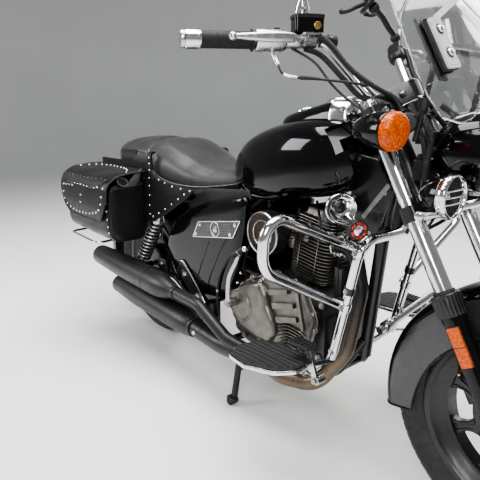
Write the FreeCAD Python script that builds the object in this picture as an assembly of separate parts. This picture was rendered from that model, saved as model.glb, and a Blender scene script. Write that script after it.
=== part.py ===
import FreeCAD, Part
import os
from math import sin, cos, tan, pi, radians, sqrt, atan2, degrees, hypot

# Cruiser motorcycle, millimetres. X forward, Y to the rider's left, Z up.
# Local drawings use X = 0 at the rear axle; everything is moved back by
# X_MID at the end, so that the origin is on the floor midway along it.
X_MID = 686.0
WHEELBASE = 1490.0
FRONT_R, FRONT_W = 302.0, 108.0          # 110/90-16 front tyre
REAR_R, REAR_W = 307.5, 128.0            # 130/90-15 rear tyre
REAR_LIFT = 5.0                          # rear tyre's gap to the floor on the centre stand
RAKE = 30.0                              # degrees from vertical
FORK_OFFSET = 35.0                       # fork line ahead of the steering axis
FORK_HALF = 107.0                        # half the fork spacing
TUBE_R = 19.0                            # fork inner tube
SLIDER_R = 26.5
HINGE_GAP = 0.05                         # radial clearance of axles and pins

os.makedirs("parts", exist_ok=True)
V = FreeCAD.Vector
NODES = {}

# ---------------------------------------------------------------- helpers


def box(x0, x1, y0, y1, z0, z1):
    return Part.makeBox(x1 - x0, y1 - y0, z1 - z0, V(x0, y0, z0))


def rod(a, b, r):
    a, b = V(*a), V(*b)
    d = b - a
    return Part.makeCylinder(r, d.Length, a, d)


def cone(a, b, r0, r1):
    a, b = V(*a), V(*b)
    d = b - a
    return Part.makeCone(r0, r1, d.Length, a, d)


def fuse(shapes):
    shapes = list(shapes)
    if len(shapes) == 1:
        return shapes[0]
    out = shapes[0].multiFuse(shapes[1:])
    return out.removeSplitter()


def cut(shape, tools):
    for t in tools:
        shape = shape.cut(t)
    return shape


def biggest(shape):
    return max(shape.Solids, key=lambda q: q.Volume)


def mirror_y(shape):
    return shape.mirror(V(0, 0, 0), V(0, 1, 0))


def both(shape):
    """A piece and its twin on the other side, as solids that don't touch."""
    return Part.makeCompound([shape, mirror_y(shape)])


def tube(points, radii, r, r_in=0.0):
    """Round bar or tube along straight runs joined by tangent arcs.
    radii: one bend radius per inner point."""
    pts = [V(*p) for p in points]
    if not isinstance(radii, (list, tuple)):
        radii = [radii] * (len(pts) - 2)
    edges = []
    here = pts[0]
    for i in range(1, len(pts) - 1):
        p, a, b = pts[i], pts[i - 1] - pts[i], pts[i + 1] - pts[i]
        la, lb = a.Length, b.Length
        a, b = a.normalize(), b.normalize()
        half = a.getAngle(b) / 2
        R = radii[i - 1]
        t = R / tan(half)
        t = min(t, 0.49 * la, 0.49 * lb)
        R = t * tan(half)
        s, e = p + a * t, p + b * t
        m = (a + b).normalize()
        centre = p + m * (R / sin(half))
        mid = centre - m * R
        if (s - here).Length > 1e-3:
            edges.append(Part.LineSegment(here, s).toShape())
        edges.append(Part.Arc(s, mid, e).toShape())
        here = e
    edges.append(Part.LineSegment(here, pts[-1]).toShape())
    wire = Part.Wire(edges)
    d = (pts[1] - pts[0])
    out = wire.makePipeShell([Part.Wire(Part.makeCircle(r, pts[0], d))], True, False)
    out = Part.Solid(out) if out.ShapeType == "Shell" else out
    if r_in:
        inner = wire.makePipeShell([Part.Wire(Part.makeCircle(r_in, pts[0], d))], True, False)
        out = out.cut(inner)
    return out


def poly(points, plane="XZ", at=0.0):
    """Closed face from corner points in a plane at a given offset."""
    if plane == "XZ":
        vs = [V(x, at, z) for x, z in points]
    elif plane == "YZ":
        vs = [V(at, y, z) for y, z in points]
    else:
        vs = [V(x, y, at) for x, y in points]
    return Part.Face(Part.makePolygon(vs + [vs[0]]))


def plate(points, plane, a, b):
    """Prism of an outline between two offsets."""
    f = poly(points, plane, a)
    n = {"XZ": V(0, b - a, 0), "YZ": V(b - a, 0, 0), "XY": V(0, 0, b - a)}[plane]
    return f.extrude(n)


def smooth_plate(points, plane, a, b, r):
    """Prism of an outline with its upright edges rounded."""
    s = plate(points, plane, a, b)
    n = {"XZ": V(0, 1, 0), "YZ": V(1, 0, 0), "XY": V(0, 0, 1)}[plane]
    es = []
    for e in s.Edges:
        if len(e.Vertexes) == 2:
            d = (e.Vertexes[1].Point - e.Vertexes[0].Point)
            if d.Length > 1e-6 and abs(abs(d.normalize().dot(n)) - 1) < 1e-6:
                es.append(e)
    try:
        return s.makeFillet(r, es)
    except Exception:
        return s


def rounded(shape, r):
    """Every edge rounded, where the shape allows it."""
    try:
        out = shape.makeFillet(r, shape.Edges)
        return out if out.isValid() and out.Volume > 0 else shape
    except Exception:
        return shape


def section(cx, w, zlo, zhi, r_top, r_bot, x=None):
    """A closed cross-section across the bike at one X: flat bottom, straight
    sides and rounded shoulders, of lines and arcs."""
    x = cx if x is None else x
    h = w / 2.0
    k = cos(pi / 4)
    rt, rb = min(r_top, h * 0.98, (zhi - zlo) * 0.6), min(r_bot, h * 0.5, (zhi - zlo) * 0.3)
    def P(y, z):
        return V(x, y, z)
    e = []
    def line(a, b):
        if (b - a).Length > 1e-4:
            e.append(Part.LineSegment(a, b).toShape())
    def arc(a, m, b):
        e.append(Part.Arc(a, m, b).toShape())
    line(P(-h + rb, zlo), P(h - rb, zlo))
    arc(P(h - rb, zlo), P(h - rb + rb * k, zlo + rb - rb * k), P(h, zlo + rb))
    line(P(h, zlo + rb), P(h, zhi - rt))
    arc(P(h, zhi - rt), P(h - rt + rt * k, zhi - rt + rt * k), P(h - rt, zhi))
    line(P(h - rt, zhi), P(-h + rt, zhi))
    arc(P(-h + rt, zhi), P(-h + rt - rt * k, zhi - rt + rt * k), P(-h, zhi - rt))
    line(P(-h, zhi - rt), P(-h, zlo + rb))
    arc(P(-h, zlo + rb), P(-h + rb - rb * k, zlo + rb - rb * k), P(-h + rb, zlo))
    return Part.Wire(e)


def loft(rows, ruled=True):
    """rows: (x, width, z_low, z_high, top radius, bottom radius)."""
    return Part.makeLoft([section(x, w, a, b, rt, rb) for x, w, a, b, rt, rb in rows], True, ruled)


def ring(profile, cx, cz, a0=0.0, sweep=360.0):
    """Solid of revolution about a cross-wise axle at (cx, cz).
    profile: (y, r) corner points. Angle 0 points forward, positive goes up."""
    pts = [V(cx + r, y, cz) for y, r in profile]
    f = Part.Face(Part.makePolygon(pts + [pts[0]]))
    s = f.revolve(V(cx, 0, cz), V(0, -1, 0), sweep)
    if a0:
        s.rotate(V(cx, 0, cz), V(0, -1, 0), a0)
    return s


def put(name, shape):
    NODES[name] = shape


# steering frame: local z runs up the steering axis, local x forward at
# right angles to it, from the point on the axis at the axle's height
STEER_X = WHEELBASE - FORK_OFFSET / cos(radians(RAKE))
def steer(shape):
    s = shape.copy()
    s.rotate(V(0, 0, 0), V(0, 1, 0), -RAKE)
    s.translate(V(STEER_X, 0, FRONT_R))
    return s
def steer_pt(x, y, z):
    c, s = cos(radians(RAKE)), sin(radians(RAKE))
    return (STEER_X + x * c - z * s, y, FRONT_R + x * s + z * c)

AX_F = (WHEELBASE, FRONT_R)
AX_R = (0.0, REAR_R + REAR_LIFT)

# ---------------------------------------------------------------- wheels
# tyre sections: (y, r) with a round crown, tall sidewalls and a bead
def tyre(cx, cz, R, w, bead_r, bead_w):
    """Round crown, bulged sidewalls, upright bead beside the rim flange."""
    h, b = w / 2.0, bead_w / 2.0
    wall = bead_r + 12.0
    side = bead_r + 0.52 * (R - bead_r)
    edge = R - 0.20 * (R - bead_r)
    P = lambda y, r: V(cx + r, y, cz)
    def half(k):
        return [P(k * b, bead_r), P(k * b, wall), P(k * (b + h + 5) / 2, (wall + side) / 2 - 2), P(k * h, side),
                P(k * (h * 0.965), (side + edge) / 2), P(k * h * 0.80, edge)]
    l, r = half(-1), half(1)
    e = [Part.LineSegment(l[0], l[1]).toShape(), Part.Arc(l[1], l[2], l[3]).toShape(), Part.Arc(l[3], l[4], l[5]).toShape(),
         Part.Arc(l[5], P(0, R), r[5]).toShape(), Part.Arc(r[5], r[4], r[3]).toShape(), Part.Arc(r[3], r[2], r[1]).toShape(),
         Part.LineSegment(r[1], r[0]).toShape(), Part.LineSegment(r[0], l[0]).toShape()]
    return Part.Face(Part.Wire(e)).revolve(V(cx, 0, cz), V(0, 1, 0), 360)


def cast_wheel(cx, cz, rim_r, rim_w, hub_r, hub_w, spokes, thick, bore):
    """Rim with a drop centre, flanges beside the tyre bead, wide cast spokes
    and a hub with a through bore."""
    h = rim_w / 2.0
    rim = ring([(-h - 5, rim_r - 6), (-h - 5, rim_r + 9), (-h - 0.6, rim_r + 9), (-h - 0.6, rim_r - 0.4),
                (h + 0.6, rim_r - 0.4), (h + 0.6, rim_r + 9), (h + 5, rim_r + 9), (h + 5, rim_r - 6),
                (h - 8, rim_r - 14), (h - 16, rim_r - 32), (-h + 16, rim_r - 32), (-h + 8, rim_r - 14)], cx, cz)
    hub = Part.makeCylinder(hub_r, hub_w, V(cx, -hub_w / 2.0, cz), V(0, 1, 0))
    bars = []
    for i in range(spokes):
        a = 360.0 * i / spokes
        w0, w1 = 21.0, 15.0
        f = poly([(cx + hub_r * 0.7, cz - w0), (cx + rim_r - 26, cz - w1), (cx + rim_r - 26, cz + w1), (cx + hub_r * 0.7, cz + w0)], "XZ", -thick / 2.0)
        s = f.extrude(V(0, thick, 0))
        s.rotate(V(cx, 0, cz), V(0, 1, 0), a)
        bars.append(s)
    s = fuse([rim, hub] + bars)
    return s.cut(Part.makeCylinder(bore, hub_w + 20, V(cx, -hub_w / 2.0 - 10, cz), V(0, 1, 0)))


AXLE_R = 8.0
put("front_tyre", tyre(AX_F[0], AX_F[1], FRONT_R, FRONT_W, 206.0, 84.0))
put("front_wheel", cast_wheel(AX_F[0], AX_F[1], 206.0, 84.0, 34.0, 84.0, 9, 26.0, AXLE_R + HINGE_GAP))
disc = ring([(48, 70), (48, 132), (52.5, 132), (52.5, 70)], *AX_F)
carrier = ring([(42.2, 24), (42.2, 40), (48, 78), (52.5, 78), (47.0, 36), (47.0, 24)], *AX_F)
put("front_brake_disc", fuse([disc, carrier]))

put("rear_tyre", tyre(AX_R[0], AX_R[1], REAR_R, REAR_W, 193.0, 98.0))
put("rear_wheel", cast_wheel(AX_R[0], AX_R[1], 193.0, 98.0, 78.0, 110.0, 9, 30.0, AXLE_R + HINGE_GAP))
SPROCKET = (74.0, 81.0)                       # chain line, y range
spr = Part.makeCylinder(84, 7, V(AX_R[0], SPROCKET[0], AX_R[1]), V(0, 1, 0)).cut(
    Part.makeCylinder(AXLE_R + 4, 60, V(AX_R[0], 50, AX_R[1]), V(0, 1, 0)))
spr = fuse([spr, Part.makeCylinder(40, 18.5, V(AX_R[0], 55.5, AX_R[1]), V(0, 1, 0)).cut(Part.makeCylinder(AXLE_R + 4, 40, V(AX_R[0], 50, AX_R[1]), V(0, 1, 0)))])
put("rear_sprocket", spr)

# ---------------------------------------------------------------- front end
AX_L = -FORK_OFFSET * tan(radians(RAKE))      # axle's place along the local z
LOWER_CLAMP = (461.0, 495.0)
UPPER_CLAMP = (697.0, 725.0)
STEM_R = 14.0
clamps = []
for z0, z1, half in ((LOWER_CLAMP[0], LOWER_CLAMP[1], 132.0), (UPPER_CLAMP[0], UPPER_CLAMP[1], 131.0)):
    c = smooth_plate([(-24, -34), (8, -half + 18), (22, -half), (54, -half), (62, -half + 18), (62, half - 18),
                      (54, half), (22, half), (8, half - 18), (-24, 34)], "XY", z0, z1, 10)
    clamps.append(c)
stem = Part.makeCylinder(STEM_R, UPPER_CLAMP[1] + 14 - LOWER_CLAMP[0], V(0, 0, LOWER_CLAMP[0]), V(0, 0, 1))
nut = Part.makeCylinder(22, 12, V(0, 0, UPPER_CLAMP[1]), V(0, 0, 1))
tc = fuse(clamps + [stem, nut])
for s in (-1, 1):
    tc = tc.cut(Part.makeCylinder(TUBE_R + 0.15, 400, V(FORK_OFFSET, s * FORK_HALF, 440), V(0, 0, 1)))

SLIDER_TOP, COLLAR_H = 252.0, 48.0
tubes, sliders = [], []
for s in (-1, 1):
    y = s * FORK_HALF
    tubes.append(Part.makeCylinder(TUBE_R, UPPER_CLAMP[1] + 10 - SLIDER_TOP - COLLAR_H, V(FORK_OFFSET, y, SLIDER_TOP + COLLAR_H), V(0, 0, 1)))
    body = Part.makeCylinder(SLIDER_R, SLIDER_TOP - AX_L + 12, V(FORK_OFFSET, y, AX_L - 12), V(0, 0, 1))
    collar = Part.makeCylinder(31.0, COLLAR_H, V(FORK_OFFSET, y, SLIDER_TOP), V(0, 0, 1))
    foot = Part.makeCylinder(21.0, 52, V(FORK_OFFSET, y - 26, AX_L), V(0, 1, 0))
    sliders.append(fuse([body, collar, foot]))
put("fork_tubes", steer(Part.makeCompound(tubes)))
fax = [rod((AX_F[0], -136, AX_F[1]), (AX_F[0], 136, AX_F[1]), AXLE_R),
       rod((AX_F[0], -144, AX_F[1]), (AX_F[0], -132, AX_F[1]), 13), rod((AX_F[0], 132, AX_F[1]), (AX_F[0], 144, AX_F[1]), 13)]
fax += [rod((AX_F[0], s * 53.5, AX_F[1]), (AX_F[0], s * 84.0, AX_F[1]), 14) for s in (-1, 1)]
put("fork_sliders", fuse([steer(q) for q in sliders] + fax))

# front fender: U-shaped shell round the tyre, carried by the sliders
FEND_IN, FEND_OUT, FEND_W = 311.0, 315.0, 66.0
FEND_ARC = (25.0, 167.0)                      # front end, sweep back over the top
fen = ring([(-FEND_W - 3, 180), (-FEND_W - 3, 292), (-FEND_W + 8, FEND_OUT - 8), (-34, FEND_OUT + 2), (34, FEND_OUT + 2), (FEND_W - 8, FEND_OUT - 8),
            (FEND_W + 3, 292), (FEND_W + 3, 180), (FEND_W, 180), (FEND_W, 290), (FEND_W - 10, FEND_IN - 7), (34, FEND_IN - 1), (-34, FEND_IN - 1),
            (-FEND_W + 10, FEND_IN - 7), (-FEND_W, 290), (-FEND_W, 180)], AX_F[0], AX_F[1], *FEND_ARC)
# the skirts' lower edge is a circle set forward and down of the axle
fen = fen.cut(Part.makeCylinder(262, 200, V(AX_F[0] + 32.7, -100, AX_F[1] - 46.7), V(0, 1, 0)))
fen = biggest(fen)
brk = []
for s in (-1, 1):
    b = box(FORK_OFFSET - 20, FORK_OFFSET + 20, FEND_W + 1.5, FORK_HALF - SLIDER_R + 3, 195, 238)
    b = b if s > 0 else mirror_y(b)
    brk.append(steer(b.cut(Part.makeCylinder(SLIDER_R + 0.15, 400, V(FORK_OFFSET, s * FORK_HALF, 0), V(0, 0, 1)))))
put("front_fender", fuse([fen] + brk))

# calliper on the left slider, behind the leg
cal = fuse([box(FORK_OFFSET - 118, FORK_OFFSET - 66, 34, 47, 20, 92), box(FORK_OFFSET - 118, FORK_OFFSET - 66, 53.5, 74, 20, 92),
            box(FORK_OFFSET - 140, FORK_OFFSET - 130, 34, 74, 20, 92), box(FORK_OFFSET - 132, FORK_OFFSET - 118, 34, 47, 20, 92),
            box(FORK_OFFSET - 132, FORK_OFFSET - 118, 53.5, 74, 20, 92),
            box(FORK_OFFSET - 80, FORK_OFFSET - 20, 68, 78, 30, 84)])
cal = cal.cut(Part.makeCylinder(SLIDER_R + 0.2, 400, V(FORK_OFFSET, FORK_HALF, 0), V(0, 0, 1)))
put("brake_caliper", steer(cal))

# handlebar: (x, y, z) of the right half, mirrored
BAR_R = 11.1
BAR = [(1104, 0, 968), (1104, -80, 968), (998, -137, 1098), (854, -420, 1095)]
full = [(x, -y, z) for x, y, z in reversed(BAR[1:])] + BAR[1:]
bar = tube(full, [44, 36, 36, 44], BAR_R)
put("handlebar", bar)
bx, _, bz = BAR[0]
risers = []
for s in (-1, 1):
    lo = steer_pt(28, 0, UPPER_CLAMP[1] - 12)
    r = plate([(bx - 13, bz), (bx + 15, bz), (lo[0] + 17, lo[2] + 4), (lo[0] - 11, lo[2] - 4)], "XZ", s * 31 - 12, s * 31 + 12)
    r = fuse([r, Part.makeCylinder(20, 24, V(bx, s * 31 - 12, bz), V(0, 1, 0))])
    r = r.cut(rod((bx, -80, bz), (bx, 80, bz), BAR_R + 0.1))
    risers.append(r)
top_face = steer(Part.makeBox(300, 400, 200, V(-150, -200, UPPER_CLAMP[1] - 200)))
put("triple_clamps", Part.makeCompound([steer(tc)] + [biggest(q.cut(top_face)) for q in risers]))

def along(a, b, t):
    return tuple(a[i] + (b[i] - a[i]) * t for i in range(3))
G0, G1 = BAR[-2], BAR[-1]
GL = sqrt(sum((G1[i] - G0[i]) ** 2 for i in range(3)))
def on_grip(mm):                      # a point on the bar, mm in from its end
    return along(G1, G0, mm / GL)
# from the bar's end inwards: end weight, grip, switch housing, lever perch
END_R, GRIP_R, HOUSING_R, PERCH_R = 21.0, 18.5, 24.0, 17.0
shaft = fuse([rod(on_grip(-1), on_grip(330), BAR_R + 0.1), tube(full, [44, 36, 36, 44], BAR_R + 0.1)])
grip = fuse([rod(on_grip(35), on_grip(153), GRIP_R), rod(on_grip(-0.2), on_grip(35), END_R)]).cut(shaft)
end = rod(on_grip(-10), on_grip(-0.2), END_R - 2)
grip = fuse([grip, end])
put("grips", both(grip))
gdir = V(*on_grip(0)) - V(*on_grip(10)); gdir.normalize()
fwd = V(0, 0, 1).cross(gdir); fwd.normalize()
if fwd.x < 0:
    fwd = fwd * -1
def off(p, f=0.0, u=0.0):
    return (p[0] + fwd.x * f, p[1] + fwd.y * f, p[2] + fwd.z * f + u)
perch_axis = off(on_grip(262), 26)
ctl = fuse([rod(on_grip(155), on_grip(226), HOUSING_R), rod(on_grip(226), on_grip(300), PERCH_R),
            rod(off(on_grip(262), 0), perch_axis, 11)]).cut(shaft)
lever = fuse([rod(off(perch_axis, 0, -6), off(perch_axis, 0, 6), 10), rod(perch_axis, off(on_grip(222), 52), 8),
              rod(off(on_grip(222), 52), off(on_grip(95), 56), 7), Part.makeSphere(9, V(*off(on_grip(95), 56)))])
put("hand_levers", both(biggest(lever.cut(ctl))))
master = box(-36, 36, -21, 21, 12, 56)
master.rotate(V(0, 0, 0), V(0, 0, 1), degrees(atan2(gdir.y, gdir.x)))
master.translate(V(*on_grip(276)))
ctl_r = biggest(fuse([ctl, master.cut(shaft)]))
put("hand_controls", Part.makeCompound([ctl_r, mirror_y(biggest(ctl))]))

# mirrors: stem and round-cornered head
m0 = off(on_grip(262), 4, 100)
m1 = (m0[0] + 14, m0[1] - 22, m0[2] + 70)
m2 = (m0[0] - 2, m0[1] - 70, m0[2] + 128)
stemm = tube([off(on_grip(262), 4, 56.2), m0, m1, m2], [20, 40], 5.0)
head = box(-9, 9, -62, 62, -38, 38)
head = head.makeFillet(16, [e for e in head.Edges if abs((e.Vertexes[1].Point - e.Vertexes[0].Point).normalize().x) > 0.9])
head.rotate(V(0, 0, 0), V(0, 0, 1), -12)
head.translate(V(m2[0] + 4, m2[1] - 30, m2[2] + 26))
mir_r = biggest(fuse([stemm, head]))
low = rod(off(on_grip(262), 4, 17.2), off(on_grip(262), 4, 60), 5.0)
mir_l = mirror_y(biggest(fuse([mir_r, low])))
put("mirrors", Part.makeCompound([mir_r, mir_l]))

# cables that the steering carries all the way, along their real route:
# the throttle's twin, the switch loom's ribbed conduit and the brake hose
CABLES = [
    ([off(on_grip(196), 0, -24.5), (962, -246, 1046), (984, -240, 1021), (1030, -190, 1014), (1088, -122, 1004), (1122, -92, 996)], 4.0),
    ([off(on_grip(300.5), 12, 10), (1030, -148, 1085), (1068, -124, 1036), (1112, -100, 1000), (1146, -70, 974), (1168, -66, 946)], 6.5),
]
cab = []
for route, r in CABLES:
    pts = [V(*q) for q in route]
    rad = []
    for i in range(1, len(pts) - 1):
        a, b = pts[i - 1] - pts[i], pts[i + 1] - pts[i]
        half = a.getAngle(b) / 2
        rad.append(0.45 * min(a.Length, b.Length) * tan(half))
    print("cable radii", [round(q) for q in rad])
    cab.append(tube(route, rad, r))
cab = [c.cut(bar).cut(ctl_r) for c in cab]
cab[0] = cab[0].cut(cab[1])
cab += [mirror_y(c) for c in cab]
NODES["control_cables"] = Part.makeCompound([biggest(c) for c in cab])

# headlight on the clamps, indicators, lamps on a light bar, windscreen
HL = (1330.0, 0.0, 862.0)
bowl = fuse([rod((HL[0] - 66, 0, HL[2]), (HL[0] + 34, 0, HL[2]), 84), cone((HL[0] - 104, 0, HL[2]), (HL[0] - 66, 0, HL[2]), 50, 84),
             rod((HL[0] + 34, 0, HL[2]), (HL[0] + 54, 0, HL[2]), 92)])
ears = []
for s in (-1, 1):
    arm = plate([(1190, 812), (1230, 812), (1330, 846), (1330, 880), (1230, 872), (1160, 872)], "XZ", 84.5, 90)
    sleeve = steer(Part.makeCylinder(TUBE_R + 5, 62, V(FORK_OFFSET, FORK_HALF, 572), V(0, 0, 1)).cut(
        Part.makeCylinder(TUBE_R + 0.15, 300, V(FORK_OFFSET, FORK_HALF, 500), V(0, 0, 1))))
    e = fuse([rod((1228, 104, 884), (1228, 86, 868), 8), arm.cut(steer(Part.makeCylinder(TUBE_R + 2, 300, V(FORK_OFFSET, FORK_HALF, 500), V(0, 0, 1)))), sleeve, rod((1318, 80, 862), (1318, 98, 862), 11)])
    ears.append(e if s > 0 else mirror_y(e))
put("headlight", fuse([bowl] + ears))

ind = []
LENS, LENS_DIR, LENS_R = V(1222, -188, 907), V(1, -0.08, -0.05), 40.0
LENS_DIR.normalize()
body = fuse([Part.makeCylinder(35, 30, LENS - LENS_DIR * 30.4, LENS_DIR), Part.makeCone(13, 35, 62, LENS - LENS_DIR * 92.4, LENS_DIR)])
lens = Part.makeCylinder(LENS_R, 26, LENS, LENS_DIR)
arm = rod((1156, -131, 888), (1178, -172, 904), 8)
put("front_indicators", both(fuse([body, lens, arm])))

LAMP = (1338.0, 130.0, 785.0)                 # middle of each lamp's front
bar2 = fuse([rod((1312, -205, 752), (1312, 205, 752), 9)])
lamps = [fuse([rod((LAMP[0] - 34, s * LAMP[1], LAMP[2]), (LAMP[0], s * LAMP[1], LAMP[2]), 38), cone((LAMP[0] - 66, s * LAMP[1], LAMP[2]), (LAMP[0] - 34, s * LAMP[1], LAMP[2]), 18, 38),
               rod((LAMP[0] - 8, s * LAMP[1], LAMP[2]), (LAMP[0] + 4, s * LAMP[1], LAMP[2]), 41), rod((1312, s * LAMP[1], 755), (1312, s * LAMP[1], 780), 8)]) for s in (-1, 1)]
strut = [fuse([box(1276.5, 1312, s * 60 - 6, s * 60 + 6, 742, 762)]) for s in (-1, 1)]
aux = fuse([bar2] + lamps + strut)
put("aux_lamps", aux)

# windscreen: a sheet 4 mm thick, bent about an axis that leans back with the
# forks; its lower edge arches over the headlight
SCREEN_R, SCREEN_LEAN = 700.0, 30.0
SCREEN_FOOT = (1367.5, 930.0)                 # x, z of its middle line at the foot
SCREEN_EDGE = [(-202, 62), (-190, 20), (-158, 4), (-126, 8), (-96, 22), (-56, 62), (56, 62), (96, 22), (126, 8), (158, 4), (190, 20), (202, 62),
               (203, 120), (196, 250), (184, 380), (140, 500), (60, 532), (-60, 532), (-140, 500), (-184, 380), (-196, 250), (-203, 120)]
def screen_place(q):
    q.rotate(V(0, 0, 0), V(0, 1, 0), -SCREEN_LEAN)
    q.translate(V(SCREEN_FOOT[0], 0, SCREEN_FOOT[1]))
    return q
flat = plate(SCREEN_EDGE, "YZ", -80, 20)
skin = Part.makeCylinder(SCREEN_R, 700, V(-SCREEN_R, 0, -60), V(0, 0, 1)).cut(Part.makeCylinder(SCREEN_R - 4, 800, V(-SCREEN_R, 0, -100), V(0, 0, 1)))
put("windscreen", screen_place(biggest(flat.common(skin))))
# screen brackets: an upright strip behind the sheet on each side, a cross
# tube between them and two legs down to the headlight's ears
mnt = []
for s in (-1, 1):
    y = s * 140
    strip = Part.makeBox(5, 26, 130, V(-(SCREEN_R - sqrt(SCREEN_R ** 2 - 153 ** 2)) - 10.5, y - 13, 95))
    mnt.append(screen_place(strip))
x_at = lambda z: SCREEN_FOOT[0] - (z - SCREEN_FOOT[1]) * tan(radians(SCREEN_LEAN))
mnt.append(rod((x_at(1060) - 32, -140, 1060), (x_at(1060) - 32, 140, 1060), 7))
for s in (-1, 1):
    mnt.append(rod((x_at(1060) - 32, s * 140, 1060), (x_at(1060) - 12, s * 140, 1060), 6))
    mnt.append(rod((x_at(1060) - 32, s * 104, 1060), (1228, s * 104, 884), 6))
put("screen_mounts", biggest(fuse(mnt).cut(NODES["windscreen"]).cut(NODES["headlight"])))

# ---------------------------------------------------------------- frame
FW = 13.0
HEAD = (steer_pt(0, 0, 500), steer_pt(0, 0, 692))
head_tube = steer(Part.makeCylinder(27, 192, V(0, 0, 500), V(0, 0, 1)))
bore = steer(Part.makeCylinder(STEM_R + HINGE_GAP, 400, V(0, 0, 400), V(0, 0, 1)))
spine = tube([steer_pt(0, 0, 610), (980, 0, 800), (640, 0, 690), (560, 0, 640)], [150, 80], 24)
rails = []
for s in (-1, 1):
    rails.append(tube([(640, s * 10, 690), (560, s * 80, 655), (250, s * 108, 640), (-150, s * 108, 668)], [60, 200], FW))
cross = [rod((250, -108, 640), (250, 108, 640), 11), rod((-140, -108, 667), (-140, 108, 667), 11)]
RF = (0.0, AX_R[1] + 22)
rf = ring([(-84, 300), (-84, 345), (-66, 362), (66, 362), (84, 345), (84, 300), (80, 300), (80, 343), (64, 358), (-64, 358), (-80, 343), (-80, 300)], RF[0], RF[1], 58.0, 132.0)
put("rear_fender", rf)
frame_spine = biggest(fuse([head_tube, spine] + rails + cross).cut(bore).cut(rf))
put("frame_spine", frame_spine)
down = tube([steer_pt(-12, 0, 612), (1106, 0, 704), (1070, 0, 300)], [150], 17)
cradle = []
for s in (-1, 1):
    cradle.append(tube([(1072, s * 8, 345), (1026, s * 58, 250), (930, s * 118, 196), (620, s * 118, 196), (530, s * 118, 240), (505, s * 112, 420), (545, s * 90, 652)], [60, 60, 60, 70, 120], FW))
plates = [plate([(470, 250), (560, 250), (560, 400), (480, 400)], "XZ", s * 118 - 5, s * 118 + 5) for s in (-1, 1)]
cb = [rod((600, -118, 196), (600, 118, 196), 12), rod((1010, -66, 241), (1010, 66, 241), 11)]
CS_PIVOT = (640.0, 166.0)                    # centre stand's pivot, x and z
SS_PIVOT = (700.0, 150.0, 186.0)             # side stand's pivot
STAND_PIN_R = 6.0
cb.append(rod((CS_PIVOT[0], -118, CS_PIVOT[1]), (CS_PIVOT[0], 118, CS_PIVOT[1]), STAND_PIN_R))
cb += [box(CS_PIVOT[0] - 14, CS_PIVOT[0] + 14, s * 114 - 4, s * 114 + 4, CS_PIVOT[1] - 12, 196) for s in (-1, 1)]
cb.append(rod((SS_PIVOT[0], 118, SS_PIVOT[2]), (SS_PIVOT[0], 168, SS_PIVOT[2]), STAND_PIN_R))
frame_cradle = fuse([down] + cradle + plates + cb)
frame_cradle = biggest(frame_cradle.cut(frame_spine).cut(steer(Part.makeCylinder(27, 192, V(0, 0, 500), V(0, 0, 1)))))
put("frame_cradle", frame_cradle)

# ---------------------------------------------------------------- rear end
PIVOT = (515.0, 330.0)
arms = []
for s in (-1, 1):
    arms.append(tube([(PIVOT[0], s * 76, PIVOT[1]), (300, s * 92, 322), (40, s * 112, AX_R[1])], [300], 17))
    arms.append(box(-40, 52, s * 112 - 9, s * 112 + 9, AX_R[1] - 22, AX_R[1] + 22))
piv = rod((PIVOT[0], -97, PIVOT[1]), (PIVOT[0], 97, PIVOT[1]), 20)
swing = fuse(arms + [piv, rod((350, -86, 323), (350, 86, 323), 13)])
rax = [rod((0, -130, AX_R[1]), (0, 130, AX_R[1]), AXLE_R), rod((0, -134, AX_R[1]), (0, -118, AX_R[1]), 13), rod((0, 118, AX_R[1]), (0, 134, AX_R[1]), 13)]
rax += [rod((0, -106, AX_R[1]), (0, -61, AX_R[1]), 13), rod((0, 86, AX_R[1]), (0, 106, AX_R[1]), 13)]
put("swingarm", fuse([swing] + rax))

SH_LO, SH_HI = (52.0, 142.0, 336.0), (238.0, 142.0, 590.0)
def shock():
    lo, hi = V(*SH_LO), V(*SH_HI)
    d = hi - lo
    L = d.Length
    s = fuse([rod(SH_LO, SH_HI, 9), Part.makeCylinder(24, L - 90, lo + d * (40.0 / L), d),
              rod((SH_LO[0], 128, SH_LO[2]), (SH_LO[0], 156, SH_LO[2]), 15), rod((SH_HI[0], 128, SH_HI[2]), (SH_HI[0], 156, SH_HI[2]), 15)])
    return s
put("rear_shocks", both(shock()))

# ---------------------------------------------------------------- engine
case = smooth_plate([(640, 262), (700, 236), (960, 236), (1020, 300), (1020, 420), (960, 480), (800, 480), (660, 430)], "XZ", -112, 112, 20)
case = case.cut(box(600, 738, 66, 90, 276, 388))          # slot for the chain and front sprocket
put("engine_case", case)
CYL_TILT = 8.0
def cyl_local():
    out = [Part.makeCylinder(50, 175, V(0, 0, 0), V(0, 0, 1))]
    for i in range(11):
        out.append(Part.makeBox(150, 164, 3.2, V(-75, -82, 12 + i * 13)))
    out.append(Part.makeBox(128, 116, 40, V(-64, -58, 172)))
    return out
cyl = fuse(cyl_local())
cyl.rotate(V(0, 0, 0), V(0, 1, 0), CYL_TILT)
cyl.translate(V(905, 0, 481))
cyl = cyl.cut(case).cut(frame_spine)
put("cylinder", cyl)
clutch_cover = smooth_plate([(672, 330), (720, 292), (860, 286), (990, 330), (1012, 410), (960, 500), (840, 512), (720, 452), (676, 400)], "XZ", -170, -112.0, 26)
alternator_cover = smooth_plate([(690, 320), (760, 280), (900, 280), (990, 340), (990, 430), (900, 480), (760, 470), (690, 400)], "XZ", 112.0, 160, 26)
put("engine_covers", Part.makeCompound([clutch_cover, alternator_cover]))
carb = fuse([rod((770, 0, 600), (828, 0, 600), 30), rod((690, 0, 600), (770, 0, 600), 42), rod((800, 0, 545), (800, 0, 640), 26)])
put("carburettor", carb.cut(cyl).cut(frame_spine))
airb = fuse([rod((834, -176, 622), (834, -120, 622), 62), rod((834, -120, 622), (760, -30, 610), 22)])
put("air_cleaner", airb.cut(NODES["carburettor"]).cut(cyl))

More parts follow.
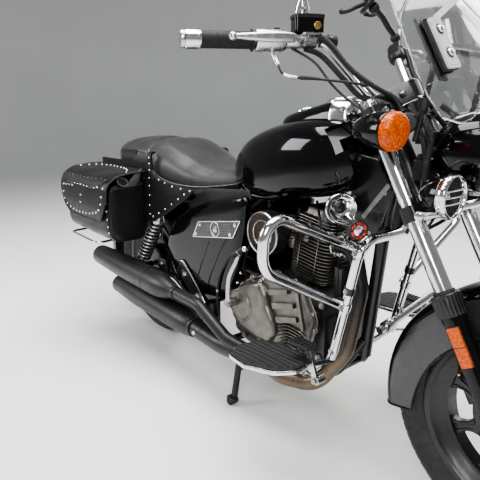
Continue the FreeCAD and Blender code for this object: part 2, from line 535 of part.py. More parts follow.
# ---------------------------------------------------------------- tank, seat
tank = loft([(570, 120, 700, 800, 50, 15), (640, 190, 694, 862, 80, 20), (760, 262, 700, 912, 110, 24), (900, 290, 716, 932, 120, 28),
             (1020, 250, 742, 922, 100, 28), (1082, 176, 790, 890, 60, 20)])
tunnel = tube([steer_pt(0, 0, 610), (980, 0, 800), (640, 0, 690), (560, 0, 640)], [150, 80], 31)
tunnel = fuse([tunnel, box(540, 1000, -31, 31, 560, 742)])
headclear = steer(Part.makeCylinder(75, 420, V(0, 0, 470), V(0, 0, 1)))
clampclear = steer(Part.makeCylinder(150, 60, V(0, 0, UPPER_CLAMP[0] - 14), V(0, 0, 1)))
clampclear = clampclear.fuse(steer(Part.makeCylinder(150, 60, V(0, 0, LOWER_CLAMP[0] - 12), V(0, 0, 1))))
clampclear = clampclear.fuse(steer(Part.makeCylinder(122, 250, V(0, 0, LOWER_CLAMP[0]), V(0, 0, 1))))
tank = biggest(tank.cut(tunnel).cut(headclear).cut(clampclear))
console = loft([(770, 90, 880, 936, 20, 5), (850, 120, 880, 956, 30, 5), (960, 128, 880, 972, 30, 5), (1010, 110, 880, 962, 26, 5)])
console = console.cut(tank).cut(clampclear)
put("fuel_tank", tank)
put("tank_console", max(console.Solids, key=lambda s: s.Volume))

seat = loft([(30, 292, 690, 838, 60, 20), (200, 316, 664, 842, 60, 20), (330, 312, 662, 800, 50, 20), (440, 296, 664, 756, 40, 20), (560, 220, 680, 750, 36, 16), (640, 130, 700, 766, 34, 12)])
seat = seat.cut(tank)
put("seat", biggest(seat.cut(frame_spine).cut(rf)))
pad = loft([(-160, 216, 716, 812, 40, 14), (-60, 262, 704, 842, 50, 16), (29, 276, 700, 844, 50, 16)])
put("passenger_pad", biggest(pad.cut(frame_spine).cut(rf)))

# side covers below the seat
sc = smooth_plate([(290, 380), (440, 340), (610, 372), (640, 470), (700, 640), (640, 660), (330, 636), (268, 560)], "XZ", -154, -130, 30)
put("side_covers", both(sc))

# ---------------------------------------------------------------- exhaust
header = tube([(975, -34, 600), (1045, -40, 600), (1080, -50, 500), (1066, -76, 330), (1000, -118, 215), (900, -150, 208), (796, -168, 236)], [50, 80, 120, 90, 90], 21)
header = header.cut(cyl).cut(frame_cradle).cut(case).cut(clutch_cover)
put("exhaust_header", max(header.Solids, key=lambda s: s.Volume))
# each silencer: (x, radius) from its tail to its neck
UPPER_SIL = [(-190, 26), (-120, 34), (-10, 44), (110, 47), (310, 47), (420, 17)]
LOWER_SIL = [(-66, 26), (20, 38), (120, 45), (420, 45), (510, 30)]
def silencer(rows, y, z):
    return fuse([cone((rows[i][0], y, z), (rows[i + 1][0], y, z), rows[i][1], rows[i + 1][1]) if rows[i][1] != rows[i + 1][1]
                 else rod((rows[i][0], y, z), (rows[i + 1][0], y, z), rows[i][1]) for i in range(len(rows) - 1)])
UP_Y, UP_Z, LO_Y, LO_Z = -205.0, 338.0, -187.0, 236.0
up = fuse([silencer(UPPER_SIL, UP_Y, UP_Z), tube([(415, UP_Y, UP_Z), (560, UP_Y, UP_Z), (700, -198, 268), (790, -172, 246)], [80, 60], 16)])
lo = fuse([silencer(LOWER_SIL, LO_Y, LO_Z), tube([(490, LO_Y, LO_Z), (660, LO_Y, LO_Z - 6), (784, -172, 232)], [160], 26)])
hd = NODES["exhaust_header"]
lo = lo.cut(hd)
up = up.cut(lo).cut(hd).cut(clutch_cover)
put("silencer_upper", biggest(up))
put("silencer_lower", biggest(lo))

# ---------------------------------------------------------------- guards, boards
GUARD_R = 10.5
HOOP = [(1060, -130, 330), (1068, -130, 352), (1132, -130, 652), (1132, 130, 652), (1068, 130, 352), (1060, 130, 330)]
arch = tube(HOOP, [20, 50, 50, 20], GUARD_R)
feet = [rod((930, s * 120, 200), (1062, s * 130, 334), 8) for s in (-1, 1)]
arch = biggest(fuse([arch] + feet).cut(frame_cradle).cut(NODES["exhaust_header"]))
put("guard_hoop", arch)
LOOP = [(1098, -134, 637), (1100, -402, 760), (1090, -400, 630), (1084, -134, 482)]
gs = tube(LOOP, [64, 60], GUARD_R)
ties = [rod((LOOP[0][0], -138, LOOP[0][2]), (1134, -130, LOOP[0][2] - 8), 7), rod((LOOP[3][0], -138, LOOP[3][2]), (1090, -130, LOOP[3][2]), 8)]
gs = biggest(fuse([gs] + ties).cut(arch).cut(hd))
put("guard_right", gs)
put("guard_left", mirror_y(gs))

BOARD = [(884, -296), (900, -238), (960, -210), (1062, -208), (1090, -238), (1088, -292), (1058, -332), (980, -360), (906, -350)]
BOARD_Z = 352.0
bd = smooth_plate(BOARD, "XY", -8, 8, 24)
bd.translate(V(-985, 0, 0)); bd.rotate(V(0, 0, 0), V(0, 1, 0), -3); bd.translate(V(985, 0, BOARD_Z))
bar_rear = rod((930, -260, 338), (930, -131, 300), 8)
hanger = tube([(1096, 22, 371), (1101, 292, 424), (1084, 300, 362)], [24], 11)      # brushed tube, left side only
boards = Part.makeCompound([q for q in (fuse([bd, bar_rear, rod((1060, -240, 342), (1060, -122, 318), 8)]), fuse([mirror_y(bd), mirror_y(bar_rear), hanger]))])
boards = Part.makeCompound([biggest(q.cut(frame_cradle).cut(hd).cut(arch).cut(NODES["silencer_lower"]).cut(case).cut(clutch_cover).cut(alternator_cover)) for q in boards.Solids])
put("floorboards", boards)

# stands, controls
# brake pedal: a flat upright arm, its pivot and a rubber-faced pad
pedal = fuse([plate([(1096, 322), (1112, 318), (1082, 402), (1066, 398)], "XZ", -240, -234), rod((1104, -240, 322), (1104, -212, 322), 11),
              smooth_plate([(1022, -262), (1088, -256), (1092, -214), (1030, -220)], "XY", 398, 408, 8)])
fp = [biggest(pedal.cut(boards)), biggest(mirror_y(pedal).cut(boards))]
put("foot_pedals", Part.makeCompound(fp))
# kick starter: boss, cranked arm and folded pedal
put("kick_starter", fuse([rod((716, -170.3, 390), (716, -208, 390), 14), tube([(716, -202, 390), (724, -202, 470), (772, -202, 560)], [90], 7.5),
                          tube([(772, -202, 560), (800, -203, 578), (752, -206, 548)], [12], 8)]))

# centre stand: legs from the pivot under the cradle down to the feet
FOOT_X, FOOT_Y = 667.0, 147.0
legs = []
for s in (-1, 1):
    legs.append(tube([(CS_PIVOT[0], s * 92, CS_PIVOT[1]), (650, s * 108, 110), (FOOT_X - 2, s * 140, 6)], [60], 11))
    legs.append(box(FOOT_X - 34, FOOT_X + 26, s * FOOT_Y - 24, s * FOOT_Y + 24, 0, 12))
cs = fuse(legs + [rod((CS_PIVOT[0], -104, CS_PIVOT[1]), (CS_PIVOT[0], 104, CS_PIVOT[1]), 13), rod((650, -108, 110), (650, 108, 110), 9)])
put("centre_stand", biggest(cs.cut(rod((CS_PIVOT[0], -130, CS_PIVOT[1]), (CS_PIVOT[0], 130, CS_PIVOT[1]), STAND_PIN_R + HINGE_GAP))))
ss = fuse([rod((SS_PIVOT[0], 137, SS_PIVOT[2]), (SS_PIVOT[0], 162, SS_PIVOT[2]), 16),
           tube([(SS_PIVOT[0] - 10, SS_PIVOT[1], SS_PIVOT[2]), (640, 166, 180), (545, 200, 176)], [80], 9), box(528, 562, 190, 220, 165, 173)])
put("side_stand", ss.cut(rod((SS_PIVOT[0], 100, SS_PIVOT[2]), (SS_PIVOT[0], 200, SS_PIVOT[2]), STAND_PIN_R + HINGE_GAP)))

# bags and lids: one section across the bike, drawn along X
BAG_X = (-214.0, 190.0)
BAG_WALL = 8.0
BAG_SECT = [(178, 478), (296, 478), (326, 506), (326, 682), (314, 693), (284, 707), (178, 721)]
BAG_ROOM = [(186, 486), (293, 486), (318, 509), (318, 679), (309, 688), (282, 700), (186, 713)]
LID_SECT = [(180, 738), (290, 724), (326, 707), (340, 684), (340, 560), (332, 560), (332, 681), (320, 700), (287, 716), (180, 730)]
def bag():
    o = poly(BAG_SECT, "YZ", BAG_X[0]).extrude(V(BAG_X[1] - BAG_X[0], 0, 0))
    i = poly(BAG_ROOM, "YZ", BAG_X[0] + BAG_WALL).extrude(V(BAG_X[1] - BAG_X[0] - 2 * BAG_WALL, 0, 0))
    mouth = poly([(192, 690), (300, 690), (280, 740), (192, 740)], "YZ", BAG_X[0] + 14).extrude(V(BAG_X[1] - BAG_X[0] - 28, 0, 0))
    return o.cut(i).cut(mouth)
bg = bag()
put("saddlebag_left", bg)
put("saddlebag_right", mirror_y(bg))
ld = poly(LID_SECT, "YZ", BAG_X[0] - 12).extrude(V(BAG_X[1] - BAG_X[0] + 24, 0, 0))
put("lid_left", ld)
put("lid_right", mirror_y(ld))

# leather panels that carry the bags, hung from under the seat
yk = smooth_plate([(92, 470), (60, 650), (110, 668), (440, 660), (330, 600), (190, 560), (140, 474)], "XZ", -176.5, -170.5, 10)
put("saddlebag_yokes", both(yk))
# bracket plates with the passengers' folded pegs
pg = smooth_plate([(366, 405), (388, 438), (408, 436), (455, 402), (508, 352), (546, 306), (520, 300), (470, 322), (420, 352)], "XZ", -159, -155.2, 6)
peg = fuse([rod((352, -157, 352), (352, -170, 352), 6), smooth_plate([(338, 362), (352, 366), (410, 346), (462, 322), (458, 314), (400, 324), (346, 344)], "XZ", -180, -160, 3)])
pg = fuse([pg, plate([(352, 352), (366, 405), (388, 402), (366, 346)], "XZ", -159, -155.2), peg])
put("passenger_pegs", both(biggest(pg.cut(NODES["silencer_upper"]))))
# covers beside the steering head
nc = smooth_plate([(1040, 846), (1100, 836), (1150, 770), (1120, 660), (1086, 640), (1030, 730)], "XZ", -52, -46, 12)
put("neck_covers", both(biggest(nc.cut(tank).cut(headclear).cut(arch))))
hn = fuse([rod((1030, -96, 716), (1052, -110, 716), 40), rod((1008, -82, 716), (1030, -96, 716), 26), rod((1024, -88, 716), (1024, -40, 716), 7)])
put("horn", biggest(hn.cut(cyl).cut(NODES["neck_covers"]).cut(frame_cradle).cut(frame_spine).cut(tank)))
# drive chain: a fixed loop round both sprockets
CH = (690.0, 330.0)
def loop(r0, r1, y0, y1):
    dx, dz = CH[0] - AX_R[0], CH[1] - AX_R[1]
    L = hypot(dx, dz)
    nx, nz = -dz / L, dx / L
    def hull(r, R):
        a = Part.makeCylinder(R, y1 - y0, V(AX_R[0], y0, AX_R[1]), V(0, 1, 0))
        b = Part.makeCylinder(r, y1 - y0, V(CH[0], y0, CH[1]), V(0, 1, 0))
        q = plate([(AX_R[0] + nx * R, AX_R[1] + nz * R), (CH[0] + nx * r, CH[1] + nz * r), (CH[0] - nx * r, CH[1] - nz * r), (AX_R[0] - nx * R, AX_R[1] - nz * R)], "XZ", y0, y1)
        return fuse([a, b, q])
    return hull(r1, 98).cut(hull(r0, 86))
ch = loop(26, 38, 72, 84)
put("drive_chain", ch)

# tail
put("tail_light", fuse([box(-396, -330, -55, 55, 560, 610)]).cut(rf))
put("rear_indicators", both(fuse([rod((-350, 55.5, 585), (-350, 110, 585), 8), rod((-376, 128, 585), (-330, 128, 585), 28)])))
pb = box(-420, -414, -90, 90, 420, 560)
pb = fuse([pb, box(-414, -396, -30, 30, 540, 556)])
for y in (-70, 70):
    pb = pb.cut(rod((-440, y, 530), (-400, y, 530), 3.2))
put("plate_bracket", pb)

# ---------------------------------------------------------------- output
for name, shape in sorted(NODES.items()):
    s = shape.copy()
    s.translate(V(-X_MID, 0, 0))
    bad = [i for i, q in enumerate(s.Solids) if not q.isValid()]
    if len(s.Solids) == 0 or bad:
        print("WARN", name, len(s.Solids), bad)
    if len(s.Solids) == 1:
        s = s.Solids[0]
    else:
        s = Part.makeCompound(s.Solids)
    s.exportStep("parts/%s.step" % name)
b = FreeCAD.BoundBox()
for s in NODES.values():
    b.add(s.BoundBox)
print(len(NODES), "nodes; x %.1f..%.1f (mid %.1f), y %.1f..%.1f, z %.1f..%.1f" % (b.XMin, b.XMax, (b.XMin + b.XMax) / 2, b.YMin, b.YMax, b.ZMin, b.ZMax))
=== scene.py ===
import bpy, bmesh
import numpy as np
from math import sin, cos, tan, pi, radians, sqrt, atan2, hypot
from mathutils import Vector, Matrix


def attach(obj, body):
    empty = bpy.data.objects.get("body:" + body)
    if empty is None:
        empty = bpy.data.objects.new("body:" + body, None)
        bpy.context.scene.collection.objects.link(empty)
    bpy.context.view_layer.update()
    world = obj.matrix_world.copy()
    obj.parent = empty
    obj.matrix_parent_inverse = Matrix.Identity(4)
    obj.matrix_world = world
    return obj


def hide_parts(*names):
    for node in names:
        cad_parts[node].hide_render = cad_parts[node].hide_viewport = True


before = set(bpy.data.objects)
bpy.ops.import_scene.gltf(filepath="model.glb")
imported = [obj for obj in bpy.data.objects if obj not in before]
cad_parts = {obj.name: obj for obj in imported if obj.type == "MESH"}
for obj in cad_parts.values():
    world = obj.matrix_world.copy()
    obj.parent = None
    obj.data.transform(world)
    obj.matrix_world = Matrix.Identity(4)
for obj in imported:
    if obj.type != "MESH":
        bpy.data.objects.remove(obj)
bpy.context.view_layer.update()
scene = bpy.context.scene

# The cruiser's own drawing: millimetres, X = 0 at the rear axle, X forward,
# Y to the rider's left, Z up. Pieces are drawn in it and moved to the frame.
X_MID = 686.0
WHEELBASE, FRONT_R, REAR_R, REAR_LIFT = 1490.0, 302.0, 307.5, 5.0
C30, S30 = cos(radians(30)), sin(radians(30))
STEER_X = WHEELBASE - 35.0 / C30
AXF, AXR = (WHEELBASE, FRONT_R), (0.0, REAR_R + REAR_LIFT)


def S(x, y, z):
    """A point in the fork's own drawing: z up the steering axis, x forward."""
    return np.array((STEER_X + x * C30 - z * S30, y, FRONT_R + x * S30 + z * C30))


def A(*p):
    return np.array(p, float)


def unit(v):
    v = np.asarray(v, float)
    return v / max(np.linalg.norm(v), 1e-12)


UP_AXIS = unit((-S30, 0, C30))          # up the forks
FW_AXIS = unit((C30, 0, S30))           # forward, square to the forks

# ------------------------------------------------------------- mesh helpers
def basis(d):
    d = unit(d)
    h = A(0, 0, 1) if abs(d[2]) < 0.9 else A(1, 0, 0)
    u = unit(np.cross(h, d))
    return u, np.cross(d, u), d


def rings(rs, cap0=True, cap1=True, loop=False):
    """Skin over a row of closed rings with equal point counts."""
    n = len(rs[0])
    v = np.vstack(rs)
    f = []
    m = len(rs)
    for i in range(m if loop else m - 1):
        a, b = i * n, ((i + 1) % m) * n
        for j in range(n):
            k = (j + 1) % n
            f.append((a + j, a + k, b + k, b + j))
    if not loop:
        if cap0:
            f.append(tuple(range(n))[::-1])
        if cap1:
            f.append(tuple((m - 1) * n + j for j in range(n)))
    return v, f


def revolve(profile, p0, d, n=48, loop=False, mod=None, closed=True):
    """profile: (height along d, radius). mod(angle index) scales the radius."""
    u, w, d = basis(d)
    p0 = np.asarray(p0, float)
    v, f, rows = [], [], []
    for h, r in profile:
        if r <= 1e-6:
            rows.append([len(v)])
            v.append(p0 + d * h)
        else:
            row = []
            for j in range(n):
                a = 2 * pi * j / n
                rr = r + (mod(j, h, r) if mod else 0.0)
                row.append(len(v))
                v.append(p0 + d * h + (u * cos(a) + w * sin(a)) * rr)
            rows.append(row)
    m = len(rows)
    for i in range(m if loop else m - 1):
        a, b = rows[i], rows[(i + 1) % m]
        if len(a) == 1 and len(b) == 1:
            continue
        for j in range(n):
            k = (j + 1) % n
            if len(a) == 1:
                f.append((a[0], b[k], b[j]))
            elif len(b) == 1:
                f.append((a[j], a[k], b[0]))
            else:
                f.append((a[j], a[k], b[k], b[j]))
    if closed and not loop:
        if len(rows[0]) > 1:
            f.append(tuple(rows[0])[::-1])
        if len(rows[-1]) > 1:
            f.append(tuple(rows[-1]))
    return np.array(v), f


def fillet(points, radii, k=7):
    """Straight runs joined by tangent arcs."""
    p = [np.asarray(q, float) for q in points]
    if not isinstance(radii, (list, tuple)):
        radii = [radii] * (len(p) - 2)
    out = [p[0]]
    for i in range(1, len(p) - 1):
        a, b = p[i - 1] - p[i], p[i + 1] - p[i]
        la, lb = np.linalg.norm(a), np.linalg.norm(b)
        a, b = a / la, b / lb
        half = np.arccos(np.clip(a @ b, -1, 1)) / 2
        if half > 1.565:
            out.append(p[i])
            continue
        t = min(radii[i - 1] / tan(half), 0.49 * la, 0.49 * lb)
        R = t * tan(half)
        mdir = unit(a + b)
        c = p[i] + mdir * (R / sin(half))
        s, e = p[i] + a * t, p[i] + b * t
        us, ue = unit(s - c), unit(e - c)
        tot = np.arccos(np.clip(us @ ue, -1, 1))
        for q in range(k + 1):
            x = tot * q / k
            out.append(c + R * (us * sin(tot - x) + ue * sin(x)) / max(sin(tot), 1e-9))
    out.append(p[-1])
    return out


def smooth(points, k=6, closed=False):
    """A smooth line through points."""
    p = [np.asarray(q, float) for q in points]
    n = len(p)
    out = []
    for i in range(n if closed else n - 1):
        if closed:
            a, b, c, d = p[(i - 1) % n], p[i], p[(i + 1) % n], p[(i + 2) % n]
        else:
            b, c = p[i], p[i + 1]
            a = p[i - 1] if i else 2 * b - c
            d = p[i + 2] if i + 2 < n else 2 * c - b
        for q in range(k):
            t = q / k
            out.append(0.5 * ((2 * b) + (c - a) * t + (2 * a - 5 * b + 4 * c - d) * t * t + (3 * b - a - 3 * c + d) * t ** 3))
    if not closed:
        out.append(p[-1])
    return out


def tube(path, r, n=16, cap=True, loop=False, oval=None, side=None, mod=None):
    """Round or oval bar along a path. oval = (across, along side) factors."""
    p = [np.asarray(q, float) for q in path]
    m = len(p)
    tang = []
    for i in range(m):
        if loop:
            t = p[(i + 1) % m] - p[(i - 1) % m]
        else:
            t = p[min(i + 1, m - 1)] - p[max(i - 1, 0)]
        tang.append(unit(t))
    u = unit(np.cross(tang[0], side if side is not None else basis(tang[0])[0]))
    if side is not None:
        pass
    rs = []
    for i in range(m):
        t = tang[i]
        if side is not None:
            w = unit(np.asarray(side, float) - t * (np.asarray(side, float) @ t))
            uu = np.cross(w, t)
        else:
            u = unit(u - t * (u @ t))
            uu, w = u, np.cross(t, u)
        rr = r[i] if isinstance(r, (list, tuple, np.ndarray)) else r
        if mod:
            rr = rr + mod(i)
        ov = oval[i] if isinstance(oval, list) else (oval or (1, 1))
        rs.append([p[i] + (uu * cos(2 * pi * j / n) * ov[0] + w * sin(2 * pi * j / n) * ov[1]) * rr for j in range(n)])
    return rings([np.array(q) for q in rs], cap, cap, loop)


def round2(points, r, k=5):
    """2-D outline with rounded corners. r: one radius or one per corner."""
    n = len(points)
    rr = r if isinstance(r, (list, tuple)) else [r] * n
    out = []
    for i in range(n):
        p, a, b = (np.array(points[j % n], float) for j in (i, i - 1, i + 1))
        va, vb = a - p, b - p
        la, lb = np.linalg.norm(va), np.linalg.norm(vb)
        va, vb = va / la, vb / lb
        half = np.arccos(np.clip(va @ vb, -1, 1)) / 2
        if half > 1.56 or rr[i] <= 0:
            out.append(tuple(p))
            continue
        t = min(rr[i] / tan(half), 0.48 * la, 0.48 * lb)
        R = t * tan(half)
        c = p + unit(va + vb) * (R / sin(half))
        us, ue = unit(p + va * t - c), unit(p + vb * t - c)
        tot = np.arccos(np.clip(us @ ue, -1, 1))
        for q in range(k + 1):
            x = tot * q / k
            out.append(tuple(c + R * (us * sin(tot - x) + ue * sin(x)) / max(sin(tot), 1e-9)))
    return out


def to3(pts, plane, h):
    if plane == "XZ":
        return np.array([(x, h, z) for x, z in pts])
    if plane == "YZ":
        return np.array([(h, y, z) for y, z in pts])
    return np.array([(x, y, h) for x, y in pts])


def prism(pts, plane, a, b, dome=0.0):
    """Flat plate of an outline between two offsets."""
    v = np.vstack([to3(pts, plane, a), to3(pts, plane, b)])
    n = len(pts)
    f = [tuple(range(n))[::-1], tuple(range(n, 2 * n))]
    f += [(j, (j + 1) % n, n + (j + 1) % n, n + j) for j in range(n)]
    return fix(v, f)


def inset_stack(pts, plane, steps):
    """Stack of scaled outlines: steps are (offset, inset mm). Gives domed covers."""
    p = np.array(pts, float)
    c = p.mean(0)
    rad = np.linalg.norm(p - c, axis=1)
    rs = []
    for h, ins in steps:
        q = c + (p - c) * np.maximum(1 - ins / rad, 0.02)[:, None]
        rs.append(to3(q, plane, h))
    return fix(*rings(rs))


def fix(v, f):
    """Outward facing, by the sign of the volume."""
    v = np.asarray(v, float)
    vol = 0.0
    for q in f:
        a = v[q[0]]
        for i in range(1, len(q) - 1):
            vol += a @ np.cross(v[q[i]], v[q[i + 1]])
    return (v, [tuple(reversed(q)) for q in f]) if vol < 0 else (v, f)


def block(x0, x1, y0, y1, z0, z1):
    return prism([(x0, y0), (x1, y0), (x1, y1), (x0, y1)], "XY", z0, z1)


def mirror(part):
    v, f = part
    v = np.array(v, float) * A(1, -1, 1)
    return v, [tuple(reversed(q)) for q in f]


def place(part, x, y, z, o):
    """Local axes x, y, z (columns) and origin o."""
    v, f = part
    m = np.array([x, y, z], float)
    return np.asarray(v) @ m + np.asarray(o, float), f


def turn(part, c, axis, deg):
    v, f = part
    m = np.array(Matrix.Rotation(radians(deg), 3, Vector(axis)))
    c = np.asarray(c, float)
    return (np.asarray(v) - c) @ m.T + c, f


def rod(a, b, r, n=24, ch=0.0):
    a, b = np.asarray(a, float), np.asarray(b, float)
    L = np.linalg.norm(b - a)
    pr = [(0, r), (L, r)] if not ch else [(0, r - ch), (ch, r), (L - ch, r), (L, r - ch)]
    return revolve(pr, a, b - a, n)


def stud(p, d, r=3.2, h=2.4, n=12):
    return revolve([(-1.0, r), (0.4, r), (h * 0.62, r * 0.78), (h * 0.92, r * 0.4), (h, 0)], p, d, n)


def hexbolt(p, d, r=6.0, h=5.0, washer=True):
    parts = [revolve([(0.0, r), (h * 0.8, r), (h, r * 0.86)], np.asarray(p) + unit(d) * (1.2 if washer else 0), d, 6)]
    if washer:
        parts.append(revolve([(0, r * 1.45), (1.2, r * 1.45)], p, d, 20))
    return join(*parts)


def capscrew(p, d, r=5.0, h=5.0):
    return revolve([(0, r), (h * 0.8, r), (h, r * 0.85), (h, r * 0.5), (h * 0.45, r * 0.5), (h * 0.45, 0)], p, d, 18)


def torus(c, d, R, r, n=48, m=10):
    u, w, d = basis(d)
    return tube([np.asarray(c, float) + (u * cos(2 * pi * i / n) + w * sin(2 * pi * i / n)) * R for i in range(n)], r, m, False, True)


def helix(p0, p1, R, turns, r, n=18, m=8):
    u, w, d = basis(np.asarray(p1, float) - np.asarray(p0, float))
    p0, p1 = np.asarray(p0, float), np.asarray(p1, float)
    N = int(turns * n)
    return tube([p0 + (p1 - p0) * i / N + (u * cos(2 * pi * i / n) + w * sin(2 * pi * i / n)) * R for i in range(N + 1)], r, m)


def join(*parts):
    v, f, o = [], [], 0
    for a, b in parts:
        a = np.asarray(a, float)
        v.append(a)
        f += [tuple(i + o for i in q) for q in b]
        o += len(a)
    return np.vstack(v), f


MAT = {}


class Piece:
    """A mesh made of parts, each with its own material."""

    def __init__(self, name):
        self.name, self.v, self.f, self.k, self.mats, self.n = name, [], [], [], [], 0

    def add(self, mat, *parts):
        if mat not in self.mats:
            self.mats.append(mat)
        k = self.mats.index(mat)
        for v, f in parts:
            v = np.asarray(v, float)
            self.v.append(v)
            self.f += [tuple(i + self.n for i in q) for q in f]
            self.k += [k] * len(f)
            self.n += len(v)
        return self

    def both(self, mat, *parts):
        return self.add(mat, *parts).add(mat, *[mirror(p) for p in parts])

    def make(self, body, replaces=(), slot=None, bevel=0.0, seg=2, sub=0, angle=38, solid=0.0):
        me = bpy.data.meshes.new(self.name)
        v = (np.vstack(self.v) - A(X_MID, 0, 0)) / 1000.0
        me.from_pydata(v.tolist(), [], self.f)
        me.validate()
        for m in self.mats:
            me.materials.append(MAT[m])
        if len(me.polygons) == len(self.k):
            me.polygons.foreach_set("material_index", self.k)
        me.polygons.foreach_set("use_smooth", [True] * len(me.polygons))
        me.update()
        me.set_sharp_from_angle(angle=radians(angle))
        ob = bpy.data.objects.new(self.name, me)
        scene.collection.objects.link(ob)
        if solid:
            q = ob.modifiers.new("thick", "SOLIDIFY")
            q.thickness, q.offset = solid / 1000.0, -1
        if bevel:
            q = ob.modifiers.new("edge", "BEVEL")
            q.width, q.segments, q.limit_method, q.angle_limit = bevel / 1000.0, seg, "ANGLE", radians(angle)
            q.harden_normals = True
            q.use_clamp_overlap = True
        if sub:
            q = ob.modifiers.new("round", "SUBSURF")
            q.levels = q.render_levels = sub
        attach(ob, body)
        if replaces:
            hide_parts(*replaces)
        return ob


def bake(ob):
    """The mesh with its modifiers applied."""
    dg = bpy.context.evaluated_depsgraph_get()
    dg.update()
    me = bpy.data.meshes.new_from_object(ob.evaluated_get(dg))
    ob.modifiers.clear()
    ob.data = me
    return ob


def subtract(ob, parts):
    """Cut solid parts out of a closed piece."""
    for i, part in enumerate(parts):
        v, f = fix(*part)
        me = bpy.data.meshes.new("cutter")
        me.from_pydata(((np.asarray(v) - A(X_MID, 0, 0)) / 1000.0).tolist(), [], f)
        me.update()
        c = bpy.data.objects.new("cutter", me)
        scene.collection.objects.link(c)
        m = ob.modifiers.new("cut", "BOOLEAN")
        m.operation, m.object, m.solver = "DIFFERENCE", c, "EXACT"
        bake(ob)
        bpy.data.objects.remove(c)
    ob.data.polygons.foreach_set("use_smooth", [True] * len(ob.data.polygons))
    ob.data.set_sharp_from_angle(angle=radians(38))
    return ob


# ------------------------------------------------------------- materials
def shader(name, base, rough, metal=0.0, coat=0.0, coat_rough=0.03, spec=0.5, sheen=0.0, trans=0.0, alpha=1.0, ior=1.45, sss=0.0):
    m = bpy.data.materials.new(name)
    m.use_nodes = True
    nt = m.node_tree
    b = nt.nodes["Principled BSDF"]
    b.inputs["Base Color"].default_value = (*base, 1)
    b.inputs["Roughness"].default_value = rough
    b.inputs["Metallic"].default_value = metal
    b.inputs["Coat Weight"].default_value = coat
    b.inputs["Coat Roughness"].default_value = coat_rough
    b.inputs["Specular IOR Level"].default_value = spec
    b.inputs["Sheen Weight"].default_value = sheen
    b.inputs["Transmission Weight"].default_value = trans
    b.inputs["Alpha"].default_value = alpha
    b.inputs["IOR"].default_value = ior
    m.diffuse_color = (*base, 1)
    MAT[name] = m
    return m, nt, b


def node(nt, kind, **kw):
    n = nt.nodes.new(kind)
    for k, v in kw.items():
        if k in n.inputs:
            n.inputs[k].default_value = v
        else:
            setattr(n, k, v)
    return n


def coords(nt, scale=(1, 1, 1)):
    t = node(nt, "ShaderNodeTexCoord")
    m = node(nt, "ShaderNodeMapping")
    m.inputs["Scale"].default_value = scale
    nt.links.new(t.outputs["Object"], m.inputs["Vector"])
    return m.outputs["Vector"]


def ramp(nt, src, stops):
    r = node(nt, "ShaderNodeValToRGB")
    while len(r.color_ramp.elements) < len(stops):
        r.color_ramp.elements.new(0.5)
    for e, (p, c) in zip(r.color_ramp.elements, stops):
        e.position = p
        e.color = (*c, 1) if isinstance(c, (tuple, list)) else (c, c, c, 1)
    nt.links.new(src, r.inputs["Fac"])
    return r.outputs["Color"]


def noise(nt, scale, detail=4.0, rough=0.6, vec=None, stretch=(1, 1, 1)):
    n = node(nt, "ShaderNodeTexNoise", Scale=scale, Detail=detail, Roughness=rough)
    nt.links.new(vec or coords(nt, stretch), n.inputs["Vector"])
    return n.outputs["Fac"]


def rough_from(nt, b, src, lo, hi, a=0.35, c=0.7):
    m = node(nt, "ShaderNodeMapRange")
    for k, v in (("From Min", a), ("From Max", c), ("To Min", lo), ("To Max", hi)):
        m.inputs[k].default_value = v
    nt.links.new(src, m.inputs["Value"])
    nt.links.new(m.outputs["Result"], b.inputs["Roughness"])


def bump_from(nt, b, src, strength, dist, prev=None):
    n = node(nt, "ShaderNodeBump")
    n.inputs["Strength"].default_value = strength
    n.inputs["Distance"].default_value = dist
    nt.links.new(src, n.inputs["Height"])
    if prev is not None:
        nt.links.new(prev, n.inputs["Normal"])
    nt.links.new(n.outputs["Normal"], b.inputs["Normal"])
    return n.outputs["Normal"]


def plain(name, base, rough, spread=0.25, rs=(0.8, 1.2), scale=60.0, bump=0.0, bscale=900.0, bdist=0.0002, **kw):
    """A finish with slow colour and gloss variation and a fine surface."""
    m, nt, b = shader(name, base, rough, **kw)
    f = noise(nt, scale, 5.0)
    lo = tuple(c * (1 - spread) for c in base)
    hi = tuple(min(1, c * (1 + spread)) for c in base)
    nt.links.new(ramp(nt, f, [(0.3, lo), (0.7, hi)]), b.inputs["Base Color"])
    rough_from(nt, b, noise(nt, scale * 1.7, 6.0), rough * rs[0], min(1, rough * rs[1]))
    if bump:
        bump_from(nt, b, noise(nt, bscale, 3.0), bump, bdist)
    return m


plain("black_gloss", (0.0030, 0.0030, 0.0033), 0.10, 0.25, (0.85, 1.2), 14.0, 0.02, 120.0, 0.0003, coat=0.36, coat_rough=0.02, spec=0.18)
plain("black_satin", (0.0075, 0.0075, 0.0080), 0.36, 0.25, (0.8, 1.25), 45.0, 0.10, 1400.0, 0.0001, coat=0.25, coat_rough=0.2)
plain("black_powder", (0.018, 0.018, 0.019), 0.5, 0.25, (0.85, 1.2), 60.0, 0.25, 1800.0, 0.0001)
plain("dark_panel", (0.028, 0.028, 0.030), 0.30, 0.2, (0.8, 1.2), 30.0, 0.05, 900.0, 0.0001, coat=0.4, coat_rough=0.12)
plain("chrome", (0.74, 0.745, 0.75), 0.09, 0.05, (0.6, 2.0), 30.0, 0.03, 500.0, 0.0002, metal=1.0)
plain("dull_chrome", (0.50, 0.50, 0.49), 0.22, 0.12, (0.7, 1.5), 40.0, 0.06, 900.0, 0.0002, metal=1.0)
plain("cast_alloy", (0.172, 0.160, 0.146), 0.40, 0.20, (0.8, 1.3), 35.0, 0.35, 1300.0, 0.0002, metal=1.0)
plain("plate_alloy", (0.50, 0.495, 0.475), 0.34, 0.2, (0.8, 1.2), 30.0, 0.1, 900.0, 0.0002, spec=0.6)
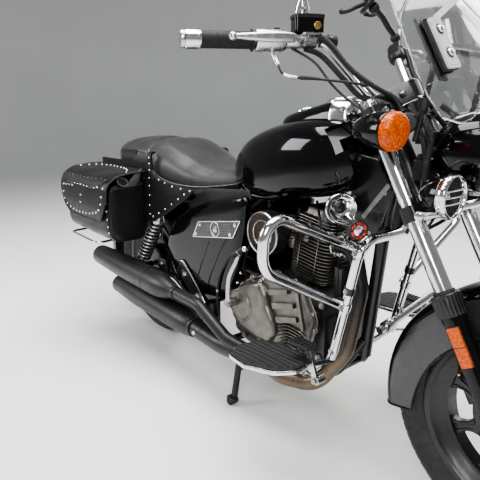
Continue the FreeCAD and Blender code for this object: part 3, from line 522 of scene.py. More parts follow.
# pale grey piping: its paleness is a painted highlight along the bead
plain("piping_painted_highlight", (0.11, 0.11, 0.115), 0.28, 0.2, (0.8, 1.2), 40.0, 0.1, 900.0, 0.0002, spec=0.6)
plain("fin_edge", (0.16, 0.155, 0.15), 0.36, 0.25, (0.8, 1.3), 60.0, 0.2, 1300.0, 0.0002, metal=1.0)
plain("worn_dark", (0.030, 0.019, 0.012), 0.36, 0.45, (0.7, 1.4), 26.0, 0.1, 900.0, 0.0002, metal=0.3, spec=0.3)
plain("lever_alloy", (0.60, 0.60, 0.595), 0.26, 0.08, (0.8, 1.4), 60.0, 0.08, 900.0, 0.0001, metal=1.0)
plain("steel", (0.34, 0.335, 0.325), 0.32, 0.2, (0.7, 1.4), 50.0, 0.12, 900.0, 0.0002, metal=1.0)
plain("black_cast", (0.011, 0.011, 0.012), 0.36, 0.3, (0.8, 1.3), 60.0, 0.2, 1500.0, 0.0002, coat=0.2, coat_rough=0.25)
plain("fin_bronze", (0.175, 0.155, 0.135), 0.46, 0.35, (0.8, 1.3), 35.0, 0.35, 1200.0, 0.0003, metal=0.75)
plain("rubber", (0.013, 0.013, 0.013), 0.62, 0.3, (0.9, 1.15), 120.0, 0.2, 2500.0, 0.0002)
plain("black_plastic", (0.016, 0.016, 0.017), 0.42, 0.2, (0.85, 1.2), 90.0, 0.3, 2600.0, 0.0001)
plain("dial", (0.010, 0.010, 0.010), 0.5, 0.2, (0.9, 1.1), 90.0)
plain("white_paint", (0.72, 0.72, 0.70), 0.35, 0.06, (0.8, 1.2), 60.0)
plain("red_paint", (0.45, 0.012, 0.010), 0.30, 0.15, (0.8, 1.2), 60.0, coat=0.6)
plain("brass", (0.52, 0.36, 0.14), 0.30, 0.12, (0.8, 1.3), 60.0, 0.08, 900.0, 0.0001, metal=1.0)
plain("grey_strip", (0.20, 0.20, 0.195), 0.36, 0.15, (0.8, 1.2), 60.0, 0.1, 1400.0, 0.0001, metal=0.4)
plain("tan_ring", (0.16, 0.085, 0.05), 0.45, 0.25, (0.8, 1.2), 90.0, 0.15, 900.0, 0.0002, metal=0.5)
plain("cable", (0.010, 0.010, 0.010), 0.40, 0.2, (0.85, 1.2), 90.0, 0.1, 1500.0, 0.0001)
plain("reflector", (0.42, 0.42, 0.42), 0.15, 0.1, (0.8, 1.3), 80.0, metal=1.0)
plain("grey_lens", (0.16, 0.16, 0.155), 0.25, 0.1, (0.8, 1.3), 90.0, coat=0.6)


def leather_like(name, base, rough, cell, depth, wear=0.4, big=7.0, spec=0.45):
    """Grained hide: cells and fine pores, duller and paler where it is rubbed."""
    m, nt, b = shader(name, base, rough, spec=spec, sheen=0.02)
    vec = coords(nt)
    slow = noise(nt, big, 6.0, 0.62, vec)
    lo = tuple(c * 0.62 for c in base)
    hi = tuple(min(1, c * (1.35 + wear)) for c in base)
    nt.links.new(ramp(nt, slow, [(0.30, lo), (0.55, base), (0.80, hi)]), b.inputs["Base Color"])
    rough_from(nt, b, noise(nt, big * 6, 6.0, 0.7, vec), rough * 0.82, min(1, rough * 1.2))
    v1 = node(nt, "ShaderNodeTexVoronoi", Scale=cell, feature="DISTANCE_TO_EDGE")
    nt.links.new(vec, v1.inputs["Vector"])
    e = ramp(nt, v1.outputs["Distance"], [(0.0, 0.0), (0.12, 0.8), (0.5, 1.0)])
    n1 = bump_from(nt, b, e, 0.35, depth)
    n2 = bump_from(nt, b, noise(nt, cell * 3.0, 3.0, 0.6, vec), 0.22, depth, n1)
    bump_from(nt, b, noise(nt, big * 2.2, 3.0, 0.5, vec), 0.25, 0.004, n2)
    return m


leather_like("leather", (0.0080, 0.0076, 0.0076), 0.36, 700.0, 0.0003, spec=0.28)
# paler hide for the gusset's roll and flap: a painted highlight
leather_like("flap_leather_painted_highlight", (0.075, 0.073, 0.072), 0.34, 700.0, 0.0003)
leather_like("leather_trim", (0.011, 0.0105, 0.0105), 0.46, 700.0, 0.0004)
leather_like("vinyl", (0.030, 0.030, 0.0305), 0.35, 900.0, 0.0003, 0.25, 4.0)

# tyre rubber, dusty in the low places
m, nt, b = shader("tyre", (0.017, 0.0165, 0.016), 0.68)
f = noise(nt, 18.0, 6.0)
nt.links.new(ramp(nt, f, [(0.3, (0.011, 0.011, 0.011)), (0.75, (0.028, 0.027, 0.026))]), b.inputs["Base Color"])
rough_from(nt, b, noise(nt, 60.0, 5.0), 0.55, 0.8)
bump_from(nt, b, noise(nt, 1500.0, 3.0), 0.25, 0.0003)

# silencer finish: heat-proof black, greyer and duller towards the rear
m, nt, b = shader("black_matt", (0.014, 0.014, 0.0148), 0.40)
g = node(nt, "ShaderNodeTexCoord")
sx = node(nt, "ShaderNodeSeparateXYZ")
nt.links.new(g.outputs["Object"], sx.inputs["Vector"])
mr = node(nt, "ShaderNodeMapRange")
for k, v in (("From Min", -0.9), ("From Max", 0.1), ("To Min", 0.75), ("To Max", 0.25)):
    mr.inputs[k].default_value = v
nt.links.new(sx.outputs["X"], mr.inputs["Value"])
mx = node(nt, "ShaderNodeMath", operation="ADD")
ns = node(nt, "ShaderNodeMath", operation="MULTIPLY_ADD")
nt.links.new(noise(nt, 22.0, 6.0), ns.inputs[0])
ns.inputs[1].default_value, ns.inputs[2].default_value = 0.6, -0.3
nt.links.new(mr.outputs["Result"], mx.inputs[0])
nt.links.new(ns.outputs[0], mx.inputs[1])
nt.links.new(ramp(nt, mx.outputs[0], [(0.2, (0.010, 0.010, 0.010)), (0.5, (0.016, 0.016, 0.0155)), (0.9, (0.036, 0.034, 0.032))]), b.inputs["Base Color"])
rough_from(nt, b, noise(nt, 90.0, 6.0), 0.32, 0.52)
bump_from(nt, b, noise(nt, 1300.0, 3.0), 0.2, 0.0002)

# header pipe: black above, straw and brown where the heat has burnt it
m, nt, b = shader("header", (0.10, 0.078, 0.058), 0.42, metal=0.45)
g = node(nt, "ShaderNodeTexCoord")
sx = node(nt, "ShaderNodeSeparateXYZ")
nt.links.new(g.outputs["Object"], sx.inputs["Vector"])
ns = node(nt, "ShaderNodeMath", operation="MULTIPLY_ADD")
nt.links.new(noise(nt, 16.0, 6.0), ns.inputs[0])
ns.inputs[1].default_value = 0.14
nt.links.new(sx.outputs["Z"], ns.inputs[2])
nt.links.new(ramp(nt, ns.outputs[0], [(0.26, (0.105, 0.078, 0.056)), (0.33, (0.165, 0.118, 0.080)), (0.42, (0.070, 0.056, 0.047)), (0.55, (0.024, 0.023, 0.022))]), b.inputs["Base Color"])
rough_from(nt, b, noise(nt, 70.0, 6.0), 0.26, 0.46)
bump_from(nt, b, noise(nt, 1100.0, 3.0), 0.12, 0.0002)

# moulded lenses with a cell pattern and a faint painted glow in their own colour
def lens(name, base, cells, rough=0.14):
    m, nt, b = shader(name, base, rough, coat=0.35, coat_rough=0.04, trans=0.10, ior=1.46, spec=0.3)
    # painted glow: the lens gives off a little light of its own colour, though it is not lit
    b.inputs["Emission Color"].default_value = (*base, 1)
    b.inputs["Emission Strength"].default_value = 0.03
    v = node(nt, "ShaderNodeTexVoronoi", Scale=cells, feature="F1")
    nt.links.new(coords(nt), v.inputs["Vector"])
    lo = tuple(c * 0.42 for c in base)
    nt.links.new(ramp(nt, v.outputs["Distance"], [(0.0, base), (0.75, lo)]), b.inputs["Base Color"])
    bump_from(nt, b, v.outputs["Distance"], 0.9, 0.0012)
    rough_from(nt, b, noise(nt, 200.0, 3.0), rough * 0.8, rough * 1.4)
    return m


lens("amber", (0.86, 0.130, 0.0), 190.0)
lens("red_lens", (0.50, 0.010, 0.008), 240.0)

# clear sheet: bare tint, a little haze and fine wipe marks
m, nt, b = shader("clear", (0.90, 0.92, 0.91), 0.02, trans=1.0, alpha=0.42, ior=1.47)
nt.links.new(ramp(nt, noise(nt, 5.0, 5.0), [(0.3, (0.84, 0.86, 0.85)), (0.7, (0.93, 0.95, 0.94))]), b.inputs["Base Color"])
rough_from(nt, b, noise(nt, 40.0, 8.0, 0.7, None, (1, 6, 1)), 0.01, 0.07)
m, nt, b = shader("lamp_glass", (0.93, 0.95, 0.95), 0.02, trans=1.0, alpha=0.55, ior=1.47)
nt.links.new(ramp(nt, noise(nt, 12.0, 4.0), [(0.3, (0.88, 0.90, 0.90)), (0.7, (0.96, 0.97, 0.97))]), b.inputs["Base Color"])
w = node(nt, "ShaderNodeTexWave", Scale=34.0, bands_direction="Y")
nt.links.new(coords(nt), w.inputs["Vector"])
bump_from(nt, b, w.outputs["Fac"], 0.5, 0.0015)

# black casting, paler in random patches, for the engine covers
m, nt, b = shader("engine_satin", (0.055, 0.055, 0.056), 0.34, metal=0.85)
nt.links.new(ramp(nt, noise(nt, 10.0, 6.0), [(0.3, (0.035, 0.035, 0.036)), (0.55, (0.06, 0.06, 0.061)), (0.8, (0.10, 0.10, 0.10))]), b.inputs["Base Color"])
rough_from(nt, b, noise(nt, 55.0, 6.0), 0.24, 0.44)
bump_from(nt, b, noise(nt, 1100.0, 3.0), 0.25, 0.0002)

# brushed tube
m, nt, b = shader("brushed", (0.46, 0.46, 0.455), 0.27, metal=1.0)
br = noise(nt, 60.0, 4.0, 0.6, None, (1, 1, 30))
nt.links.new(ramp(nt, br, [(0.3, (0.36, 0.36, 0.355)), (0.7, (0.56, 0.56, 0.55))]), b.inputs["Base Color"])
rough_from(nt, b, br, 0.20, 0.36)
bump_from(nt, b, br, 0.10, 0.0002)

# ------------------------------------------------------------- finishes of the CAD nodes
FINISH = {
    "front_tyre": "tyre", "rear_tyre": "tyre", "front_wheel": "black_cast", "rear_wheel": "black_cast",
    "front_brake_disc": "steel", "brake_caliper": "cast_alloy", "rear_sprocket": "steel", "drive_chain": "steel",
    "fork_tubes": "chrome", "fork_sliders": "black_satin", "triple_clamps": "black_satin", "handlebar": "chrome",
    "grips": "rubber", "hand_levers": "lever_alloy", "hand_controls": "lever_alloy", "mirrors": "chrome",
    "control_cables": "cable", "headlight": "black_gloss", "front_indicators": "amber", "aux_lamps": "chrome",
    "windscreen": "clear", "screen_mounts": "black_satin", "front_fender": "black_gloss", "rear_fender": "black_gloss",
    "frame_spine": "black_satin", "frame_cradle": "black_satin", "swingarm": "black_satin", "rear_shocks": "chrome",
    "engine_case": "black_cast", "engine_covers": "cast_alloy", "cylinder": "fin_bronze", "carburettor": "black_cast",
    "air_cleaner": "chrome", "fuel_tank": "black_gloss", "tank_console": "black_gloss", "neck_covers": "black_satin",
    "seat": "vinyl", "passenger_pad": "vinyl", "side_covers": "black_gloss", "exhaust_header": "header",
    "silencer_upper": "black_matt", "silencer_lower": "black_matt", "guard_hoop": "chrome", "guard_left": "chrome",
    "guard_right": "chrome", "floorboards": "black_powder", "foot_pedals": "dull_chrome", "kick_starter": "brushed",
    "centre_stand": "black_powder", "side_stand": "black_powder", "saddlebag_left": "leather", "saddlebag_right": "leather",
    "lid_left": "leather", "lid_right": "leather", "saddlebag_yokes": "leather", "passenger_pegs": "black_satin",
    "horn": "chrome", "tail_light": "red_lens", "rear_indicators": "amber", "plate_bracket": "black_satin",
}
for name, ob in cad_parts.items():
    mat = MAT[FINISH.get(name, "black_satin")]
    if not ob.data.materials:
        ob.data.materials.append(mat)
    for i in range(len(ob.data.materials)):
        ob.data.materials[i] = mat

# ============================================================= wheels and tyres
def tyre_part(c, R, w, bead_r, bead_w, steps, rear=False):
    h, b = w / 2.0, bead_w / 2.0
    side = bead_r + 0.52 * (R - bead_r)
    edge = R - 0.20 * (R - bead_r)
    wall = [(b, bead_r), (b + 0.4, bead_r + 12), ((b + h + 5) / 2, (bead_r + 12 + side) / 2 - 2), (h, side), (h * 0.965, (side + edge) / 2)]
    half = []
    sm = smooth([A(*q) for q in wall] + [A(h * 0.80, edge)], 4)[:-1]
    for q in sm:
        half.append((q[0], q[1], 0))
    # raised bands on the sidewall
    half = [(y + (0.8 if bead_r + 18 < r < bead_r + 24 or side + 8 < r < side + 14 else 0), r, 0) for y, r, _ in half]
    # crown from the shoulder to the middle
    y0, r0 = h * 0.80, edge
    rc = ((y0 ** 2) / (R - r0) + (R - r0)) / 2
    for i in range(13):
        y = y0 * (1 - i / 13.0)
        half.append((y, R - rc + sqrt(rc * rc - y * y), 1))
    prof = half + [(0.0, R, 1)] + [(-y, r, t) for y, r, t in reversed(half)]
    n = steps
    rs = []
    for i, (y, r, tread) in enumerate(prof):
        a = np.arange(n) * 2 * pi / n
        rr = np.full(n, r)
        yy = abs(y)
        if tread:
            k = (np.arange(n) + int(yy * (0.16 if not rear else 0.22)) + (0 if y >= 0 else 3)) % 6
            if yy < 3.4:
                rr = rr - 4.5
            elif yy > y0 * 0.26:
                rr = np.where(k == 0, r - 5.0, rr)
            if y0 * 0.50 < yy < y0 * 0.585:
                rr = np.where((np.arange(n) // 6) % 2 == 0, r - 4.0, rr)
        rs.append(np.stack([c[0] + rr * np.cos(a), np.full(n, y), c[1] + rr * np.sin(a)], 1))
    inner = [(-b + 2, bead_r + 3), (b - 2, bead_r + 3)]
    for y, r in inner:
        a = np.arange(n) * 2 * pi / n
        rs.append(np.stack([c[0] + r * np.cos(a), np.full(n, y), c[1] + r * np.sin(a)], 1))
    return fix(*rings(rs, loop=True))


Piece("front_tyre_tread").add("tyre", tyre_part(AXF, 302.0, 108.0, 206.0, 84.0, 432)).make("front_wheel", ["front_tyre"], "tyre", angle=30)
Piece("rear_tyre_tread").add("tyre", tyre_part(AXR, 307.5, 128.0, 193.0, 98.0, 432, True)).make("rear_wheel", ["rear_tyre"], "tyre", angle=30)


def wheel_parts(c, rim_r, rim_h, hub_r, hub_h, hole, win0, win1, thick):
    o, ax = A(c[0], 0, c[1]), A(0, 1, 0)
    h = rim_h
    prof = [(-h - 5, rim_r - 6), (-h - 5, rim_r + 7), (-h - 3.5, rim_r + 9), (-h - 1.6, rim_r + 8), (-h - 0.7, rim_r - 0.4), (h + 0.7, rim_r - 0.4),
            (h + 1.6, rim_r + 8), (h + 3.5, rim_r + 9), (h + 5, rim_r + 7), (h + 5, rim_r - 6), (h + 1, rim_r - 10), (h - 5, rim_r - 14), (h - 9, rim_r - 22),
            (h - 17, rim_r - 30), (h - 22, win1), (-h + 22, win1), (-h + 17, rim_r - 30), (-h + 9, rim_r - 22), (-h + 5, rim_r - 14), (-h - 1, rim_r - 10)]
    parts = [fix(*revolve(prof, o, ax, 96, loop=True))]
    t = thick / 2.0
    hub = [(-hub_h, hole), (-hub_h, hub_r * 0.72), (-hub_h + 2, hub_r * 0.8), (-hub_h + 5, hub_r), (-t - 12, hub_r + 1), (-t - 6, hub_r + 6), (-t - 1, hub_r + 16), (-t + 2, win0 - 20),
           (-t, win0 - 12), (-t, win0 - 2), (-t + 2, win0), (t - 2, win0), (t, win0 - 2), (t, win0 - 12), (t - 2, win0 - 20), (t + 1, hub_r + 16), (t + 6, hub_r + 6),
           (t + 12, hub_r + 1), (hub_h - 5, hub_r), (hub_h - 2, hub_r * 0.8), (hub_h, hub_r * 0.72), (hub_h, hole)]
    if hub_r + 16 > win0 - 20:
        hub = [(-hub_h, hole), (-hub_h, hub_r - 6), (-hub_h + 4, hub_r), (-t - 4, hub_r), (-t, hub_r + 6), (-t, win0 - 2), (-t + 2, win0), (t - 2, win0), (t, win0 - 2), (t, hub_r + 6),
               (t + 4, hub_r), (hub_h - 4, hub_r), (hub_h, hub_r - 6), (hub_h, hole)]
    parts.append(fix(*revolve(hub, o, ax, 72, loop=True)))
    for i in range(9):
        a = 2 * pi * i / 9 + 0.12
        d, s = A(cos(a), 0, sin(a)), A(-sin(a), 0, cos(a))
        stations = [(win0 - 6, 24, t), (win0 + 4, 17, t), (win0 + 14, 12.5, t - 1), ((win0 + win1) / 2, 11, t - 2), (win1 - 12, 14, t - 1), (win1 - 2, 21, t), (win1 + 8, 32, t + 1)]
        rs = []
        for r, wdt, th in stations:
            e = 3.0
            pts = [(-wdt, -th + e), (-wdt + e, -th), (-wdt * 0.45, -th), (-wdt * 0.30, -th + 2.5), (wdt * 0.30, -th + 2.5), (wdt * 0.45, -th), (wdt - e, -th), (wdt, -th + e),
                   (wdt, th - e), (wdt - e, th), (wdt * 0.45, th), (wdt * 0.30, th - 2.5), (-wdt * 0.30, th - 2.5), (-wdt * 0.45, th), (-wdt + e, th), (-wdt, th - e)]
            rs.append(np.array([o + d * r + s * p + A(0, 1, 0) * q for p, q in pts]))
        parts.append(fix(*rings(rs)))
    return parts


pw = Piece("front_cast_wheel")
pw.add("black_cast", *wheel_parts(AXF, 206.0, 42.0, 34.0, 41.5, 8.4, 115.0, 167.0, 24.0))
# valve
pw.add("brass", rod(A(1490 - 150, -20, 302 + 84), A(1490 - 138, -46, 302 + 77), 3.0, 10))
pw.make("front_wheel", ["front_wheel"], "black_cast", angle=32)
Piece("rear_cast_wheel").add("black_cast", *wheel_parts(AXR, 193.0, 49.0, 78.0, 54.5, 8.4, 104.0, 156.0, 28.0)).make("rear_wheel", ["rear_wheel"], "black_cast", angle=32)

# brake disc: the ring's drilled holes, drawn as dark discs of painted shade, and the bolts to the carrier
pd = Piece("disc_detail")
for k in range(30):
    a = 2 * pi * k / 30
    for j, r in enumerate((94, 106, 118)):
        aa = a + j * 0.07
        pd.add("dial", revolve([(0, 4.0), (4.7, 4.0)], A(1490 + r * cos(aa), 47.9, 302 + r * sin(aa)), A(0, 1, 0), 12))
for k in range(5):
    a = 2 * pi * k / 5 + 0.3
    pd.add("steel", capscrew(A(1490 + 58 * cos(a), 48.5, 302 + 58 * sin(a)), A(0, 1, 0), 6, 6))
pd.make("front_wheel")
ps = Piece("sprocket_detail")
for k in range(6):
    a = 2 * pi * k / 6
    ps.add("steel", hexbolt(A(58 * cos(a), 81, 312.5 + 58 * sin(a)), A(0, 1, 0), 6, 4))
# thin dark discs for the sprocket's holes: painted shade
for k in range(12):
    a = 2 * pi * (k + 0.5) / 12
    ps.add("dial", revolve([(0, 6.5), (0.4, 6.5)], A(74 * cos(a), 80.9, 312.5 + 74 * sin(a)), A(0, 1, 0), 14))
ps.make("rear_wheel")

# chain: rollers and side plates along both runs
def chain_line():
    c0, c1, r0, r1 = A(0, 0, 312.5), A(690, 0, 330), 92.0, 32.0
    d = c1 - c0
    L = np.linalg.norm(d)
    u = d / L
    nrm = A(-u[2], 0, u[0])
    pts = []
    N = 150
    for i in range(N):
        pts.append(c0 + nrm * (r0 + (r1 - r0) * i / N) + u * L * i / N)
    for i in range(12):
        a = pi * i / 12
        pts.append(c1 + (nrm * cos(a) + u * sin(a)) * r1)
    for i in range(N):
        pts.append(c1 - nrm * (r1 + (r0 - r1) * i / N) - u * L * i / N)
    for i in range(34):
        a = pi * i / 34
        pts.append(c0 + (-nrm * cos(a) - u * sin(a)) * r0)
    return pts


cl = chain_line()
acc, links, last = 0.0, [cl[0]], cl[0]
for q in cl[1:]:
    acc += np.linalg.norm(q - last)
    last = q
    if acc >= 15.875:
        links.append(q)
        acc = 0.0
pc = Piece("chain_links")
for i in range(len(links)):
    a, b = links[i], links[(i + 1) % len(links)]
    d = unit(b - a)
    nn = A(-d[2], 0, d[0])
    outer = i % 2 == 0
    for s in (-1, 1):
        y = 78 + s * (5.4 if outer else 3.9)
        ring = [(a - d * 4 + nn * 3), (a - d * 2 + nn * 6), ((a + b) / 2 + nn * 4.6), (b + d * 2 + nn * 6), (b + d * 4 + nn * 3), (b + d * 4 - nn * 3), (b + d * 2 - nn * 6), ((a + b) / 2 - nn * 4.6), (a - d * 2 - nn * 6), (a - d * 4 - nn * 3)]
        v0 = [p + A(0, y - 0.7, 0) for p in ring]
        v1 = [p + A(0, y + 0.7, 0) for p in ring]
        pc.add("steel", fix(*rings([np.array(v0), np.array(v1)])))
    pc.add("steel", rod(a + A(0, 73, 0), a + A(0, 83, 0), 3.6, 8))
pc.make("chassis", ["drive_chain"], "steel", angle=30)

# ============================================================= fork
AXL = -35.0 * tan(radians(30))
pf = Piece("fork_legs")
pb_ = Piece("fork_brightwork")
for s in (-1, 1):
    y = s * 107.0
    o = S(35, y, 0)
    pf.add("black_gloss", revolve([(AXL - 12, 0), (AXL - 12, 19), (AXL - 8, 24), (AXL + 4, 26.3), (40, 26.5), (60, 25.2), (236, 25.2), (244, 26.5), (252, 26.5)], o, UP_AXIS, 40))
    ribs = lambda j, h, r: (-1.6 if (j // 2) % 2 else 0.0) if 255 < h < 296 else 0.0
    pf.add("black_satin", revolve([(252, 25.5), (252.5, 29.5), (255.5, 30.6), (256, 31), (295, 31), (296.5, 30.2), (299.5, 28.5), (300, 24), (301.8, 21.5), (302, 19.3)], o, UP_AXIS, 96, mod=ribs))
    pf.add("rubber", revolve([(300.2, 19.2), (300.2, 23.5), (304, 22.8), (307, 20.6), (307, 19.2)], o, UP_AXIS, 36))
    # lug for the axle, with its pinch bolt
    pf.add("black_gloss", revolve([(-26, 0), (-26, 19), (-24, 21), (24, 21), (26, 19), (26, 0)], A(1490, y, 302), A(0, 1, 0), 36))
    pf.add("chrome", capscrew(S(60, y, AXL + 6), FW_AXIS, 5, 5))
    pf.add("chrome", capscrew(S(35, y, AXL - 12) , -UP_AXIS, 7, 3))
    # axle nut
    pb_.add("chrome", hexbolt(A(1490, s * 133.2, 302), A(0, s, 0), 11.5, 8))
    pb_.add("steel", rod(A(1490, s * 53.6, 302), A(1490, s * 84, 302), 13.8, 28, 1.5))
    # fender lugs
    pf.add("black_satin", place(fix(*block(-17, 17, -6, 6, 198, 235)), FW_AXIS, A(0, 1, 0), UP_AXIS, S(35, s * 76, 0)))
    # two-part reflector on the outer side
    face = place(prism(round2([(-12.5, -41), (12.5, -41), (12.5, 41), (-12.5, 41)], 2.5), "XZ", 0, 5.5), FW_AXIS, A(0, s, 0), UP_AXIS, S(40, s * 133.0, 192))
    pf.add("amber", fix(*face))
    back = place(prism(round2([(-13.5, -42.5), (13.5, -42.5), (13.5, 42.5), (-13.5, 42.5)], 3), "XZ", 0, 3.0), FW_AXIS, A(0, s, 0), UP_AXIS, S(40, s * 130.6, 192))
    pf.add("black_plastic", fix(*back))
    bar = place(prism(round2([(-12.5, -0.9), (12.5, -0.9), (12.5, 0.9), (-12.5, 0.9)], 0.4), "XZ", 0, 5.9), FW_AXIS, A(0, s, 0), UP_AXIS, S(40, s * 133.0, 192))
    pf.add("black_plastic", fix(*bar))
pf.add("steel", rod(A(1490, -134, 302), A(1490, 134, 302), 8.0, 24))
pf.make("steering", ["fork_sliders"], "black_gloss", bevel=0.6, angle=40)
pb_.make("steering", slot="chrome")

# clamp and fork-top hardware
ph = Piece("clamp_hardware")
for s in (-1, 1):
    ph.add("chrome", revolve([(0, 19), (3, 19), (6, 15), (9, 15), (11, 12), (11, 6), (9, 0)], S(35, s * 107, 735), UP_AXIS, 32))
    for z in (470, 486):
        ph.add("steel", capscrew(S(61.8, s * 98, z), FW_AXIS, 5.2, 6))
    ph.add("steel", capscrew(S(61.8, s * 98, 711), FW_AXIS, 5.2, 6))
    for dy in (-14, 14):
        ph.add("dull_chrome", hexbolt(S(6, s * 95 + dy, 460.5), -UP_AXIS, 6, 5))
ph.add("chrome", revolve([(0, 22), (2, 23), (8, 23), (11, 20), (13, 12), (13, 0)], S(0, 0, 725.2), UP_AXIS, 6))
ph.make("steering", slot="chrome", bevel=0.5)

# ============================================================= front fender
def fender(name, mats, c, sect, a0, a1, low, thick, steps, body, node, lip=2.6):
    """sect: half section, outside, (y, r) from the crown to the shoulder. low(angle) is the radius of the skirt's edge."""
    top, sidep = Piece(name), None
    nt_ = len(sect)
    outer, inner = [], []
    side_n = 7
    for i in range(steps + 1):
        a = radians(a0 + (a1 - a0) * i / steps)
        d = A(cos(a), 0, sin(a))
        o = A(c[0], 0, c[1])
        lo = low(a)
        ys, rs = sect[-1]
        full = [(y, r) for y, r in sect]
        for k in range(1, side_n + 1):
            full.append((ys + (1.5 if k < side_n else 1.5) * min(1, k / 3), rs + (min(lo, rs - 2) - rs) * k / side_n))
        row = [(-y, r) for y, r in reversed(full[1:])] + full
        outer.append([o + d * r + A(0, y, 0) for y, r in row])
        inr = []
        for y, r in row:
            yy = abs(y)
            sg = 1 if y >= 0 else -1
            t = min(1, max(0, (yy - sect[0][0]) / max(ys, 1)))
            inr.append(o + d * (r - thick * (1 if yy < ys * 0.85 else 0.3 if r > rs - 1 else 0.0)) + A(0, sg * (yy - thick * (0 if yy < ys * 0.5 else min(1, (yy - ys * 0.5) / (ys * 0.4)))), 0))
        inner.append(inr)
    outer, inner = np.array(outer), np.array(inner)
    m, n = outer.shape[:2]
    v = np.vstack([outer.reshape(-1, 3), inner.reshape(-1, 3)])
    off_ = m * n
    ftop, fside = [], []
    nside = side_n
    for i in range(m - 1):
        for j in range(n - 1):
            q = (i * n + j, i * n + j + 1, (i + 1) * n + j + 1, (i + 1) * n + j)
            (fside if j < nside or j >= n - 1 - nside else ftop).append(q)
            q2 = tuple(off_ + x for x in reversed(q))
            fside.append(q2)
    edge = []
    for j in range(n - 1):
        edge.append((j + 1, j, off_ + j, off_ + j + 1))
        e = (m - 1) * n
        edge.append((e + j, e + j + 1, off_ + e + j + 1, off_ + e + j))
    for i in range(m - 1):
        edge.append((i * n, (i + 1) * n, off_ + (i + 1) * n, off_ + i * n))
        edge.append(((i + 1) * n + n - 1, i * n + n - 1, off_ + i * n + n - 1, off_ + (i + 1) * n + n - 1))
    allf = ftop + fside + edge
    vv, ff = fix(v, allf)
    flip = ff is not allf
    p = top
    p.mats = [mats[0], mats[1]]
    p.v, p.f, p.n = [vv], ff, len(vv)
    p.k = [0] * len(ftop) + [1] * len(fside) + [0] * len(edge)
    # rolled bead round the free edge
    line = [outer[i, -1] for i in range(m)]
    line2 = [outer[i, 0] for i in range(m)]
    if lip:
        loop_ = line + [outer[m - 1, j] for j in range(n - 2, 0, -1)] + line2[::-1] + [outer[0, j] for j in range(1, n - 1)]
        p.add(mats[0], tube(loop_, lip, 8, loop=True))
    return p.make(body, [node], "black_gloss", angle=40)


def front_low(a):
    d = A(cos(a), sin(a))
    o = A(32.7, -46.7)
    k = float(d @ o)
    return k + sqrt(k * k - float(o @ o) + 262.0 ** 2)


F_SECT = [(0, 317.5), (18, 317.2), (34, 316.2), (46, 313.2), (55, 308.6), (61.5, 302.5), (65.5, 296.5), (67.6, 291.0)]
fender("front_mudguard", ("black_gloss", "dark_panel"), AXF, F_SECT, 25.0, 192.0, front_low, 3.5, 96, "steering", "front_fender")
# small bolts that hold the guard
pfb = Piece("front_fender_bolts")
for s in (-1, 1):
    for z in (207, 227):
        for x in (24, 46):
            pfb.add("chrome", hexbolt(S(x, s * 65.2, z), A(0, -s, 0), 4.5, 3.5))
pfb.make("steering")
R_SECT = [(0, 361.8), (26, 361.6), (50, 360.6), (64, 357), (73, 351.5), (79.5, 346), (82.8, 340.5), (83.6, 334)]
fender("rear_mudguard", ("black_gloss", "dark_panel"), (0.0, 334.5), R_SECT, 58.0, 190.0, lambda a: 301.0, 3.5, 84, "chassis", "rear_fender", 2.2)

# calliper: two halves with rounded edges, pistons and bolts
pcal = Piece("calliper_body")
def loc(part):
    return fix(*place(part, FW_AXIS, A(0, 1, 0), UP_AXIS, S(0, 0, 0)))
pcal.add("cast_alloy", loc(prism(round2([(-83, 20), (-31, 20), (-31, 92), (-83, 92)], 12), "XZ", 34.5, 46.8)),
         loc(prism(round2([(-83, 20), (-31, 20), (-31, 92), (-83, 92)], 12), "XZ", 53.7, 73.5)),
         loc(block(-105, -95, 34.5, 73.5, 22, 90)), loc(block(-97, -83, 34.5, 46.8, 22, 90)), loc(block(-97, -83, 53.7, 73.5, 22, 90)),
         loc(block(-45, 6, 69, 77.5, 32, 82)))
for z in (40, 70):
    pcal.add("black_cast", loc(revolve([(0, 15), (2.5, 15), (4, 12), (4, 0)], A(-58, 73.4, z), A(0, 1, 0), 24)))
for z in (28, 84):
    pcal.add("steel", loc(capscrew(A(-92, 73.4, z), A(0, 1, 0), 4.5, 4)))
pcal.make("steering", ["brake_caliper"], "cast_alloy", bevel=1.5, seg=3)

# ============================================================= handlebar controls
BARP = [A(1104, 0, 968), A(1104, -80, 968), A(998, -137, 1098), A(854, -420, 1095)]
G0, G1 = BARP[2], BARP[3]
GD = unit(G1 - G0)                       # outward along the grip
def og(mm):
    return G1 - GD * mm
FWD = unit(np.cross(A(0, 0, 1), GD))
FWD = FWD if FWD[0] > 0 else -FWD
UPG = unit(np.cross(GD, FWD))
UPG = UPG if UPG[2] > 0 else -UPG
def off(mm, f=0.0, u=0.0):
    return og(mm) + FWD * f + A(0, 0, u)


pg = Piece("handgrips")
rib = [(153, 18.0), (150, 23.5), (148.4, 24), (147, 23.5), (146.6, 18.6)]
k = 146.0
while k > 37:
    rib += [(k, 18.5), (k - 2.2, 18.5), (k - 2.5, 17.5), (k - 3.7, 17.5)]
    k -= 4.0
rib += [(35.2, 18.4), (35.2, 11.2)]
gr = revolve([(-h, r) for h, r in [(153.0, 11.4)] + rib], G1, GD, 36)
wt = revolve([(-35, 11.3), (-35, 20.2), (-33.5, 21), (-30, 21), (-29, 20), (-27.5, 20), (-26.5, 21), (-2, 21), (-0.4, 20), (-0.3, 16)], G1, GD, 40)
cp = revolve([(-0.3, 18), (0, 19), (6, 19), (9, 17.5), (10, 14.5), (10, 0)], G1, GD, 40)
pg.both("rubber", fix(*gr)).both("chrome", fix(*wt)).both("dull_chrome", fix(*cp))
pg.make("steering", ["grips"], "rubber", angle=30)

pk = Piece("bar_sleeves")
pk.both("rubber", fix(*revolve([(-346, 11.2), (-346, 12.6), (-344, 13.2), (-303, 13.2), (-301, 12.6), (-301, 11.2)], G1, GD, 28)))
pk.both("black_satin", fix(*revolve([(-334, 13.2), (-334, 15.5), (-326, 15.5), (-326, 13.2)], G1, GD, 28)))
pk.make("steering")

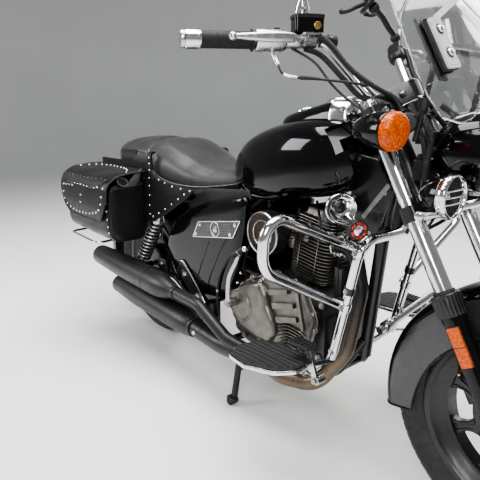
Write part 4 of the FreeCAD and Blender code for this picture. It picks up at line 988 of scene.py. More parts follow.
# switch housings, perches and the brake reservoir
pc1 = Piece("switch_gear")
hs = [(-155, 11.3), (-155, 20), (-157, 23), (-160, 24), (-189, 24), (-189.6, 23.4), (-190.8, 23.4), (-191.4, 24), (-220, 24), (-224, 22.5), (-226, 19), (-226, 11.3)]
pc1.both("lever_alloy", fix(*revolve(hs, G1, GD, 40)))
pr = [(-226, 11.3), (-226.3, 16.4), (-228, 17), (-298, 17), (-300, 15.5), (-300, 11.3)]
pc1.both("lever_alloy", fix(*revolve(pr, G1, GD, 32)))
# the perch's arm and pivot
for mm in (262,):
    arm_ = place(prism(round2([(-15, -2), (15, -2), (11, 27), (-11, 27)], 6), "XY", -9.5, -4.8), GD, FWD, A(0, 0, 1), og(mm))
    arm2 = place(prism(round2([(-15, -2), (15, -2), (11, 27), (-11, 27)], 6), "XY", 4.8, 9.5), GD, FWD, A(0, 0, 1), og(mm))
    pc1.both("lever_alloy", fix(*arm_), fix(*arm2))
    pc1.both("steel", hexbolt(off(262, 26, 9.5), A(0, 0, 1), 5.5, 4), hexbolt(off(262, 26, -9.5), A(0, 0, -1), 4.5, 3))
# buttons
pc1.both("red_paint", fix(*revolve([(0, 5.5), (3, 5.5), (4, 4), (4, 0)], off(188, -16, 18.2) , unit(A(0, 0, 1) - FWD * 0.9), 18)))
pc1.both("black_plastic", fix(*place(prism(round2([(-6, -3.5), (6, -3.5), (6, 3.5), (-6, 3.5)], 2), "XY", 0, 4.5), GD, FWD, A(0, 0, 1), off(206, -2, 23))))
pc1.both("black_plastic", fix(*revolve([(0, 5), (4.5, 5), (5.5, 3.5), (5.5, 0)], off(204, -17, 15), unit(A(0, 0, 0.8) - FWD), 16)))
pc1.both("steel", capscrew(off(168, 0, -23.4), A(0, 0, -1), 3, 2.5), capscrew(off(214, 0, -23.4), A(0, 0, -1), 3, 2.5))
# clamp bolts at the back of the perch
pc1.both("steel", capscrew(off(240, -16.4, 5), -FWD, 3.4, 4), capscrew(off(240, -16.4, -6), -FWD, 3.4, 4))
pc1.make("steering", ["hand_controls"], "cast_alloy", bevel=0.8)

pm = Piece("brake_reservoir")
def rloc(part, mm=276, u=0):
    return fix(*place(part, GD, FWD, A(0, 0, 1), og(mm) + A(0, 0, u)))
pm.add("black_gloss", rloc(prism(round2([(-34, -20), (34, -20), (34, 20), (-34, 20)], 7), "XY", 17, 46)))
pm.add("black_satin", rloc(prism(round2([(-36, -21), (36, -21), (36, 21), (-36, 21)], 8), "XY", 46.4, 54)))
pm.add("black_satin", rloc(prism(round2([(-29, -15), (29, -15), (29, 15), (-29, 15)], 6), "XY", 54, 56)))
pm.add("lever_alloy", rloc(prism(round2([(-20, -15), (12, -15), (12, 15), (-20, 15)], 5), "XY", 12, 18)))
for x in (-27, 27):
    pm.add("chrome", capscrew(off(276 - x * 1.0, 0, 54) , A(0, 0, 1), 3.2, 2))
pm.add("brass", rloc(revolve([(0, 8.5), (2.2, 8.5), (2.8, 7), (2.8, 5.5)], A(-17, 20, 31), A(0, 1, 0), 24)))
pm.add("brass", rloc(revolve([(0, 5.6), (2.4, 5.2), (3.0, 0)], A(-17, 20, 31), A(0, 1, 0), 20)))
pm.make("steering", slot="black_gloss", bevel=1.6, seg=3)

# levers: flat tapered blades ending in a ball
def blade(sgn=1):
    P0, P1, P2 = off(262, 26, 0), off(222, 52, 0), off(95, 56, 0)
    path = smooth([P0, off(250, 36, 0), off(236, 46, 0), P1, off(180, 58, 0), off(135, 57, 0), P2], 5)
    n = len(path)
    s = np.linspace(0, 1, n)
    tall = np.interp(s, [0, 0.10, 0.20, 0.34, 0.52, 0.72, 0.92, 1.0], [13.0, 12.0, 8.0, 8.6, 11.0, 10.2, 6.5, 5.2])
    thin = np.interp(s, [0, 0.10, 0.25, 0.6, 1.0], [4.4, 5.5, 6.0, 4.6, 4.4])
    v, f = tube(path, 1.0, 20, oval=[(a, b) for a, b in zip(thin, tall)], side=A(0, 0, 1))
    return v, f


pl = Piece("hand_lever_blades")
# the blade's mid-line keeps clear of the perch's two arms
bl = fix(*blade())
knob = revolve([(-9, 0), (-8.3, 3.6), (-6.4, 6.4), (-3.4, 8.4), (0, 9), (3.4, 8.4), (6.4, 6.4), (8.3, 3.6), (9, 0)], off(95, 56, 0), GD, 24)
eye = revolve([(-4.6, 0), (-4.6, 9), (-3.8, 10), (3.8, 10), (4.6, 9), (4.6, 0)], off(262, 26, 0), A(0, 0, 1), 28)
pl.both("lever_alloy", bl, fix(*knob), fix(*eye))
pl.make("steering", ["hand_levers"], "cast_alloy", angle=50)

# mirrors: rounded shell, glass set in, and flat stems
m0 = off(262, 4, 100)
m1 = m0 + A(14, -22, 70)
m2 = m0 + A(-2, -70, 128)
MC = A(m2[0] + 4, m2[1] - 30, m2[2] + 26)
ca, sa = cos(radians(-12)), sin(radians(-12))
MX, MY = A(ca, sa, 0), A(-sa, ca, 0)
out = [(-62, -38), (62, -38), (62, 38), (-62, 38)]
def mring(h, ins, r=20):
    o = round2([(x * (62 - ins) / 62, z * (38 - ins) / 38) for x, z in out], r - ins * 0.5, 6)
    return np.array([MC + MX * h + MY * a + A(0, 0, 1) * b for a, b in o])
shell_ = fix(*rings([mring(-8.5, 3), mring(-9, 1.2), mring(-7, 0), mring(2, 1), mring(6, 6), mring(8.2, 14), mring(9, 26)]))
glass_ = fix(*rings([mring(-9.2, 6), mring(-8.0, 6)]))
pmr = Piece("mirror_heads")
pmr.both("chrome", shell_).both("reflector", glass_)
fp = fillet([off(262, 4, 56.3), m0, m1, m2], [20, 40], 8)
pmr.add("chrome", tube(fp, 5.0, 12))
pmr.add("chrome", mirror(tube(fillet([off(262, 4, 17.3), m0, m1, m2], [20, 40], 8), 5.0, 12)))
pmr.both("chrome", revolve([(0, 8), (2, 9), (9, 9), (11, 6.5), (11, 5)], off(262, 4, 62), A(0, 0, 1), 6))
pmr.both("chrome", rod(m2 + A(0, 8, -4), m2 + A(4, -12, 12), 7.0, 16, 1.5))
# the right stem's forked foot
for dx in (-12, 12):
    pmr.add("chrome", tube([off(262 + dx, 2, 57), off(262 + dx * 0.8, 3, 70), off(262 + dx * 0.2, 4, 92), off(262, 4, 104)], 3.4, 10, oval=(1.7, 0.8), side=FWD))
pmr.make("steering", ["mirrors"], "chrome", angle=40)

# cables: the throttle's twin and the ribbed conduit
CAB = [([off(196, 0, -24.5), A(962, -246, 1046), A(984, -240, 1021), A(1030, -190, 1014), A(1088, -122, 1004), A(1122, -92, 996)], 4.0),
       ([off(300.5, 12, 10), A(1030, -148, 1085), A(1068, -124, 1036), A(1112, -100, 1000), A(1146, -70, 974), A(1168, -66, 946)], 6.5)]
pcb = Piece("cable_runs")
for i, (rt, r) in enumerate(CAB):
    if i == 0:
        line = smooth(rt, 12)
        t1 = tube(line, 2.9, 10)
        pcb.both("cable", t1)
        pcb.both("chrome", tube(line[:14], [4.4] * 10 + [3.9, 4.6, 4.6, 3.4], 12))
        pcb.both("dull_chrome", tube(line[22:30], 4.2, 12))
        pcb.both("rubber", tube(line[30:38], [4.4, 4.4, 4.2, 4.0, 3.8, 3.6, 3.4, 3.2], 12))
    else:
        line = smooth(rt, 40)
        pcb.both("cable", tube(line, 6.2, 12, mod=lambda j: -0.9 if (j // 1) % 3 == 0 else 0.3))
pcb.make("steering", ["control_cables"], "rubber", angle=60)

# ============================================================= guards
GR = 12.0
HOOP = [(1060, -130, 330), (1068, -130, 352), (1132, -130, 652), (1132, 130, 652), (1068, 130, 352), (1060, 130, 330)]
LOOP = [(1098, -134, 637), (1100, -402, 751), (1090, -400, 626), (1084, -134, 482)]
pgd = Piece("guard_hoop_tube")
pgd.add("chrome", tube(fillet(HOOP, [20, 50, 50, 20], 14), GR, 28))
for s in (-1, 1):
    pgd.add("chrome", tube([A(930, s * 120, 200), A(1062, s * 130, 334)], 8.0, 16))
    pgd.add("steel", hexbolt(A(1068, s * 141, 352), A(0, s, 0), 6, 5))
    pgd.add("black_satin", revolve([(-9, 11.8), (-9, 14.0), (9, 14.0), (9, 11.8)], A(1105, s * 130, 526), A(1132 - 1068, 0, 300), 28))
    pgd.add("steel", hexbolt(A(1105, s * 144, 526), A(0, s, 0), 4.5, 4))
pgd.make("chassis", ["guard_hoop"], "chrome", angle=50)
for nm, s in (("right", 1), ("left", -1)):
    L = [(x, s * y, z) for x, y, z in LOOP]
    q = Piece("guard_loop_" + nm)
    q.add("chrome", tube(fillet(L, [54, 66], 22), GR, 28))
    q.add("chrome", tube([A(1098, -138 * s, 637), A(1134, -130 * s, 629)], 7.0, 16), tube([A(1084, -138 * s, 482), A(1090, -130 * s, 482)], 8.0, 16))
    # clamps where the loop meets the hoop
    q.add("chrome", revolve([(-11, 11), (-11, 14), (-9, 15), (9, 15), (11, 14), (11, 11)], A(1126, -130 * s, 626), A(64, 0, 300), 28))
    q.add("steel", hexbolt(A(1126, -146 * s, 626), A(0, -s, 0), 5, 5))
    q.add("chrome", revolve([(-11, 11), (-11, 14), (-9, 15), (9, 15), (11, 14), (11, 11)], A(1095.7, -130 * s, 482), A(64, 0, 300), 28))
    q.add("steel", hexbolt(A(1095.7, -146 * s, 482), A(0, -s, 0), 5, 5))
    q.make("chassis", ["guard_" + nm], "chrome", angle=50)

# end plug above the hoop's corner: red and black ring round a bright middle
pp = Piece("guard_end_plug")
for s in (-1, 1):
    a, b = A(1082, s * 118, 684), A(1136, s * 146, 682)
    d = unit(b - a)
    pr = [(-30, 12), (-24, 17), (-16, 19), (34, 19.5), (42, 21.5), (48, 23)]
    pp.add("chrome", revolve(pr, a, d, 36))
    e = a + d * 48
    pp.add("black_plastic", revolve([(-6, 22), (-5, 24), (5, 24.5), (9, 23), (9.5, 17), (6, 12)], e, d, 36, closed=False))
    for k in range(6):
        t0 = k * pi / 3
        u, w_, _ = basis(d)
        arc = [e + d * 9.2 + (u * cos(t0 + x) + w_ * sin(t0 + x)) * 16.6 for x in np.linspace(0.12, 0.92, 7)]
        pp.add("red_paint", tube(arc, 2.9, 8))
    pp.add("chrome", revolve([(6, 14), (9.5, 12.5), (11, 8), (11.4, 0)], e, d, 24))
pp.make("chassis")

# ============================================================= engine
CC = [(672, 330), (720, 292), (860, 286), (990, 330), (1012, 410), (960, 500), (840, 512), (720, 452), (676, 400)]
cc = round2(CC, 34, 7)
pe = Piece("clutch_cover")
pe.add("cast_alloy", inset_stack(cc, "XZ", [(-112, 0.5), (-113, 0), (-129, 0), (-131, 1.6), (-131.2, 5), (-131.5, 7), (-139, 8.5), (-144, 12), (-147, 20), (-148, 40)]))
# the higher part round the clutch, with an S-shaped edge
HI = [(684, 336), (724, 302), (800, 294), (852, 300), (876, 332), (872, 372), (846, 412), (838, 446), (812, 474), (758, 458), (716, 436), (688, 396)]
pe.add("cast_alloy", inset_stack(round2(HI, 26, 6), "XZ", [(-138, -5), (-152, -1), (-160, 1.5), (-165, 5.5), (-167.5, 13), (-168.2, 22), (-168.4, 40)]))
# inspection cap with its groove
pe.add("cast_alloy", fix(*revolve([(0, 51), (3, 51), (4.2, 49.5), (4.2, 47), (2.6, 46.2), (2.6, 44.6), (4.0, 43.8), (5.2, 42.5), (5.8, 38), (6.2, 24), (6.4, 0)], A(735, -166.5, 381), A(0, -1, 0), 72)))
pe.add("black_cast", fix(*revolve([(0, 46.6), (2.9, 46.6), (2.9, 44.2), (0, 44.2)], A(735, -165.5, 381), A(0, -1, 0), 72, loop=True)))
# raised ribs beside the cap
for (x0, z0, x1, z1, hgt) in ((846, 452, 920, 474, 8.5), (862, 416, 944, 440, 9), (878, 380, 958, 404, 9)):
    c, e = A((x0 + x1) / 2, 0, (z0 + z1) / 2), unit(A(x1 - x0, 0, z1 - z0))
    L = hypot(x1 - x0, z1 - z0) / 2
    nn = A(-e[2], 0, e[0])
    part = prism(round2([(-L, -hgt), (L, -hgt * 0.8), (L, hgt * 0.8), (-L, hgt)], 4), "XZ", -144, -158.5)
    pe.add("cast_alloy", fix(*place(part, e, A(0, 1, 0), nn, c)))
pe.add("cast_alloy", fix(*place(prism(round2([(-5, -54), (6, -54), (8, 52), (-5, 52)], 4), "XZ", -144, -153), unit(A(1, 0, 0.28)), A(0, 1, 0), unit(A(-0.28, 0, 1)), A(962, 0, 428))))
# curved cooling fins at the lower front
for k in range(9):
    z = 376 - k * 9.4
    x0, x1 = 874 + k * 3.0, 986 - k * 2.2
    line = smooth([A(x0, -149, z - 16), A((x0 + x1) / 2 - 14, -151, z + 1), A(x1 - 20, -148, z - 2), A(x1, -144, z - 14)], 6)
    pe.add("cast_alloy", tube(line, 1.0, 8, oval=(1.6, 8.0), side=A(0, 1, 0)))
    pe.add("black_cast", tube([q + A(0, 4.5, -4.7) for q in line], 1.0, 6, oval=(2.6, 3.2), side=A(0, 1, 0)))
# cover screws on the flange, in bosses
cen = A(842, 400)
for (x, z) in ((690, 328), (735, 294), (800, 283), (862, 280), (930, 301), (986, 332), (1010, 384), (1004, 430), (975, 480), (930, 505), (862, 514), (800, 500), (742, 470), (694, 430), (672, 372)):
    v2 = A(x, z) - cen
    x, z = cen + v2 * (1 - 7.0 / np.linalg.norm(v2))
    pe.add("cast_alloy", revolve([(0, 9.5), (6, 9.2), (7.5, 8), (7.5, 0)], A(x, -126, z), A(0, -1, 0), 20))
    pe.add("steel", capscrew(A(x, -133.2, z), A(0, -1, 0), 5.2, 5.0))
# drain plug and dark sight hole at the foot
pe.add("cast_alloy", revolve([(0, 17), (10, 17), (13, 15), (13, 11), (6, 10), (6, 0)], A(806, -146, 306), A(0, -1, 0), 32))
pe.add("dial", revolve([(0, 10), (7.5, 10), (8.2, 8), (8.2, 0)], A(806, -146, 306), A(0, -1, 0), 24))
# clutch arm, spring and cable adjuster on top
pe.add("cast_alloy", revolve([(0, 14), (14, 13), (20, 10), (20, 0)], A(772, -140, 452), A(0.25, -0.2, 1), 24))
pe.add("steel", tube([A(776, -144, 474), A(800, -150, 486), A(828, -146, 500)], 4.0, 10, oval=(1.9, 0.8), side=A(0, 0, 1)))
pe.add("chrome", helix(A(786, -150, 452), A(826, -148, 494), 6.5, 8, 1.3))
pe.add("steel", rod(A(780, -150, 446), A(836, -148, 505), 3.0, 12), hexbolt(A(770, -146, 476), A(0.2, -0.2, 1), 6, 5))
pe.make("chassis", ["engine_covers"], "cast_alloy", bevel=0.9, angle=34)

pa = Piece("alternator_cover")
ac = round2([(690, 320), (760, 280), (900, 280), (990, 340), (990, 430), (900, 480), (760, 470), (690, 400)], 40, 8)
pa.add("cast_alloy", inset_stack(ac, "XZ", [(112, 0.5), (113, 0), (124, 0), (126, 1.6), (126.4, 7), (140, 9), (147, 13), (150, 22), (151, 60)]))
pa.add("cast_alloy", fix(*revolve([(0, 74), (4, 73), (7, 69), (8.4, 60), (8.8, 44), (9.0, 0)], A(842, 150, 382), A(0, 1, 0), 72)))
pa.add("black_cast", fix(*revolve([(0, 17), (1.6, 17), (2.2, 15), (2.2, 0)], A(842, 158, 382), A(0, 1, 0), 32)))
pa.add("cast_alloy", fix(*revolve([(0, 12), (1.2, 12), (2.0, 9), (2.0, 0)], A(902, 150.5, 430), A(0, 1, 0), 24)))
cen = A(840, 380)
for (x, z) in ((700, 330), (745, 294), (800, 280), (860, 280), (910, 290), (960, 322), (990, 370), (986, 428), (940, 460), (890, 480), (820, 474), (750, 466), (704, 424), (690, 376)):
    v2 = A(x, z) - cen
    x, z = cen + v2 * (1 - 8.0 / np.linalg.norm(v2))
    pa.add("cast_alloy", revolve([(0, 9.5), (5, 9.2), (6.5, 8), (6.5, 0)], A(x, 122, z), A(0, 1, 0), 20))
    pa.add("steel", capscrew(A(x, 128.2, z), A(0, 1, 0), 5.2, 5.0))
pa.make("chassis", slot="cast_alloy", bevel=0.9, angle=34)

# crankcase: bosses, sump fins and plugs
pcs = Piece("case_detail")
for s in (-1, 1):
    for (x, z) in ((664, 280), (690, 252), (1002, 300), (1006, 450), (968, 466)):
        pcs.add("cast_alloy", revolve([(0, 11), (5, 10.6), (6, 9), (6, 0)], A(x, s * 111, z), A(0, s, 0), 20))
        pcs.add("steel", hexbolt(A(x, s * 117, z), A(0, s, 0), 5, 4))
for k in range(9):
    x = 740 + k * 26
    pcs.add("cast_alloy", fix(np.array([(x + dx, y, 236 + dz) for dx in (0, 4) for y, dz in ((-98, 1), (98, 1), (90, -8), (-90, -8))]), [(0, 1, 2, 3), (7, 6, 5, 4), (0, 4, 5, 1), (1, 5, 6, 2), (2, 6, 7, 3), (3, 7, 4, 0)]))
pcs.add("steel", hexbolt(A(850, 0, 231), A(0, 0, -1), 11, 7))
pcs.add("cast_alloy", revolve([(0, 30), (8, 29), (12, 24), (13, 0)], A(1016, 0, 380), A(1, 0, 0), 40))
for k in range(3):
    a = 2 * pi * k / 3 + 0.5
    pcs.add("steel", capscrew(A(1026, 24 * cos(a), 380 + 24 * sin(a)), A(1, 0, 0), 4, 4))
pcs.make("chassis", bevel=0.6)

# cylinder, fins and head, leaning with its own axes
CA, SA = cos(radians(8)), sin(radians(8))
CX, CZ, CO = A(CA, 0, -SA), A(SA, 0, CA), A(905, 0, 481)
def cyl_(part):
    return fix(*place(part, CX, A(0, 1, 0), CZ, CO))
pcy = Piece("cylinder_fins")
pcy.add("fin_bronze", cyl_(revolve([(-6, 0), (-6, 58), (150, 58), (150, 0)], A(0, 0, 0), A(0, 0, 1), 48)))
fo = lambda a, b, r: round2([(-a, -b), (a, -b), (a, b), (-a, b)], r, 5)
for i in range(15):
    z = 10 + i * 9.8
    w_ = 1.0 if 0 < i < 14 else 0.92
    p0 = np.array(fo(75 * w_, 82 * w_, 40))
    v0 = to3(p0, "XY", z)
    v1 = to3(p0 * 0.992, "XY", z + 1.9)
    vm = to3(p0 * 0.70, "XY", z - 0.6)
    vt = to3(p0 * 0.70, "XY", z + 3.0)
    pcy.add("fin_bronze", cyl_(rings([vm, v0, v1, vt])))
    pcy.add("fin_edge", cyl_(rings([to3(p0 * 1.002, "XY", z + 0.3), to3(p0 * 1.002, "XY", z + 1.7), to3(p0 * 0.985, "XY", z + 1.7), to3(p0 * 0.985, "XY", z + 0.3)], loop=True)))
for y in (-81.0, 81.0):
    for x in (-30, 34):
        pcy.add("fin_edge", cyl_(block(x - 1.6, x + 1.6, y - 1.2, y + 1.2, 20, 142)))
for x in (74.5,):
    for y in (-36, 36):
        pcy.add("fin_edge", cyl_(block(x - 1.2, x + 1.2, y - 1.6, y + 1.6, 20, 142)))
# head: finned block, rocker cover with two inspection caps
for i in range(4):
    z = 158 + i * 8.5
    p0 = np.array(fo(70, 70, 20))
    pcy.add("cast_alloy", cyl_(rings([to3(p0 * 0.7, "XY", z - 0.4), to3(p0, "XY", z), to3(p0 * 0.992, "XY", z + 2.0), to3(p0 * 0.7, "XY", z + 2.8)])))
pcy.add("cast_alloy", cyl_(inset_stack(fo(62, 56, 18), "XY", [(150, 3), (176, 3), (178, 0), (186, 0), (188, 4), (203, 8), (209, 13), (211.5, 24), (212, 40)])))
for s in (-1, 1):
    pcy.add("cast_alloy", cyl_(revolve([(0, 26), (9, 26), (12, 24), (13.5, 18), (14, 0)], A(28, s * 46, 184), A(0.25, s, 0.45), 40)))
    pcy.add("steel", cyl_(hexbolt(A(31, s * 59, 190.5), A(0.25, s, 0.45), 8, 5, False)))
    for x in (-52, 50):
        pcy.add("steel", cyl_(capscrew(A(x, s * 46, 186), A(0, 0, 1), 5, 5)))
        pcy.add("brass", cyl_(hexbolt(A(x * 1.16, s * 72, 152), A(0, 0, 1), 6.5, 7)))
    # tall boss for the cam chain and plug
    pcy.add("cast_alloy", cyl_(revolve([(0, 15), (52, 14), (56, 11), (56, 0)], A(-18, s * 68, 118), A(0, 0, 1), 28)))
pcy.add("black_plastic", cyl_(revolve([(0, 9), (8, 12), (26, 12), (32, 9), (44, 8), (44, 0)], A(30, -62, 150), A(0.35, -0.8, 0.55), 24)))
pcy.add("cable", cyl_(tube(smooth([A(45, -97, 174), A(52, -104, 190), A(30, -92, 214), A(-10, -60, 232)], 6), 3.6, 10)))
pcy.add("steel", cyl_(revolve([(0, 20), (6, 20), (9, 15), (9, 0)], A(64, 0, 100), A(1, 0, 0), 32)))
pcy.make("chassis", ["cylinder"], "cast_alloy", angle=30)

# carburettor: throat, bell, float bowl, choke and cable
pk2 = Piece("carburettor_body")
pk2.add("cast_alloy", revolve([(0, 24), (3, 24), (3, 33), (9, 33), (9, 27), (40, 27), (44, 30), (58, 30), (58, 22)], A(770, 0, 600), A(1, 0, 0), 40))
pk2.add("rubber", revolve([(0, 36), (3, 42), (20, 42), (24, 39), (30, 42), (48, 42), (52, 39), (58, 42), (76, 42), (80, 38), (80, 30)], A(690, 0, 600), A(1, 0, 0), 40))
pk2.add("cast_alloy", revolve([(0, 18), (4, 25), (34, 26), (36, 29), (42, 29), (44, 26), (86, 26), (92, 24), (95, 14), (95, 0)], A(800, 0, 545), A(0, 0, 1), 36))
pk2.add("brass", hexbolt(A(800, 0, 545), A(0, 0, -1), 7, 6), capscrew(A(800, -26, 575), A(0, -1, 0), 4, 4), capscrew(A(812, -26, 605), A(0, -1, 0), 3.4, 5))
pk2.add("cable", tube(smooth([A(800, 0, 640), A(806, -4, 668), A(836, -10, 680), A(900, -20, 690)], 8), 4, 10))
pk2.make("chassis", ["carburettor"], "cast_alloy", bevel=0.6)

# air cleaner: a dished pan on a pipe, bright rim, worn middle
pai = Piece("air_cleaner_pans")
def pan(s):
    c = A(834, s * 176, 622)
    d = A(0, s, 0)
    q = [("engine_satin", fix(*revolve([(-52, 30), (-50, 52), (-44, 60), (-38, 62), (-8, 62), (-3, 61.4)], c, d, 72, closed=False))),
         ("dull_chrome", fix(*revolve([(-3, 61.4), (0, 60), (0.3, 58.4), (-2, 57.4), (-4, 57)], c, d, 72, closed=False))),
         ("worn_dark", fix(*revolve([(-4, 57.2), (-5, 53), (-5.5, 42), (-4.5, 38.5), (-4.5, 36)], c, d, 72, closed=False))),
         ("dull_chrome", fix(*revolve([(-5, 38.5), (-2.6, 37.6), (-2.4, 35.5), (-4.5, 34.5), (-5.5, 34.5)], c, d, 72, closed=False))),
         ("worn_dark", fix(*revolve([(-5.5, 35), (-6.2, 30), (-6.4, 12), (-6.4, 0)], c, d, 72, closed=False))),
         ("brass", hexbolt(c - d * 6.6, d, 7.5, 5))]
    return q
for mat, part in pan(-1):
    pai.add(mat, part)
pai.add("black_satin", tube(smooth([A(834, -126, 622), A(822, -96, 620), A(796, -60, 614), A(764, -34, 610)], 8), 22, 24))
pai.make("chassis", ["air_cleaner"], "chrome", angle=40)

# ============================================================= exhaust
HEAD_ = [(975, -34, 600), (1045, -40, 600), (1080, -50, 500), (1066, -76, 330), (1000, -118, 215), (900, -150, 208), (796, -168, 236)]
px_ = Piece("exhaust_pipe")
hl = fillet([(981, -34.5, 600)] + HEAD_[1:], [50, 80, 120, 90, 90], 14)
px_.add("header", tube(hl, 21.0, 32))
px_.add("chrome", revolve([(0, 22), (0, 33), (2, 35), (7, 35), (9, 32), (9, 22)], A(984, -34.6, 600), A(1, -0.08, 0), 40))
for a in (0.8, 0.8 + pi):
    px_.add("steel", hexbolt(A(993, -34.6 + 29 * cos(a), 600 + 29 * sin(a)), A(1, 0, 0), 5, 6))
px_.make("chassis", ["exhaust_header"], "header", angle=50)

def silencer_parts(rows, y, z, neck, rad, rn, tip):
    line = smooth([A(x, r, 0) for x, r in rows], 8)
    x0, r0 = rows[0]
    prof = [(x0 + 46, 0.0), (x0 + 46, tip), (x0 + 6, tip), (x0 + 1.2, r0 - 3.0), (x0, r0 - 1.2), (x0 + 1.5, r0)] + [(q[0], q[1]) for q in line[1:]]
    body = fix(*revolve(prof, A(0, y, z), A(1, 0, 0), 64, closed=False))
    neckp = tube(fillet(neck, rad, 12), rn, 32)
    return body, neckp


pul = Piece("upper_silencer")
b1, n1_ = silencer_parts([(-190, 40.5), (-150, 42.5), (-120, 43.6), (-60, 45.4), (-10, 46.6), (50, 47.2), (110, 47.4), (210, 47.2), (310, 46.4), (345, 43), (380, 34.5), (405, 26), (420, 21.5)], -205, 338,
                        [(410, -205, 338), (560, -205, 338), (700, -198, 268), (790, -172, 246)], [80, 60], 20.0, 24.0)
pul.add("black_matt", b1, n1_)
pul.add("black_matt", revolve([(0, 21), (0, 22.5), (3, 23.4), (14, 23.4), (17, 22.5), (17, 21)], A(414, -205, 338), A(1, 0, 0), 40))
pul.add("black_matt", revolve([(0, 47.2), (0, 48.0), (15, 48.0), (15, 47.2)], A(236, -205, 338), A(1, 0, 0), 64, closed=False), hexbolt(A(243, -205, 386.2), A(0, 0, 1), 5, 4))
pul.make("chassis", ["silencer_upper"], "black_matt", angle=50)
plo = Piece("lower_silencer")
b2, n2_ = silencer_parts([(-58, 37), (-30, 38.5), (20, 41), (70, 43.6), (120, 45), (220, 45.4), (330, 45.4), (420, 45), (460, 43.4), (492, 39), (510, 34)], -187, 236,
                        [(500, -187, 236), (660, -187, 230), (788, -172, 232)], [160], 30.0, 22.0)
plo.add("black_matt", b2, n2_)
plo.add("black_matt", revolve([(0, 32), (0, 34), (3, 35.5), (16, 35.5), (19, 34), (19, 31)], A(502, -187, 236), A(1, 0, 0), 40))
plo.add("steel", revolve([(0, 30.2), (0, 32.0), (14, 32.0), (14, 30.2)], A(770, -174, 232), A(1, 0.1, 0), 40), hexbolt(A(777, -190, 208), A(0, -0.5, -1), 5, 10))
plo.add("chrome", hexbolt(A(549, -216.5, 236), A(0, -1, 0), 4.5, 4))
plo.make("chassis", ["silencer_lower"], "black_matt", angle=50)
# hanger that holds the silencers
ph2 = Piece("silencer_hangers")
ph2.add("black_satin", prism(round2([(240, 392), (262, 420), (300, 420), (310, 390), (296, 372), (262, 372)], 6), "XZ", -170, -165))
ph2.add("steel", hexbolt(A(276, -170, 400), A(0, -1, 0), 6, 5))
ph2.make("chassis", bevel=1.0)

# ============================================================= floorboards and pedals
BOARD = [(884, -296), (900, -238), (960, -210), (1062, -208), (1090, -238), (1088, -292), (1058, -332), (980, -360), (906, -350)]
def bplace(part):
    v, f = turn(part, A(985, 0, 0), (0, 1, 0), -3)
    v = v + A(0, 0, 352.0)
    return v, f
bo = round2(BOARD, 26, 8)
bp = np.array(bo)
bc = bp.mean(0)
def bscale(k):
    return [tuple(q) for q in bc + (bp - bc) * (1 - k / np.linalg.norm(bp - bc, axis=1))[:, None]]
parts_rim = [bplace(fix(*rings([to3(np.array(bscale(k)), "XY", h) for k, h in ((3, -8), (0.5, -7), (0, -5), (0, 1), (0.8, 2.5), (4, 3), (5, 0))]))),
             bplace(fix(*rings([to3(np.array(bscale(k)), "XY", h) for k, h in ((7, -9), (5, -8.6), (5, -3), (8, -3))])))]
pad_ = [bplace(fix(*rings([to3(np.array(bscale(k)), "XY", h) for k, h in ((5.5, -1), (4.6, 3.5), (5.4, 5.6), (7.5, 6.2), (20, 6.2))])))]
ribs_ = []
poly_ = np.array(bscale(11))
for k in range(9):
    y = -344 + k * 15.2
    xs = []
    for i in range(len(poly_)):
        a, b = poly_[i], poly_[(i + 1) % len(poly_)]
        if (a[1] - y) * (b[1] - y) < 0:
            xs.append(a[0] + (b[0] - a[0]) * (y - a[1]) / (b[1] - a[1]))
    if len(xs) >= 2:
        x0, x1 = min(xs), max(xs)
        mid = (x0 + x1) / 2
        line = [A(x0 + (x1 - x0) * t, y + 5.0 * (1 - (2 * t - 1) ** 2) * (1 if k < 5 else -0.4), 6.0) for t in np.linspace(0, 1, 12)]
        ribs_.append(bplace(tube(line, 1.0, 8, oval=(4.2, 2.0), side=A(0, 0, 1))))
for s in (1, -1):
    q = Piece("floorboard_" + ("right" if s == 1 else "left"))
    g = (lambda p: p) if s == 1 else mirror
    q.add("chrome", *[g(p) for p in parts_rim])
    q.add("rubber", *[g(p) for p in pad_ + ribs_])
    q.add("black_satin", g(tube([A(930, -262, 338), A(930, -131, 300)], 8, 16)), g(tube([A(1058, -240, 344), A(1058, -124, 318)], 8, 16)) if s == 1 else g(tube([A(930, -240, 334), A(930, -131, 300)], 8.2, 16)))
    q.add("steel", g(hexbolt(A(930, -266, 344), A(0, -1, 0.1), 5, 5)), g(hexbolt(A(1058, -250, 338), A(0, 0, -1), 5, 5)))
    if s == -1:
        q.add("brushed", tube(fillet([(1096, 22, 371), (1101, 292, 424), (1084, 300, 362)], [24], 10), 11, 24))
        q.add("brushed", fix(*revolve([(0, 13), (3, 16), (30, 16), (34, 13)], A(1097, 40, 375), A(0.02, 1, 0.2), 32)))
    q.make("chassis", ["floorboards"], "rubber", bevel=0.4, angle=45)

pdl = Piece("brake_and_shift_pedals")
pdl.both("dull_chrome", prism(round2([(1098, 318), (1113, 321), (1083, 403), (1067, 398)], 4), "XZ", -240.5, -233.5))
pdl.both("dull_chrome", fix(*revolve([(0, 10), (1, 11.5), (27, 11.5), (28, 10)], A(1104, -240, 322), A(0, 1, 0), 28)))
pdl.both("steel", hexbolt(A(1104, -241, 322), A(0, -1, 0), 7, 5))
pad2 = inset_stack(round2([(1022, -262), (1088, -256), (1092, -214), (1030, -220)], 9, 5), "XY", [(396, 3), (397, 0.5), (399, 0), (402, 0), (404, 2), (404.5, 6)])
pdl.both("rubber", pad2)
for k in range(6):
    x = 1034 + k * 10
    pdl.both("rubber", tube([A(x, -255 + k * 0.6, 405), A(x + 1, -221 + k * 0.5, 405)], 1.0, 8, oval=(2.6, 2.6)))
pdl.both("steel", tube([A(1104, -226, 318), A(1020, -190, 300), A(930, -150, 292)], 4, 10))
pdl.make("chassis", ["foot_pedals"], "chrome", bevel=0.8)

